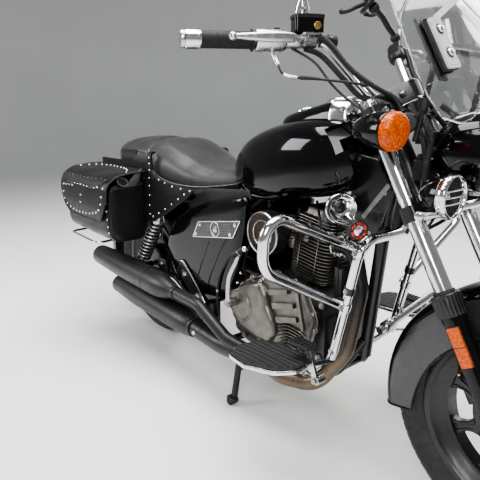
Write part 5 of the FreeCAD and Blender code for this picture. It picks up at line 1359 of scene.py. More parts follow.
pks = Piece("kick_start_lever")
pks.add("steel", fix(*revolve([(0, 12), (2, 14), (34, 14), (37, 12), (37.5, 0)], A(716, -170.3, 390), A(0, -1, 0), 32)))
pks.add("steel", hexbolt(A(716, -207, 390), A(0, -1, 0), 7, 4))
am = smooth([A(716, -202, 388), A(717, -202, 430), A(722, -202, 468), A(738, -202, 500), A(756, -202, 528), A(770, -202, 556)], 6)
pks.add("brushed", tube(am, 1.0, 16, oval=[(a, 5.2) for a in np.linspace(9.5, 6.5, len(am))], side=A(0, 1, 0)))
rb = lambda i: -0.9 if i % 2 else 0.6
ped = [A(752, -206, 548) + (A(800, -203, 578) - A(752, -206, 548)) * t for t in np.linspace(0.0, 0.82, 25)]
pks.add("rubber", tube(ped, 8.6, 18, mod=rb))
pks.add("chrome", fix(*revolve([(-8, 0), (-7.4, 3.6), (-5.5, 6.6), (-2.6, 8.4), (0.6, 9), (3.6, 8.2), (6.2, 6), (7.6, 3.2), (8, 0)], A(797, -203.4, 576), A(48, 3, 30), 28)))
pks.add("dull_chrome", rod(A(768, -198, 552), A(776, -206, 566), 9, 20, 2))
pks.make("chassis", ["kick_starter"], "steel", angle=50)

# hoses and wires on the right side
phs = Piece("breather_hoses")
phs.add("rubber", tube(smooth([A(706, -140, 552), A(668, -152, 516), A(626, -158, 452), A(606, -158, 392), A(604, -158, 345)], 10), 4.2, 12))
phs.add("rubber", tube(smooth([A(700, -90, 430), A(690, -118, 470), A(700, -110, 540), A(724, -80, 590)], 10), 5.0, 12))
phs.add("steel", fix(*revolve([(0, 6), (8, 6)], A(606, -158, 384), A(0.05, 0, 1), 16)))
phs.make("chassis")

# ============================================================= stands
pst = Piece("centre_stand_legs")
for s in (-1, 1):
    pst.add("black_powder", tube(fillet([(640, s * 92, 166), (650, s * 108, 110), (665, s * 140, 10)], [60], 8), 11, 20))
    pst.add("rubber", fix(*revolve([(-17, 0), (-17, 10), (-15, 12.4), (-12, 13.2), (12, 13.2), (15, 12.4), (17, 10), (17, 0)], A(664, s * 145, 13.3), A(0, 1, 0), 32)))
    pst.add("black_powder", fix(*inset_stack(round2([(646, s * 130), (684, s * 130), (684, s * 160), (646, s * 160)], 9, 5), "XY", [(14, 2), (16, 0), (24, 0), (27, 3)])))
    pst.add("black_powder", tube([A(648, s * 110, 106), A(668, s * 146, 14)], 5.0, 12))
    # hinge eye
    pst.add("black_powder", fix(*revolve([(-8, 6.3), (-8, 15), (-6, 16), (6, 16), (8, 15), (8, 6.3)], A(640, s * 96, 166), A(0, 1, 0), 28, loop=True)))
pst.add("black_powder", fix(*revolve([(-100, 6.3), (-100, 13), (100, 13), (100, 6.3)], A(640, 0, 166), A(0, 1, 0), 28, loop=True)))
pst.add("black_powder", rod(A(650, -108, 110), A(650, 108, 110), 9, 20))
pst.make("centre_stand", ["centre_stand"], "black_satin", bevel=0.5, angle=45)
pss = Piece("side_stand_leg")
pss.add("black_powder", fix(*revolve([(-12, 6.3), (-12, 14), (-10, 16), (10, 16), (12, 14), (12, 6.3)], A(700, 150, 186), A(0, 1, 0), 28, loop=True)))
sl = smooth([A(690, 150, 186), A(664, 158, 183), A(640, 166, 180), A(592, 183, 178), A(546, 200, 176)], 6)
pss.add("black_powder", tube(sl, 1.0, 18, oval=[(9.0, 9.0)] * (len(sl) - 6) + [(9.5, 8.5), (10.5, 7.5), (11.5, 6.5), (12, 6), (12.5, 5.5), (12.5, 5)], side=A(0, 0, 1)))
pss.add("black_powder", inset_stack(round2([(528.5, 190.5), (561, 190.5), (561, 219), (528.5, 219)], 9, 5), "XY", [(165.2, 2), (166, 0.5), (168, 0), (171, 0.4), (172.6, 3)]))
pss.add("rubber", rod(A(612, 176, 166), A(612, 176, 172), 7, 18, 1.5))
pss.make("side_stand", ["side_stand"], "black_satin", bevel=0.4, angle=45)
psp = Piece("stand_springs")
psp.add("steel", helix(A(720, 140, 214), A(650, 140, 200), 7, 14, 1.5), rod(A(724, 130, 214), A(724, 146, 214), 4, 12))
psp.make("chassis")

# frame hardware: swingarm pivot nuts, chain adjusters, foot bracket bolts
pfh = Piece("frame_hardware")
for s in (-1, 1):
    pfh.add("steel", hexbolt(A(0, s * 131.5, 312.5), A(0, s, 0), 12, 8))
    pfh.add("steel", hexbolt(A(515, s * 97, 330), A(0, s, 0), 10, 7))
    pfh.add("steel", tube([A(-40, s * 112, 312), A(-58, s * 112, 312)], 4, 12), hexbolt(A(-42, s * 112, 312), A(-1, 0, 0), 7, 5))
    pfh.add("black_satin", fix(*revolve([(0, 20), (6, 20), (8, 18), (8, 0)], A(504, s * 122.5, 360), A(0, s, 0), 28)))
    for z in (270, 385):
        pfh.add("steel", hexbolt(A(512, s * 123, z), A(0, s, 0), 6.5, 5))
pfh.make("chassis", slot="steel")

# horn: dished and ringed, with a bright rim
phn = Piece("horn_bell")
hd_ = unit(A(22, -14, 0))
o_ = A(1052, -110, 716)
phn.add("chrome", fix(*revolve([(-46, 12), (-42, 22), (-28, 27), (-18, 34), (-12, 39), (-5, 40), (-1, 39.5), (1, 37.5), (0.2, 35.8), (-4, 33), (-9, 27), (-12, 21), (-13, 14)], o_, hd_, 64, closed=False)))
phn.add("engine_satin", fix(*revolve([(-13, 14.5), (-10, 13), (-8, 9), (-7.5, 0)], o_, hd_, 48, closed=False)))
phn.add("black_satin", tube([A(1024, -88, 716), A(1024, -40, 716)], 7, 16))
phn.make("chassis", ["horn"], "chrome", angle=50)

# pillion peg brackets: polished edge, pivot and bolts, a ribbed rubber folded up
pgk = Piece("pillion_peg_brackets")
for s in (-1, 1):
    PL = round2([(366, 405), (388, 438), (408, 436), (455, 402), (508, 352), (546, 306), (520, 300), (470, 322), (420, 352)], 6, 4)
    pgk.add("black_satin", fix(*inset_stack(PL, "XZ", [(s * 155.4, 0), (s * 159.4, 0), (s * 160.2, 1)])), fix(*prism(round2([(352, 352), (366, 405), (388, 402), (366, 346)], 5), "XZ", s * 155.4, s * 159.2)))
    edge = smooth([A(388, s * 160, 437), A(408, s * 160, 435), A(455, s * 160, 401), A(508, s * 160, 351), A(545, s * 160, 307)], 8)
    pgk.add("chrome", tube(edge, 1.0, 10, oval=(3.4, 1.8), side=A(0, 1, 0)))
    pgk.add("steel", hexbolt(A(413, s * 160, 390), A(0, s, 0), 9, 6), hexbolt(A(491, s * 160, 332), A(0, s, 0), 9, 6))
    leaf = [A(338, s * 181, 360), A(356, s * 183, 372), A(410, s * 183, 352), A(466, s * 181, 322), A(458, s * 181, 312), A(400, s * 183, 320), A(350, s * 183, 342)]
    pgk.add("dull_chrome", tube(smooth(leaf, 5, True), 1.0, 10, loop=True, oval=(3.0, 2.0), side=A(0, 1, 0)))
    pgk.add("rubber", fix(*inset_stack(round2([(342, 361), (354, 366), (408, 346), (458, 321), (455, 316), (400, 325), (350, 346)], 6, 4), "XZ", [(s * 161, 3), (s * 163, 0), (s * 178, 0), (s * 181, 3)])))
    for k in range(7):
        x = 362 + k * 13.5
        zc = 352 - k * 5.4
        pgk.add("rubber", tube([A(x, s * 181, zc - 11), A(x + 5, s * 182.5, zc + 10)], 1.0, 6, oval=(2.6, 1.8), side=A(0, 1, 0)))
    pgk.add("steel", rod(A(352, s * 157, 352), A(352, s * 172, 352), 6, 18))
pgk.make("chassis", ["passenger_pegs"], "black_satin", angle=40)

# ============================================================= helpers for the bodywork
from mathutils import Vector
from mathutils.bvhtree import BVHTree


def W(p):
    return ((p[0] - X_MID) / 1000.0, p[1] / 1000.0, p[2] / 1000.0)


def oval_ring(x, w, zlo, zhi, zm, nu=2.6, nl=3.2, N=64, y0=0.0):
    out = []
    for i in range(N):
        t = 2 * pi * i / N
        c, s = cos(t), sin(t)
        n = nu if s >= 0 else nl
        y = w / 2 * np.sign(c) * abs(c) ** (2 / n)
        z = zm + ((zhi - zm) if s >= 0 else (zm - zlo)) * np.sign(s) * abs(s) ** (2 / n)
        out.append(A(x, y0 + y, z))
    return np.array(out)


def row_lines(rows, k):
    a = smooth([A(*r[:3]) for r in rows], k)
    b = smooth([A(r[3], r[4], r[5]) for r in rows], k)
    return [(p[0], p[1], p[2], q[0], q[1], q[2]) for p, q in zip(a, b)]


def skin(ob):
    me = ob.data
    return BVHTree.FromPolygons([v.co.copy() for v in me.vertices], [tuple(p.vertices) for p in me.polygons])


def on_skin(tree, pts, lift=0.0):
    """Nearest points on a finished piece, in millimetres, with the normals there."""
    out, nrm = [], []
    for p in pts:
        loc, n, _, _ = tree.find_nearest(Vector(W(p)))
        q = A(loc.x * 1000 + X_MID, loc.y * 1000, loc.z * 1000)
        n = A(n.x, n.y, n.z)
        out.append(q + n * lift)
        nrm.append(n)
    return out, nrm


def cushion(piece, body, node_, slot_, voxel, pin_z, cap, pressure=4.0, shrink=4.0):
    """A stuffed piece: remeshed, swollen by pressure from a slightly small start, base held, movement capped."""
    ob = piece.make(body, [node_], slot_, angle=180)
    me = ob.data
    m = ob.modifiers.new("even", "REMESH")
    m.mode, m.voxel_size, m.use_smooth_shade = "VOXEL", voxel / 1000.0, True
    mats = [x for x in me.materials]
    bake(ob)
    me = ob.data
    if not len(me.materials):
        for x in mats:
            me.materials.append(x)
    n = len(me.vertices)
    co = np.empty(n * 3)
    me.vertices.foreach_get("co", co)
    rest = co.reshape(-1, 3).copy()
    no = np.empty(n * 3)
    me.vertices.foreach_get("normal", no)
    me.vertices.foreach_set("co", (rest - no.reshape(-1, 3) * shrink / 1000.0).ravel())
    me.update()
    g = ob.vertex_groups.new(name="base")
    g.add([int(i) for i in np.nonzero(rest[:, 2] < pin_z / 1000.0)[0]], 1.0, "REPLACE")
    cm = ob.modifiers.new("cloth", "CLOTH")
    st = cm.settings
    st.quality, st.mass, st.tension_stiffness, st.compression_stiffness, st.bending_stiffness = 5, 0.35, 12, 12, 1.5
    st.use_pressure, st.uniform_pressure_force = True, pressure
    st.effector_weights.gravity = 0.0
    st.vertex_group_mass = "base"
    cm.collision_settings.use_collision = False
    cm.point_cache.frame_start, cm.point_cache.frame_end = 1, 20
    for fr in range(1, 21):
        scene.frame_set(fr)
    bake(ob)
    me = ob.data
    new = np.empty(n * 3)
    me.vertices.foreach_get("co", new)
    new = new.reshape(-1, 3)
    dlt = new - rest
    L = np.linalg.norm(dlt, axis=1, keepdims=True)
    dlt = dlt * np.minimum(1.0, cap / 1000.0 / np.maximum(L, 1e-9))
    me.vertices.foreach_set("co", (rest + dlt).ravel())
    me.update()
    scene.frame_set(1)
    sm = ob.modifiers.new("fine", "SUBSURF")
    sm.levels = sm.render_levels = 1
    bake(ob)
    me = ob.data
    me.polygons.foreach_set("use_smooth", [True] * len(me.polygons))
    return ob


# ============================================================= fuel tank
TANK = [(562, 40, 752, 782, 768, 2.2), (572, 110, 712, 808, 762, 2.4), (600, 156, 696, 838, 768, 2.6), (648, 206, 688, 868, 776, 2.9),
        (700, 240, 686, 890, 784, 3.0), (760, 264, 688, 908, 792, 3.0), (830, 282, 698, 922, 802, 3.0), (900, 292, 714, 930, 814, 3.0),
        (980, 284, 732, 930, 826, 3.0), (1040, 254, 752, 920, 836, 2.9), (1072, 206, 778, 904, 842, 2.6), (1086, 140, 806, 886, 846, 2.4), (1090, 60, 828, 868, 848, 2.2)]
ptk = Piece("fuel_tank_shell")
rr = [oval_ring(x, w, zl, zh, zm, nu, 3.4) for x, w, zl, zh, zm, nu in row_lines(TANK, 4)]
ptk.add("black_gloss", fix(*rings(rr)))
tank_ob = ptk.make("chassis", ["fuel_tank"], "black_gloss", angle=60)
def steer_cyl(z0, z1, r):
    o0, o1 = S(0, 0, z0), S(0, 0, z1)
    return revolve([(0, 0), (0, r), (float(np.linalg.norm(o1 - o0)), r), (float(np.linalg.norm(o1 - o0)), 0)], o0, unit(o1 - o0), 64)


def steer_pie(z0, z1, r, rin, ang):
    """The room the fork tops sweep: a disc about the steering axis without its rear middle."""
    arc = [(r * cos(radians(a)), r * sin(radians(a))) for a in np.linspace(-ang, ang, 49)]
    arc += [(rin * cos(radians(a)), rin * sin(radians(a))) for a in np.linspace(ang, 360 - ang, 21)]
    lo = np.array([S(x, y, z0) for x, y in arc])
    hi = np.array([S(x, y, z1) for x, y in arc])
    return fix(*rings([lo, hi]))


subtract(tank_ob, [steer_cyl(440, 716, 124.5), steer_pie(676, 750, 152, 90, 136), block(540, 1120, -32, 32, 660, 742)])
# the bolt at the back
pt2 = Piece("tank_trim")
tr = skin(tank_ob)
pt2.add("chrome", hexbolt(A(586, 0, 826), A(-0.5, 0, 1), 8, 6))
pt2.add("rubber", fix(*revolve([(0, 17), (5, 19), (9, 17), (9, 0)], A(584, 0, 815), A(-0.5, 0, 1), 28)))
pt2.make("chassis")

# ============================================================= console on the tank
CON = [(750, 24, 896, 922, 905, 2.2), (758, 64, 884, 932, 900, 2.4), (790, 98, 880, 941, 900, 2.8), (850, 118, 880, 954, 900, 3.0),
       (910, 126, 880, 967, 900, 3.0), (944, 129, 880, 974, 900, 3.0), (962, 130, 880, 976, 900, 3.0)]
pcn = Piece("console_body")
pcn.add("black_gloss", fix(*rings([oval_ring(x, w, zl, zh, zm, nu, 3.4, 56) for x, w, zl, zh, zm, nu in row_lines(CON, 4)])))
CF = [(958, 133, 882, 976, 902, 3.6), (963, 135, 882, 978, 902, 3.6), (996, 129, 882, 974, 902, 3.5), (1010, 114, 884, 963, 902, 3.0), (1017, 84, 890, 944, 902, 2.6)]
pcn.add("chrome", fix(*rings([oval_ring(x, w, zl, zh, zm, nu, 3.4, 56) for x, w, zl, zh, zm, nu in row_lines(CF, 4)])))
dn = unit(A(-0.12, 0, 1))
pcn.add("chrome", fix(*revolve([(-14, 44), (0, 44), (4, 42), (5, 39.5), (3.5, 38), (-2, 37.5)], A(952, 0, 972), dn, 64, closed=False)))
pcn.add("dial", fix(*revolve([(0, 38.5), (0.4, 30), (0.4, 0)], A(952, 0, 972.5), dn, 48, closed=False)))
pcn.add("white_paint", fix(*revolve([(0.5, 33.5), (0.9, 33.3), (0.9, 32.3), (0.5, 32.1)], A(952, 0, 972.5), dn, 48, loop=True)))
for k in range(11):
    t0 = radians(-40 + k * 26)
    pcn.add("white_paint", rod(A(952 + 27 * cos(t0), 27 * sin(t0), 973.4 + 0.12 * 27 * cos(t0)), A(952 + 31 * cos(t0), 31 * sin(t0), 973.4 + 0.12 * 31 * cos(t0)), 0.8, 8))
pcn.add("red_paint", rod(A(952, 0, 974.4), A(934, 18, 972.4), 0.9, 8))
cn = unit(A(-0.2, 0, 1))
pcn.add("chrome", fix(*revolve([(-10, 31), (0, 31), (1.5, 33), (7, 33), (9.5, 31), (10.5, 27), (11.5, 12), (11.8, 0)], A(826, 0, 942), cn, 56, mod=None)))
pcn.add("dull_chrome", fix(*revolve([(0, 8), (2, 7.6), (3, 6), (3, 0)], A(824, 0, 953.4), cn, 28)))
for x, y in ((884, 22), (884, -22)):
    pcn.add("grey_lens", fix(*revolve([(0, 5), (1.5, 4.6), (2.4, 3), (2.6, 0)], A(x, y, 958.6), dn, 20)))
pcn.make("chassis", ["tank_console"], "black_gloss", angle=50)

# ============================================================= neck covers
pn = Piece("neck_cover_plates")
NC = round2([(1040, 846), (1100, 836), (1150, 770), (1120, 660), (1086, 640), (1030, 730)], 14, 5)
for s in (-1, 1):
    pn.add("black_satin", fix(*inset_stack(NC, "XZ", [(s * 46, 1), (s * 47, 0), (s * 51, 0), (s * 52.5, 1.6), (s * 53.2, 6), (s * 53.4, 20)])))
    st_ = [A(1073, s * 53.4, 690), A(1143, s * 53.4, 780)]
    e_ = unit(st_[1] - st_[0])
    nn_ = A(-e_[2], 0, e_[0])
    c_ = (st_[0] + st_[1]) / 2
    pn.add("grey_strip", fix(*place(prism(round2([(-56, -6), (56, -6), (56, 6), (-56, 6)], 3), "XZ", 0, 2.4), e_, A(0, s, 0), nn_, c_)))
    for x, z in ((1052, 832), (1134, 758), (1096, 656), (1044, 738)):
        pn.add("steel", capscrew(A(x, s * 52.5, z), A(0, s, 0), 5, 3))
pn.make("chassis", ["neck_covers"], "black_satin", bevel=0.6)

# ============================================================= rider's seat and passenger pad
SEATR = [(124, 250, 700, 818, 760, 2.6), (134, 286, 690, 834, 760, 2.9), (160, 306, 680, 842, 755, 3.0), (205, 318, 668, 844, 745, 3.0), (265, 320, 664, 826, 735, 3.0),
         (330, 314, 662, 804, 730, 3.0), (390, 304, 662, 782, 722, 3.0), (440, 294, 664, 768, 718, 3.0), (500, 262, 670, 758, 716, 2.9), (560, 220, 680, 756, 718, 2.8),
         (610, 172, 692, 764, 724, 2.7), (634, 134, 702, 770, 730, 2.6), (641, 90, 716, 764, 738, 2.4)]
def dish(r):
    """The rider's seat is hollowed along the middle."""
    x = r[0][0]
    k = np.clip((x - 150) / 90, 0, 1) * np.clip((600 - x) / 140, 0, 1)
    w = abs(r[:, 1]).max()
    top = r[:, 2] > 740 if x < 300 else r[:, 2] > 725
    r = r.copy()
    r[:, 2] -= np.where(top, 9.0 * k * np.exp(-(r[:, 1] / (0.55 * w)) ** 2), 0)
    return r
ps = Piece("rider_seat")
ps.add("vinyl", fix(*rings([dish(oval_ring(x, w, zl, zh, zm, nu, 4.2, 72)) for x, w, zl, zh, zm, nu in row_lines(SEATR, 4)])))
seat_ob = cushion(ps, "chassis", "seat", "vinyl", 8.0, 676, 9.0)
PADR = [(-166, 150, 724, 792, 760, 2.4), (-160, 206, 714, 812, 762, 2.8), (-140, 232, 708, 826, 764, 3.0), (-90, 252, 704, 838, 766, 3.2), (-30, 266, 702, 843, 766, 3.3),
        (40, 276, 700, 845, 766, 3.3), (100, 284, 698, 844, 766, 3.2), (138, 286, 700, 838, 766, 3.0), (147, 262, 712, 824, 766, 2.8)]
pp2 = Piece("pillion_pad")
pp2.add("vinyl", fix(*rings([oval_ring(x, w, zl, zh, zm, nu, 5.0, 72) for x, w, zl, zh, zm, nu in row_lines(PADR, 4)])))
pad_ob = cushion(pp2, "chassis", "passenger_pad", "vinyl", 7.0, 710, 8.0)

# piping round the seat and pad, pale grey as a painted highlight
pi_ = Piece("seat_piping")
ts, tp = skin(seat_ob), skin(pad_ob)
for s in (-1, 1):
    gx = [(150, 826), (162, 806), (178, 776), (200, 748), (226, 728), (262, 714), (324, 702), (400, 700), (475, 704), (540, 712), (600, 722), (634, 732)]
    line = smooth([A(x, s * (0.5 * np.interp(x, [150, 205, 265, 330, 440, 560, 634], [300, 318, 320, 314, 294, 220, 134]) + 6), z) for x, z in gx], 6)
    q_, _ = on_skin(ts, line, 1.2)
    pi_.add("piping_painted_highlight", tube(smooth(q_[::3], 3), 2.4, 10))
    g2 = smooth([A(x, s * 160, z) for x, z in ((-150, 800), (-110, 808), (-50, 811), (30, 813), (100, 812), (140, 808))], 8)
    q_, _ = on_skin(tp, g2, 0.5)
    pi_.add("piping_painted_highlight", tube(smooth(q_[::4], 4), 1.8, 10))
    g3 = smooth([A(x, s * 150, z) for x, z in ((-156, 716), (-60, 712), (60, 710), (140, 712))], 8)
    q_, _ = on_skin(tp, g3, 0.6)
    pi_.add("vinyl", tube(smooth(q_[::4], 4), 2.4, 10))
pi_.make("chassis", slot="vinyl")
# blank plate on the pad's side, and the skirt under the seat
pl_ = Piece("seat_side_plates")
for s in (-1, 1):
    c_, n_ = on_skin(tp, [A(-8, s * 160, 778)], 0.0)
    yo = c_[0][1]
    pl_.add("black_plastic", fix(*inset_stack(round2([(-73, 754), (57, 756), (57, 804), (-73, 802)], 7, 5), "XZ", [(yo - s * 3, 1), (yo + s * 1.5, 0), (yo + s * 2.6, 1.2), (yo + s * 2.8, 5), (yo + s * 2.8, 20)])))
    pl_.add("dark_panel", fix(*prism(round2([(-60, 768), (44, 769), (44, 789), (-60, 788)], 4), "XZ", yo + s * 2.4, yo + s * 3.1)))
    sk = round2([(505, 704), (720, 724), (735, 690), (640, 668), (520, 640), (440, 600), (400, 640)], 12, 5)
    pl_.add("leather_trim", fix(*inset_stack(sk, "XZ", [(s * 118, 2), (s * 119, 0), (s * 124, 0), (s * 127, 3), (s * 128, 12)])))
pl_.make("chassis")

# ============================================================= side covers with a plain badge
SC = [(278, 470), (296, 520), (340, 575), (420, 622), (520, 660), (640, 692), (722, 706), (736, 690), (728, 610), (700, 500), (660, 410), (618, 352), (520, 306), (436, 286), (376, 322), (310, 400)]
psc = Piece("side_cover_panels")
sc = round2([(x, z) for x, z in SC], 16, 4)
for s in (-1, 1):
    psc.add("black_gloss", fix(*inset_stack(sc, "XZ", [(s * 128, 2), (s * 129, 0), (s * 140, 0), (s * 146, 3), (s * 150, 9), (s * 152.5, 20), (s * 154, 42), (s * 154.6, 80)])))
    psc.add("rubber", fix(*revolve([(0, 9), (5, 9), (7, 7), (7, 0)], A(402, s * 152, 402), A(0, s, 0), 24)))
    psc.add("black_gloss", tube(smooth([A(x, s * 153.6, z) for x, z in ((668, 582), (640, 552), (612, 516), (588, 474), (562, 424), (544, 378))], 8), 3.4, 12))
    psc.add("black_gloss", tube(smooth([A(x, s * 153.6, z) for x, z in ((556, 538), (524, 478), (494, 414), (472, 368))], 8), 2.8, 12))
    psc.add("steel", capscrew(A(402, s * 158, 402), A(0, s, 0), 5, 2.5))
psc.make("chassis", ["side_covers"], "black_gloss", angle=24)
pbg = Piece("side_badges")
for s in (-1, 1):
    o_, ex = A(598, s * 155.0, 588), unit(A(216, 0, 37))
    WX, WZ = 1.17, 0.78
    ez = A(-ex[2], 0, ex[0])
    def bp_(pts, a, b, inset=None):
        pl = [((WX * x + 0.85 * WZ * z), WZ * z) for x, z in pts]
        return fix(*place(prism(round2(pl, 3.5, 4), "XZ", a, b), ex, A(0, s, 0), ez, o_))
    pbg.add("fin_edge", bp_([(-98, -34), (92, -34), (92, 34), (-98, 34)], -6, 1.4))
    for (xa, xb, za, zb) in ((-98, 92, 30.5, 34), (-98, 92, -34, -30.5), (-98, -94, -34, 34), (88, 92, -34, 34)):
        pbg.add("chrome", bp_([(xa, za), (xb, za), (xb, zb), (xa, zb)], 1.0, 3.4))
    pbg.add("dark_panel", bp_([(-93, -30), (87, -30), (87, 30), (-93, 30)], 1.0, 2.0))
    for z in (-16, 0, 16):
        pbg.add("fin_edge", bp_([(-78, z - 5), (-28, z - 5), (-28, z + 5), (-78, z + 5)], 1.6, 3.2), bp_([(20, z - 5), (64, z - 5), (64, z + 5), (20, z + 5)], 1.6, 3.2))
        pbg.add("dark_panel", bp_([(-76, z - 3.4), (-30, z - 3.4), (-30, z + 3.4), (-76, z + 3.4)], 2.6, 3.8), bp_([(22, z - 3.4), (62, z - 3.4), (62, z + 3.4), (22, z + 3.4)], 2.6, 3.8))
    cc_ = place((np.array([[0.0, 0, 0]]), []), ex, A(0, s, 0), ez, o_)
    pbg.add("chrome", fix(*revolve([(1.6, 24), (4.2, 23.6), (4.2, 21.6), (1.6, 21)], o_ + ex * -3, A(0, s, 0), 44, loop=True)))
    pbg.add("dull_chrome", fix(*revolve([(1.2, 11), (4.4, 10), (5.2, 6), (5.4, 0)], o_ + ex * -3, A(0, s, 0), 36)))
    for dx, dz in ((76, 18), (72, -20), (-84, 20), (-88, -20)):
        pbg.add("chrome", fix(*revolve([(1.6, 6.4), (4.0, 6), (4.4, 4), (4.4, 0)], o_ + ex * (WX * dx + 0.85 * WZ * dz) + ez * (WZ * dz), A(0, s, 0), 24)))
pbg.make("chassis", bevel=0.5, angle=40)

# ============================================================= saddlebags
BAGSEC = round2([(178, 484), (292, 480), (324, 512), (330, 600), (326, 676), (312, 694), (284, 706), (178, 718)], [14, 46, 46, 60, 20, 16, 20, 8], 6)
def bag_rings(x0, x1):
    sec = np.array(BAGSEC)
    c = sec.mean(0)
    out = []
    for i in range(41):
        t = i / 40
        x = x0 + (x1 - x0) * t
        e = min(t, 1 - t) * (x1 - x0)
        ins = 16.0 * (1 - min(1.0, e / 18.0)) ** 2.2
        d = sec - c
        L = np.linalg.norm(d, axis=1)[:, None]
        q = c + d * (1 - ins / L)
        belly = sin(pi * t)
        lo = np.clip((600 - q[:, 1]) / 110, 0, 1)
        q[:, 1] -= 5.0 * belly * lo
        fa = np.clip((q[:, 0] - 300) / 26, 0, 1)
        q[:, 0] += 3.5 * belly * fa * np.clip(1 - abs(q[:, 1] - 590) / 120, 0, 1) + 1.3 * sin(9.0 * t + q[0, 1]) * fa * lo
        out.append(np.array([(x + 0.0, -yy, zz) for yy, zz in q]))
    for k, (dx, ins) in enumerate(((-3, 26), (-4.5, 48))):
        for end, sg in ((0, 1), (-1, -1)):
            base = out[0 if end == 0 else -1]
            c3 = base.mean(0)
            d = base - c3
            L = np.linalg.norm(d, axis=1)[:, None]
            ring = c3 + d * np.maximum(0.12, 1 - (ins - 16) / L)
            ring[:, 0] = (x0 if end == 0 else x1) + dx * (1 if end == 0 else -1)
            if end == 0:
                out.insert(0, ring)
            else:
                out.append(ring)
    return out


for nm, g, body_l in (("right", lambda p: p, "right_lid"), ("left", mirror, "left_lid")):
    s = -1 if nm == "right" else 1
    pb = Piece("saddlebag_shell_" + nm)
    shell = fix(*rings(bag_rings(-214, 190)))
    pb.add("leather", g(shell))
    bag = pb.make("chassis", ["saddlebag_" + nm], "leather", angle=60)
    tb_ = skin(bag)
    pt = Piece("saddlebag_trim_" + nm)
    ln, _ = on_skin(tb_, [A(196, s * y, z) for y, z in [(190, 690), (215, 686), (250, 682), (285, 680), (306, 678)]], 0.5)
    pt.add("leather_trim", tube(smooth(ln, 5), 2.6, 10))
    for off_ in (0, 9):
        ln, _ = on_skin(tb_, [A(196 - off_, s * (322 - off_ * 0.1), z) for z in (676, 650, 620, 590, 560, 530, 505)], 0.4)
        ln = [q + A(0, 0, 0) for q in ln]
        pt.add("leather_trim", tube(smooth(ln, 5), 2.0 if off_ else 2.8, 10))
    for x0 in (-206, 184):
        ln, _ = on_skin(tb_, [A(x0, s * y, z) for y, z in [(330, 505), (318, 488), (296, 474), (250, 472), (200, 474)]], 0.4)
        pt.add("leather_trim", tube(smooth(ln, 5), 2.4, 10))
    # studs down the front edge of the outer face
    q_, n_ = on_skin(tb_, [A(178, s * 340, z) for z in (656, 630, 600, 570, 542, 516)] + [A(-204, s * 340, z) for z in (600, 570, 540)], 0.0)
    for q, n in zip(q_, n_):
        pt.add("chrome", stud(q, n, 3.6, 2.6))
    # gusset at the front corner: rolled oval opening with a dark disc in it as painted shade, and a folded flap up to
    # the inner corner; roll and flap are pale as a painted highlight
    ov_ = [A(194.5, s * (268 + 20 * cos(t)), 703 + 15 * sin(t) + 6 * cos(t)) for t in np.linspace(0, 2 * pi, 25)[:-1]]
    pt.add("flap_leather_painted_highlight", tube(ov_ , 3.4, 10, loop=True))
    # dark disc set in the opening: painted shade inside the mouth
    pt.add("black_matt", fix(*rings([np.array([q + A(-3, 0, 0) for q in ov_]), np.array([q + A(-1, 0, 0) for q in ov_])])))
    tri = [(-5, 0, 0), (1, 0, 0)]
    f1 = [A(191, s * 250, 684), A(196, s * 244, 706), A(196, s * 222, 728), A(196, s * 193, 748), A(191, s * 190, 738), A(191, s * 205, 700), A(191, s * 222, 686)]
    if s == 1:
        f1 = f1[::-1]
    r0, r1 = np.array(f1), np.array([q + A(4.5, 0, 0) for q in f1])
    pt.add("flap_leather_painted_highlight", fix(*rings([r0, r1, r1 * 0.55 + r1.mean(0) * 0.45 + A(3.5, 0, 0)])))
    # back flange that stands behind the lid
    pt.add("leather", fix(*prism(round2([(-206, 706), (200, 706), (200, 762), (-206, 760)], 8, 4), "XZ", s * 157.5, s * 163)))
    pt.add("leather", fix(*block(-200, 194, min(s * 158, s * 180), max(s * 158, s * 180), 700, 708)))
    pt.make("chassis", slot="leather", angle=50)
    # the hollow under the lid, open at the top
    subtract(bag, [g(block(-200, 176, -302, -192, 490, 740))])
    # carrier rail underneath
    pr_ = Piece("saddlebag_rail_" + nm)
    pr_.add("chrome", tube(fillet([A(63, s * 157, 470), A(92, s * 338, 468), A(-160, s * 338, 468), A(-180, s * 157, 470)], [26, 26], 8), 4.6, 14))
    pr_.add("black_satin", tube([A(120, s * 157, 500), A(-186, s * 157, 500)], 6, 14), tube([A(63, s * 157, 470), A(63, s * 157, 640)], 6, 14), tube([A(-180, s * 157, 470), A(-180, s * 157, 640)], 6, 14),
            tube([A(63, s * 150, 636), A(63, s * 110, 650)], 6, 14), tube([A(-180, s * 157, 636), A(-180, s * 100, 650)], 6, 14))
    pr_.make("chassis", slot="chrome")

    # the lid: a leather flap over the top, down the outer face, with a rounded lower edge
    path = smooth([A(0, 181, 741), A(0, 232, 737), A(0, 288, 728), A(0, 322, 710), A(0, 339, 684), A(0, 344, 650), A(0, 343, 600), A(0, 338, 552)], 9)
    cum = np.concatenate([[0], np.cumsum([np.linalg.norm(path[i + 1] - path[i]) for i in range(len(path) - 1)])])
    NU, NV = 60, 54
    x0, x1 = -226.0, 202.0
    grid = np.zeros((NU + 1, NV + 1, 3))
    for i in range(NU + 1):
        a = 2 * i / NU - 1
        x = (x0 + x1) / 2 + (x1 - x0) / 2 * a
        cut = 88.0 * max(0.0, (abs(a) - 0.55) / 0.45) ** 2.2
        end = cum[-1] - cut
        edge = abs(a) ** 16
        for j in range(NV + 1):
            t = end * j / NV
            k = min(len(cum) - 2, int(np.searchsorted(cum, t, side="right") - 1))
            f_ = (t - cum[k]) / (cum[k + 1] - cum[k])
            p = path[k] * (1 - f_) + path[k + 1] * f_
            tg = unit(path[k + 1] - path[k])
            nr = A(0, -tg[2], tg[1]) * -1
            nr = A(0, -tg[2], tg[1])
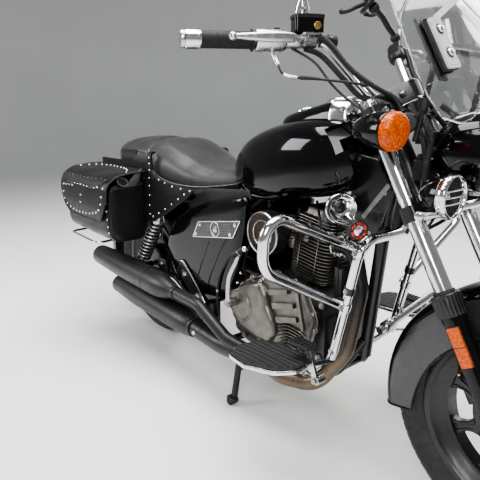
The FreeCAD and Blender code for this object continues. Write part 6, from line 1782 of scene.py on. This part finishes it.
            # three sewn bands at the bend, a soft belly on the face
            sb = (t - 152.0) / 11.0
            groove = 1.6 * abs(sin(pi * sb)) if 0 <= sb <= 3 else 0.0
            belly = 3.0 * (1 - a * a) * np.clip((t - 200) / 60, 0, 1) * np.clip((cum[-1] - t) / 60, 0, 1)
            wav = 0.9 * sin(6.0 * a + 0.03 * t) * np.clip((t - 40) / 60, 0, 1)
            q = p + nr * (groove + belly + wav - 5.0 * edge)
            grid[i, j] = (x, -q[1], q[2])
    vv = grid.reshape(-1, 3)
    ff = [(i * (NV + 1) + j, (i + 1) * (NV + 1) + j, (i + 1) * (NV + 1) + j + 1, i * (NV + 1) + j + 1) for i in range(NU) for j in range(NV)]
    low = vv.copy()
    for i in range(NU + 1):
        for j in range(NV + 1):
            a_, b_ = grid[min(i + 1, NU), j] - grid[max(i - 1, 0), j], grid[i, min(j + 1, NV)] - grid[i, max(j - 1, 0)]
            nn_ = np.cross(a_, b_)
            nn_ = nn_ / (np.linalg.norm(nn_) + 1e-9)
            if nn_[2] < 0 and j < NV * 0.4 or (nn_[1] > 0 and j > NV * 0.6):
                nn_ = -nn_
            low[i * (NV + 1) + j] = grid[i, j] - nn_ * 4.0
    n0 = len(vv)
    rim_ = [(i, 0) for i in range(NU + 1)] + [(NU, j) for j in range(1, NV + 1)] + [(i, NV) for i in range(NU - 1, -1, -1)] + [(0, j) for j in range(NV - 1, 0, -1)]
    ri = [i * (NV + 1) + j for i, j in rim_]
    faces = ff + [tuple(n0 + k for k in reversed(q)) for q in ff] + [(ri[k], n0 + ri[k], n0 + ri[(k + 1) % len(ri)], ri[(k + 1) % len(ri)]) for k in range(len(ri))]
    lidp = Piece("saddlebag_lid_" + nm)
    lidp.add("leather", g(fix(np.vstack([vv, low]), faces)))
    bound = [grid[i, j] for i, j in rim_ if j > 2]
    bl = [grid[NU, j] for j in range(2, NV + 1, 3)] + [grid[i, NV] for i in range(NU - 2, 1, -3)] + [grid[0, j] for j in range(NV, 1, -3)]
    lidp.add("leather_trim", g(tube(smooth(bl, 3), 3.3, 10)))
    lid_ob = lidp.make(body_l, ["lid_" + nm], "leather", angle=60)
    tl_ = skin(lid_ob)
    sp = Piece("lid_studs_" + nm)
    rows_ = []
    rows_ += [(x, 358, z) for x, z in zip(np.linspace(-190, 182, 13), np.interp(np.linspace(-190, 182, 13), [-190, -149, -50, 49, 140, 221], [664, 667, 671, 677, 683, 689]))]
    rows_ += [(x, 346, z + 24) for x, z in zip(np.linspace(-176, 176, 11), np.interp(np.linspace(-176, 176, 11), [-176, -136, 5, 97, 191], [702, 703, 708, 711, 718]))]
    rows_ += [(x, y, 760) for x, y in zip(np.linspace(-190, 178, 13), 205 + 66 * np.abs(np.linspace(-1, 0.85, 13)) ** 3)]
    rows_ += [(x, 360, z) for x, z in ((-196, 632), (-193, 602), (-172, 582), (-140, 572), (-108, 568), (-76, 566), (-44, 566), (-12, 567), (20, 569), (52, 573), (84, 579), (116, 588), (144, 602), (164, 626), (172, 654))]
    rows_ += [(-11, 360, 641), (-16, 360, 611)]
    q_, n_ = on_skin(tl_, [A(x, s * y, z) for x, y, z in rows_], 0.0)
    for q, n in zip(q_, n_):
        sp.add("chrome", stud(q, n, 3.7, 2.8))
    sp.make(body_l, slot="chrome", angle=60)

# ============================================================= leather yokes with studs
pyk = Piece("saddlebag_yoke_leather")
YK = round2([(92, 470), (60, 650), (66, 700), (206, 708), (212, 792), (237, 794), (241, 742), (262, 724), (330, 711), (430, 705), (514, 703), (452, 662), (342, 603), (240, 556), (190, 545), (140, 474)],
            [10, 10, 10, 8, 8, 8, 10, 14, 30, 30, 6, 20, 30, 20, 10, 10], 4)
for s in (-1, 1):
    pyk.add("leather", fix(*inset_stack(YK, "XZ", [(s * 169.5, 1), (s * 170.5, 0), (s * 175.5, 0), (s * 176.5, 1.2), (s * 176.8, 4)])))
    # the strap that turns in under the pad
    pyk.add("leather", fix(*rings([np.array([A(x, s * yy, zz) for x, yy, zz in ((212, a_[0], a_[1]), (237, a_[0], a_[1]), (237, a_[2], a_[3]), (212, a_[2], a_[3]))]) for a_ in
                                   ((170.5, 786, 176.5, 790), (169, 793, 175, 797), (166, 798, 171, 803), (161, 801, 164, 807), (154, 802, 156, 808))])))
    for x, z in ((225, 785), (225, 764), (225, 741), (221, 713), (220, 684), (218, 650), (214, 612), (216, 580), (237, 573), (279, 592), (326, 614), (371, 637), (414, 661), (452, 681), (289, 713), (329, 706), (378, 699), (432, 697), (486, 697)):
        pyk.add("chrome", stud(A(x, s * 176.4, z), A(0, s, 0), 3.7, 2.8))
pyk.make("chassis", ["saddlebag_yokes"], "leather", bevel=0.0, angle=50)

# ============================================================= rear shock absorbers
psh = Piece("shock_absorbers")
for s in (-1, 1):
    lo, hi = A(52, s * 142, 336), A(238, s * 142, 590)
    d = unit(hi - lo)
    at = lambda t: lo + d * t
    psh.add("black_satin", fix(*revolve([(-14, 6), (-14, 14.5), (14, 14.5), (14, 6)], lo, A(0, 1, 0), 28, loop=True)), fix(*revolve([(-14, 6), (-14, 14.5), (14, 14.5), (14, 6)], hi, A(0, 1, 0), 28, loop=True)))
    psh.add("steel", hexbolt(lo + A(0, s * 14, 0), A(0, s, 0), 9, 7), hexbolt(hi + A(0, s * 14, 0), A(0, s, 0), 9, 7))
    psh.add("black_satin", fix(*revolve([(10, 9), (14, 13), (30, 15), (56, 15), (56, 0)], lo, d, 32)))
    psh.add("dull_chrome", fix(*revolve([(54, 16), (55, 26), (57, 28), (62, 28), (64, 25), (64, 14)], lo, d, 40)))
    psh.add("black_plastic", fix(*revolve([(60, 13), (262, 13)], lo, d, 28)))
    psh.add("steel", helix(at(64), at(264), 23.8, 10.5, 5.4, 22, 10))
    psh.add("dull_chrome", fix(*revolve([(262, 14), (263, 27), (266, 28.5), (274, 28), (280, 23), (294, 15), (302, 11), (302, 0)], lo, d, 40)))
psh.make("chassis", ["rear_shocks"], "chrome", angle=50)

# ============================================================= headlight
phl = Piece("headlight_shell")
c0, ax = A(1264, 0, 862), A(1, 0, 0)
phl.add("black_gloss", fix(*revolve([(-38, 0), (-37, 20), (-31, 40), (-16, 61), (8, 76), (40, 83), (98, 84.5)], c0, ax, 72, closed=False)))
phl.add("chrome", fix(*revolve([(96, 84), (98, 90), (102, 92.5), (112, 92.5), (118, 91), (121, 87), (121.5, 83), (118, 80.5), (112, 80)], c0, ax, 72, closed=False)))
phl.add("reflector", fix(*revolve([(113, 80), (100, 78), (74, 66), (56, 48), (46, 26), (44, 10), (44, 0)], c0, ax, 64, closed=False)))
phl.add("chrome", fix(*revolve([(60, 0), (60, 15), (86, 15), (90, 12), (92, 0)], c0, ax, 32)))
phl.add("lamp_glass", fix(*revolve([(116, 81.5), (121, 72), (125.5, 56), (128, 36), (129, 0)], c0, ax, 64, closed=False)))
for k in range(13):
    y = -66 + k * 11
    h = sqrt(max(0, 76 ** 2 - y * y))
    phl.add("lamp_glass", tube([A(1264 + 117 + 9 * (1 - (abs(y) / 80) ** 2) * (1 - (t * t)), y, 862 + t * h) for t in np.linspace(-1, 1, 9)], 1.3, 6))
phl.make("steering", ["headlight"], "black_gloss", angle=50)
pear = Piece("headlight_brackets")
for s in (-1, 1):
    pear.add("black_plastic", tube(smooth([A(1200, s * 34, 846), A(1226, s * 44, 852), A(1252, s * 52, 858), A(1276, s * 64, 862)], 6), 7, 16))
    pear.add("black_plastic", fix(*revolve([(-2, 0), (-2, 19), (4, 21), (14, 21), (19, 18), (20, 0)], A(1218, s * 122, 922), A(0.5, s * 0.8, 0), 32)))
pear.make("steering", slot="black_satin", bevel=0.6)

# ============================================================= indicators: bullet body, dark ring, round amber lens
pind = Piece("front_indicator_bodies")
for s in (-1, 1):
    b = A(1222, s * 188, 907)
    d = unit(A(1, s * 0.08, -0.05))
    pind.add("black_gloss", fix(*revolve([(-92, 0), (-91.5, 5), (-88, 11), (-78, 19), (-60, 28), (-38, 35), (-16, 38.6), (-2, 40), (3, 40.6), (5, 40), (5, 37)], b, d, 56, closed=False)))
    pind.add("amber", fix(*revolve([(3, 38.6), (12, 38.4), (20, 36.4), (25, 31), (27.6, 22), (28.8, 11), (29, 0)], b, d, 64, closed=False)))
    u_, w_, _ = basis(d)
    for k in range(36):
        t0 = 2 * pi * k / 36
        r_ = u_ * cos(t0) + w_ * sin(t0)
        pind.add("amber", tube([b + d * 6 + r_ * 38.4, b + d * 13 + r_ * 38.0, b + d * 20.4 + r_ * 35.8, b + d * 25.4 + r_ * 30.2], 0.9, 6))
    for k in range(-4, 5):
        h_ = sqrt(34.0 ** 2 - (k * 7.4) ** 2)
        pind.add("amber", tube([b + d * (25.6 + 3.4 * (1 - t * t) - 0.0035 * (k * 7.4) ** 2) + u_ * (k * 7.4) + w_ * (t * h_ * 0.9) for t in np.linspace(-1, 1, 9)], 1.0, 6))
    pind.add("black_satin", tube(smooth([A(1156, s * 131, 888), A(1166, s * 146, 896), A(1178, s * 164, 904)], 5), 8, 18))
    pind.add("chrome", fix(*revolve([(0, 8), (0, 11), (6, 11), (6, 8)], A(1156, s * 131, 888), A(14, s * 29, 17), 24)))
pind.make("steering", ["front_indicators"], "amber", angle=50)

# ============================================================= auxiliary lamps
pal = Piece("aux_lamp_bowls")
for s in (-1, 1):
    c_ = A(1338, s * 130, 785)
    pal.add("black_gloss", fix(*revolve([(-70, 0), (-69, 10), (-63, 18), (-52, 27), (-38, 35), (-26, 39), (-14, 40)], c_, A(1, 0, 0), 56, closed=False)))
    fac = lambda j, h, r: (0.8 if (j // 4) % 2 else -0.8) if r > 42.5 else 0.0
    pal.add("chrome", fix(*revolve([(-16, 37), (-17, 41), (-14.5, 44), (-3, 45.4), (2, 45), (5, 43), (5.4, 40.4), (3, 38), (-5, 37)], c_, A(1, 0, 0), 64, mod=fac, closed=False)))
    pal.add("dial", fix(*revolve([(-4, 37.6), (-18, 34), (-26, 20), (-28, 0)], c_, A(1, 0, 0), 48, closed=False)))
    pal.add("chrome", fix(*revolve([(-26, 9), (-12, 8), (-9, 5), (-8.5, 0)], c_, A(1, 0, 0), 24)))
    for dz in (-13, 0, 13):
        h = sqrt(38.5 ** 2 - dz * dz)
        pal.add("chrome", tube([A(c_[0] + 2.6 + 2.0 * (1 - t * t), c_[1] + t * h, c_[2] + dz) for t in np.linspace(-1, 1, 9)], 1.9, 8))
    pal.add("black_satin", tube([A(1312, s * 130, 752), A(1322, s * 130, 748)], 7, 14), hexbolt(A(1312, s * 130, 761), A(0, 0, 1), 6, 5))
    pal.add("chrome", fix(*revolve([(-1, 0), (0, 7), (5, 10), (8, 10), (8, 0)], A(1312, s * 207, 752), A(0, -s, 0), 24)))
pal.add("chrome", tube([A(1312, -205, 752), A(1312, 205, 752)], 9, 24))
for s in (-1, 1):
    pal.add("black_satin", fix(*block(1276.5, 1312, s * 60 - 6, s * 60 + 6, 742, 762)))
    pal.add("rubber", tube(smooth([A(1284, s * 126, 778), A(1262, s * 110, 770), A(1244, s * 90, 792), A(1232, s * 60, 830)], 8), 3.2, 10))
pal.make("steering", ["aux_lamps"], "chrome", bevel=0.0, angle=50)

# ============================================================= windscreen hardware
SL_, CL_ = sin(radians(30)), cos(radians(30))
def scr(t, w, o=0.0):
    """A point on the screen: w across, t up the sheet, o outward from it."""
    R = 700.0
    bow = R - sqrt(R * R - w * w)
    fx, fz = -bow, t
    return A(1367.5 + (fx + o) * CL_ - fz * SL_, w, 930 + (fx + o) * SL_ + fz * CL_)


def on_screen(pts, h0, h1):
    return fix(*rings([np.array([scr(t, w, h0) for w, t in pts]), np.array([scr(t, w, h1) for w, t in pts])]))


psw = Piece("windscreen_hardware")
for s in (-1, 1):
    pl4 = round2([(s * 114, 106), (s * 154, 104), (s * 154, 214), (s * 114, 216)], 5, 4)
    psw.add("black_satin", on_screen(pl4, 3.4, 7.0), on_screen(pl4, -7.0, -3.4))
    psw.add("plate_alloy", on_screen(round2([(s * 112, 108), (s * 143, 107), (s * 143, 213), (s * 112, 215)], 4, 4), 6.6, 11.6))
    psw.add("plate_alloy", on_screen(round2([(s * 116, 114), (s * 139, 113), (s * 139, 207), (s * 116, 209)], 4, 4), 11.0, 12.6))
    for t in (138, 188):
        psw.add("chrome", fix(*revolve([(1.8, 7.6), (4.6, 7), (6.4, 5), (6.8, 0)], scr(t, s * 127, 11.4), A(CL_, 0, SL_), 24)))
        psw.add("black_plastic", fix(*revolve([(0.8, 0), (0.8, 11), (2.0, 11), (2.0, 0)], scr(t, s * 127, 11.4), A(CL_, 0, SL_), 28)))
        psw.add("chrome", hexbolt(scr(t, s * 127, -7), A(-CL_, 0, -SL_), 6, 5))
    # round clamps on the fork legs' rods and the strap up to the plate
    psw.add("plate_alloy", on_screen([(s * 124, 206), (s * 124, 219), (0, 282), (0, 269)][::s], 6.6, 9.4))
    psw.add("black_satin", rod(scr(150, s * 127, -7), scr(150, s * 127, -30), 9, 20))
    psw.add("black_satin", fix(*revolve([(-11, 6), (-11, 12), (11, 12), (11, 6)], A(1246, s * 114, 962), A(0.22, 0.13 * s, 1), 24, loop=True)))
psw.make("steering", slot="steel", angle=50)

# edge of the screen: a thin polished bead
EDGE = [(-202, 62), (-190, 20), (-158, 4), (-126, 8), (-96, 22), (-56, 62), (56, 62), (96, 22), (126, 8), (158, 4), (190, 20), (202, 62), (203, 120), (196, 250), (184, 380), (140, 500), (60, 532), (-60, 532), (-140, 500), (-184, 380), (-196, 250), (-203, 120)]
pse = Piece("windscreen_edge_bead")
bead = []
for i in range(len(EDGE)):
    (w0, t0), (w1, t1) = EDGE[i], EDGE[(i + 1) % len(EDGE)]
    bead += [scr(t0 + (t1 - t0) * k / 6, w0 + (w1 - w0) * k / 6, -2.0) for k in range(6)]
pse.add("lamp_glass", tube(bead, 1.7, 8, loop=True))
pse.make("steering", slot="clear")

# gull-shaped band in front of the bar's middle
pgb = Piece("bar_front_band")
mid = smooth([A(1106, -126, 944), A(1119, -100, 954), A(1142, -58, 974), A(1158, -20, 991), A(1160, 0, 995), A(1158, 20, 991), A(1142, 58, 974), A(1119, 100, 954), A(1106, 126, 944)], 5)
secs = []
for k, p in enumerate(mid):
    h_ = 24.0 - 5.0 * (abs(p[1]) / 126) ** 3
    f_, u_ = FW_AXIS, UP_AXIS
    secs.append(np.array([p + u_ * h_ + f_ * 2, p + u_ * (h_ - 1.5) + f_ * 3.5, p - u_ * (h_ - 1.5) + f_ * 3.5, p - u_ * h_ + f_ * 2, p - u_ * h_ - f_ * 2, p + u_ * h_ - f_ * 2]))
pgb.add("black_satin", fix(*rings(secs)))
pgb.add("chrome", tube([p - UP_AXIS * 24.5 for p in mid[3:-3]], 2.2, 10))
for s in (-1, 1):
    pgb.add("steel", hexbolt(A(1116, s * 108, 952) + FW_AXIS * 4, FW_AXIS, 8, 6), hexbolt(A(1148, s * 44, 980) + FW_AXIS * 4, FW_AXIS, 6, 5))
    pgb.add("black_satin", tube([A(1108, s * 104, 948), A(1088, s * 98, 930)], 7, 14))
pgb.make("steering", slot="black_satin", angle=40)

# ribbed conduit down the middle, and the loom beside the legs
pcd = Piece("loom_and_conduit")
ribs = lambda i: -0.7 if i % 2 else 0.5
cpath = smooth([A(1150, 10, 966), A(1166, 4, 946), A(1188, 0, 922), A(1208, 0, 896), A(1222, 0, 870)], 16)
pcd.add("rubber", tube(cpath, 8.5, 16, mod=ribs))
pcd.add("rubber", tube(smooth([A(1236, -40, 800), A(1246, -66, 770), A(1238, -78, 730), A(1212, -66, 700), A(1190, -40, 672)], 10), 4.0, 10))
pcd.add("rubber", tube(smooth([A(1236, 30, 800), A(1250, 60, 762), A(1244, 78, 720), A(1216, 70, 690), A(1192, 40, 668)], 10), 4.4, 10))
pcd.add("cable", tube(smooth([A(1236, -20, 804), A(1256, -30, 760), A(1252, -44, 712), A(1222, -40, 676)], 10), 3.2, 10))
for s in (-1, 1):
    pcd.add("rubber", tube(smooth([A(1186, s * 62, 958), A(1206, s * 78, 940), A(1236, s * 82, 918), A(1252, s * 82, 888), A(1248, s * 80, 852), A(1240, s * 76, 800)], 16), 7.0, 14, mod=ribs))
    pcd.add("rubber", tube(smooth([A(1176, s * 40, 946), A(1200, s * 60, 914), A(1226, s * 66, 880), A(1230, s * 62, 838), A(1226, s * 60, 796)], 12), 6.0, 12))
    pcd.add("cable", tube(smooth([A(1190, s * 80, 952), A(1222, s * 66, 926), A(1240, s * 60, 896), A(1246, s * 58, 866), A(1262, s * 40, 850)], 12), 4.2, 10), tube(smooth([A(1196, s * 24, 936), A(1216, s * 52, 900), A(1240, s * 62, 872), A(1262, s * 58, 862)], 12), 4.6, 10))
    pcd.add("black_plastic", fix(*block(1206, 1236, s * 44 - 22, s * 44 + 22, 800, 842)), fix(*block(1200, 1240, s * 30 - 26, s * 30 + 26, 876, 902)))
pcd.make("steering", slot="rubber")

# ============================================================= tail light, rear indicators, plate bracket
ptl = Piece("tail_light_unit")
TLo = round2([(-55, 561), (55, 561), (55, 609), (-55, 609)], [16, 16, 20, 20], 6)
ptl.add("chrome", fix(*inset_stack(TLo, "YZ", [(-336, 0), (-348, 0), (-352, 1.5)])))
ptl.add("red_lens", fix(*inset_stack(TLo, "YZ", [(-350, 2), (-372, 2.5), (-384, 5), (-391, 10), (-395, 18), (-396, 24)])))
ptl.add("black_satin", fix(*inset_stack(TLo, "YZ", [(-330, 8), (-332, 1), (-337, -0.5)])), fix(*block(-336, -300, -14, 14, 574, 596)))
for k in range(5):
    z = 571 + k * 7
    ptl.add("red_lens", tube([A(-388.5 - (3 if 1 <= k <= 3 else 0), y, z) for y in (-38, -20, 0, 20, 38)], 1.0, 6))
ptl.make("chassis", ["tail_light"], "red_lens", angle=50)
pri = Piece("rear_indicator_bodies")
for s in (-1, 1):
    pri.add("black_satin", tube([A(-350, s * 52, 585), A(-350, s * 108, 585)], 7, 16))
    o_, d = A(-330, s * 128, 585), A(-1, 0, 0)
    pri.add("black_gloss", fix(*revolve([(0, 6), (3, 13), (12, 21), (24, 26), (32, 27.5)], o_, d, 44, closed=False)))
    pri.add("chrome", fix(*revolve([(0.6, 0), (-0.6, 4), (0, 8), (3.5, 13.4)], o_, d, 28, closed=False)), fix(*revolve([(30, 27), (31, 29.5), (34, 30), (37, 29), (37.5, 27)], o_, d, 48, closed=False)))
    pri.add("amber", fix(*revolve([(36, 28), (42, 27.4), (50, 23), (54, 15), (55.5, 0)], o_, d, 48, closed=False)))
pri.make("chassis", ["rear_indicators"], "amber", angle=50)
ppb = Piece("blank_plate")
PB = round2([(-90, 420), (90, 420), (90, 560), (-90, 560)], 8, 4)
ppb.add("white_paint", fix(*inset_stack(round2([(-86, 424), (86, 424), (86, 552), (-86, 552)], 7, 4), "YZ", [(-420.2, 0), (-421.4, 0), (-421.8, 1.2), (-421.8, 4)])))
for y in (-70, 70):
    ppb.add("steel", capscrew(A(-421.4, y, 530), A(-1, 0, 0), 6, 3))
ppb.add("chrome", tube([A(-424, -30, 560), A(-424, 30, 560)], 8, 18), fix(*revolve([(0, 22), (4, 22), (7, 19), (8, 0)], A(-421, 0, 438), A(-1, 0, 0), 40)))
ppb.add("red_lens", fix(*revolve([(7, 18), (9.5, 15), (10, 0)], A(-421, 0, 438), A(-1, 0, 0), 40)))
ppb.make("chassis", angle=50)

# ============================================================= folding holder on the left handlebar
phd = Piece("bar_device_holder")
bar_d = unit(A(998, 137, 1098) - A(1104, 80, 968))
phd.add("black_plastic", fix(*revolve([(-14, 11.3), (-14, 18), (-11, 20), (11, 20), (14, 18), (14, 11.3)], A(1010, 130.5, 1083.3), bar_d, 32, loop=True)))
ball = lambda c, r: fix(*revolve([(-r, 0)] + [(-r * cos(t), r * sin(t)) for t in np.linspace(0.3, pi - 0.3, 9)] + [(r, 0)], c, A(0, 0, 1), 24))
phd.add("black_plastic", tube([A(1008, 134, 1094), A(1000, 136, 1122)], 7, 16), ball(A(998, 137, 1130), 13))
phd.add("black_plastic", tube(smooth([A(998, 137, 1132), A(990, 118, 1152), A(984, 96, 1176), A(980, 70, 1192)], 6), 1.0, 14, oval=(11, 7), side=A(0.3, 0.2, 1)), ball(A(979, 66, 1196), 14))
phd.add("black_plastic", fix(*revolve([(0, 30), (2, 32), (9, 32), (11, 29), (11, 0)], A(976, 58, 1204), unit(A(-0.5, -0.55, 0.65)), 40)))
for k, (dy, dz) in enumerate(((-62, -26), (-48, 26), (34, 42), (46, -20))):
    b_ = A(970, 52, 1210)
    m_ = b_ + A(-6, dy * 0.6, dz * 0.6)
    e_ = b_ + A(-8, dy, dz)
    phd.add("black_plastic", tube(smooth([b_, m_, e_, e_ + A(-18, dy * 0.12, dz * 0.1), e_ + A(-30, -dy * 0.1, -dz * 0.1)], 5), 1.0, 10, oval=(5.5, 3.6), side=A(1, 0, 0)))
    phd.add("rubber", ball(e_ + A(-30, -dy * 0.1, -dz * 0.1), 6.5))
phd.make("steering", slot="black_plastic", angle=50)

# more of the loom along the right side of the bar
plm = Piece("bar_looms")
for s in (-1, 1):
    plm.add("rubber", tube(smooth([A(980, s * 182, 1082), A(1004, s * 150, 1066), A(1046, s * 122, 1016), A(1084, s * 104, 976), A(1128, s * 74, 960), A(1160, s * 34, 944), A(1182, s * 14, 916)], 22), 6.2, 14, mod=lambda i: 0.5 if i % 2 else -0.7))
    plm.add("cable", tube(smooth([A(960, s * 206, 1084), A(1000, s * 168, 1052), A(1040, s * 150, 1002), A(1090, s * 128, 958), A(1140, s * 90, 932), A(1184, s * 50, 900)], 10), 3.2, 10))
plm.make("steering", slot="rubber")

# regulator on the front of the engine
prg = Piece("regulator")
prg.add("engine_satin", fix(*block(1004, 1016, -66, -8, 462, 548)))
for k in range(8):
    prg.add("engine_satin", fix(*block(1016, 1027, -64 + k * 7.4, -62 + k * 7.4, 466, 544)))
prg.make("chassis", bevel=0.8)

# ------------------------------------------------------------- floor, light, camera
def floor_mesh():
    """A pale sweep: floor, then a wide curve up to a wall behind."""
    me = bpy.data.meshes.new("studio_floor")
    n = 48
    prof = [(-9.0, 0.0), (9.0, 0.0)]
    v = []
    R = 9.0
    ringsv = [(0.0, 0.0), (3.0, 0.0), (6.0, 0.0), (7.0, 0.0), (7.6, 0.05), (8.2, 0.22), (8.8, 0.55), (9.3, 1.1), (9.55, 1.8), (9.65, 2.8), (9.7, 6.5)]
    v.append((0, 0, 0))
    f = []
    for r, z in ringsv[1:]:
        for j in range(n):
            a = 2 * pi * j / n
            v.append((r * cos(a), r * sin(a), z))
    for j in range(n):
        f.append((0, 1 + j, 1 + (j + 1) % n))
    for i in range(len(ringsv) - 2):
        for j in range(n):
            a, b2 = 1 + i * n, 1 + (i + 1) * n
            f.append((a + j, b2 + j, b2 + (j + 1) % n, a + (j + 1) % n))
    me.from_pydata(v, [], f)
    me.polygons.foreach_set("use_smooth", [True] * len(f))
    me.update()
    ob = bpy.data.objects.new("studio_floor", me)
    scene.collection.objects.link(ob)
    m, nt, b = shader("studio_pale", (0.80, 0.80, 0.79), 0.7)
    nt.links.new(ramp(nt, noise(nt, 0.8, 4.0), [(0.35, (0.78, 0.78, 0.77)), (0.65, (0.82, 0.82, 0.81))]), b.inputs["Base Color"])
    me.materials.append(m)
    return ob


floor_mesh()

w = bpy.data.worlds.new("studio")
scene.world = w
w.use_nodes = True
w.node_tree.nodes["Background"].inputs["Color"].default_value = (0.86, 0.90, 0.95, 1)
w.node_tree.nodes["Background"].inputs["Strength"].default_value = 0.20


def area(name, loc, aim, sx, sy, power, colour=(1, 1, 1)):
    d = bpy.data.lights.new(name, "AREA")
    d.shape, d.size, d.size_y, d.energy, d.color = "RECTANGLE", sx, sy, power, colour
    o = bpy.data.objects.new(name, d)
    scene.collection.objects.link(o)
    o.location = loc
    o.rotation_euler = (Vector(aim) - Vector(loc)).to_track_quat("-Z", "Y").to_euler()
    return o


area("soft_top", (0.1, -0.3, 3.3), (0.0, 0, 0.5), 3.2, 2.0, 210)
area("soft_key", (2.4, -2.9, 2.5), (0.2, 0, 0.6), 1.2, 1.8, 95)
area("soft_side", (-2.6, -2.6, 2.0), (-0.2, 0, 0.5), 1.2, 1.6, 70, (0.95, 0.97, 1.0))
area("soft_back", (-0.6, 3.2, 2.4), (0, 0, 0.7), 3.0, 1.2, 80, (1.0, 0.98, 0.95))

cam = bpy.data.cameras.new("photo_view")
cam.lens, cam.sensor_width, cam.clip_start, cam.clip_end = 36.58, 36.0, 0.02, 60.0
co = bpy.data.objects.new("photo_view", cam)
scene.collection.objects.link(co)
co.location = (1.1135, -1.0343, 0.9423)
co.rotation_euler = Vector((-0.7511, 0.6099, -0.2530)).to_track_quat("-Z", "Y").to_euler()
scene.camera = co
scene.view_settings.view_transform = "AgX"
scene.view_settings.look = "AgX - Medium High Contrast"
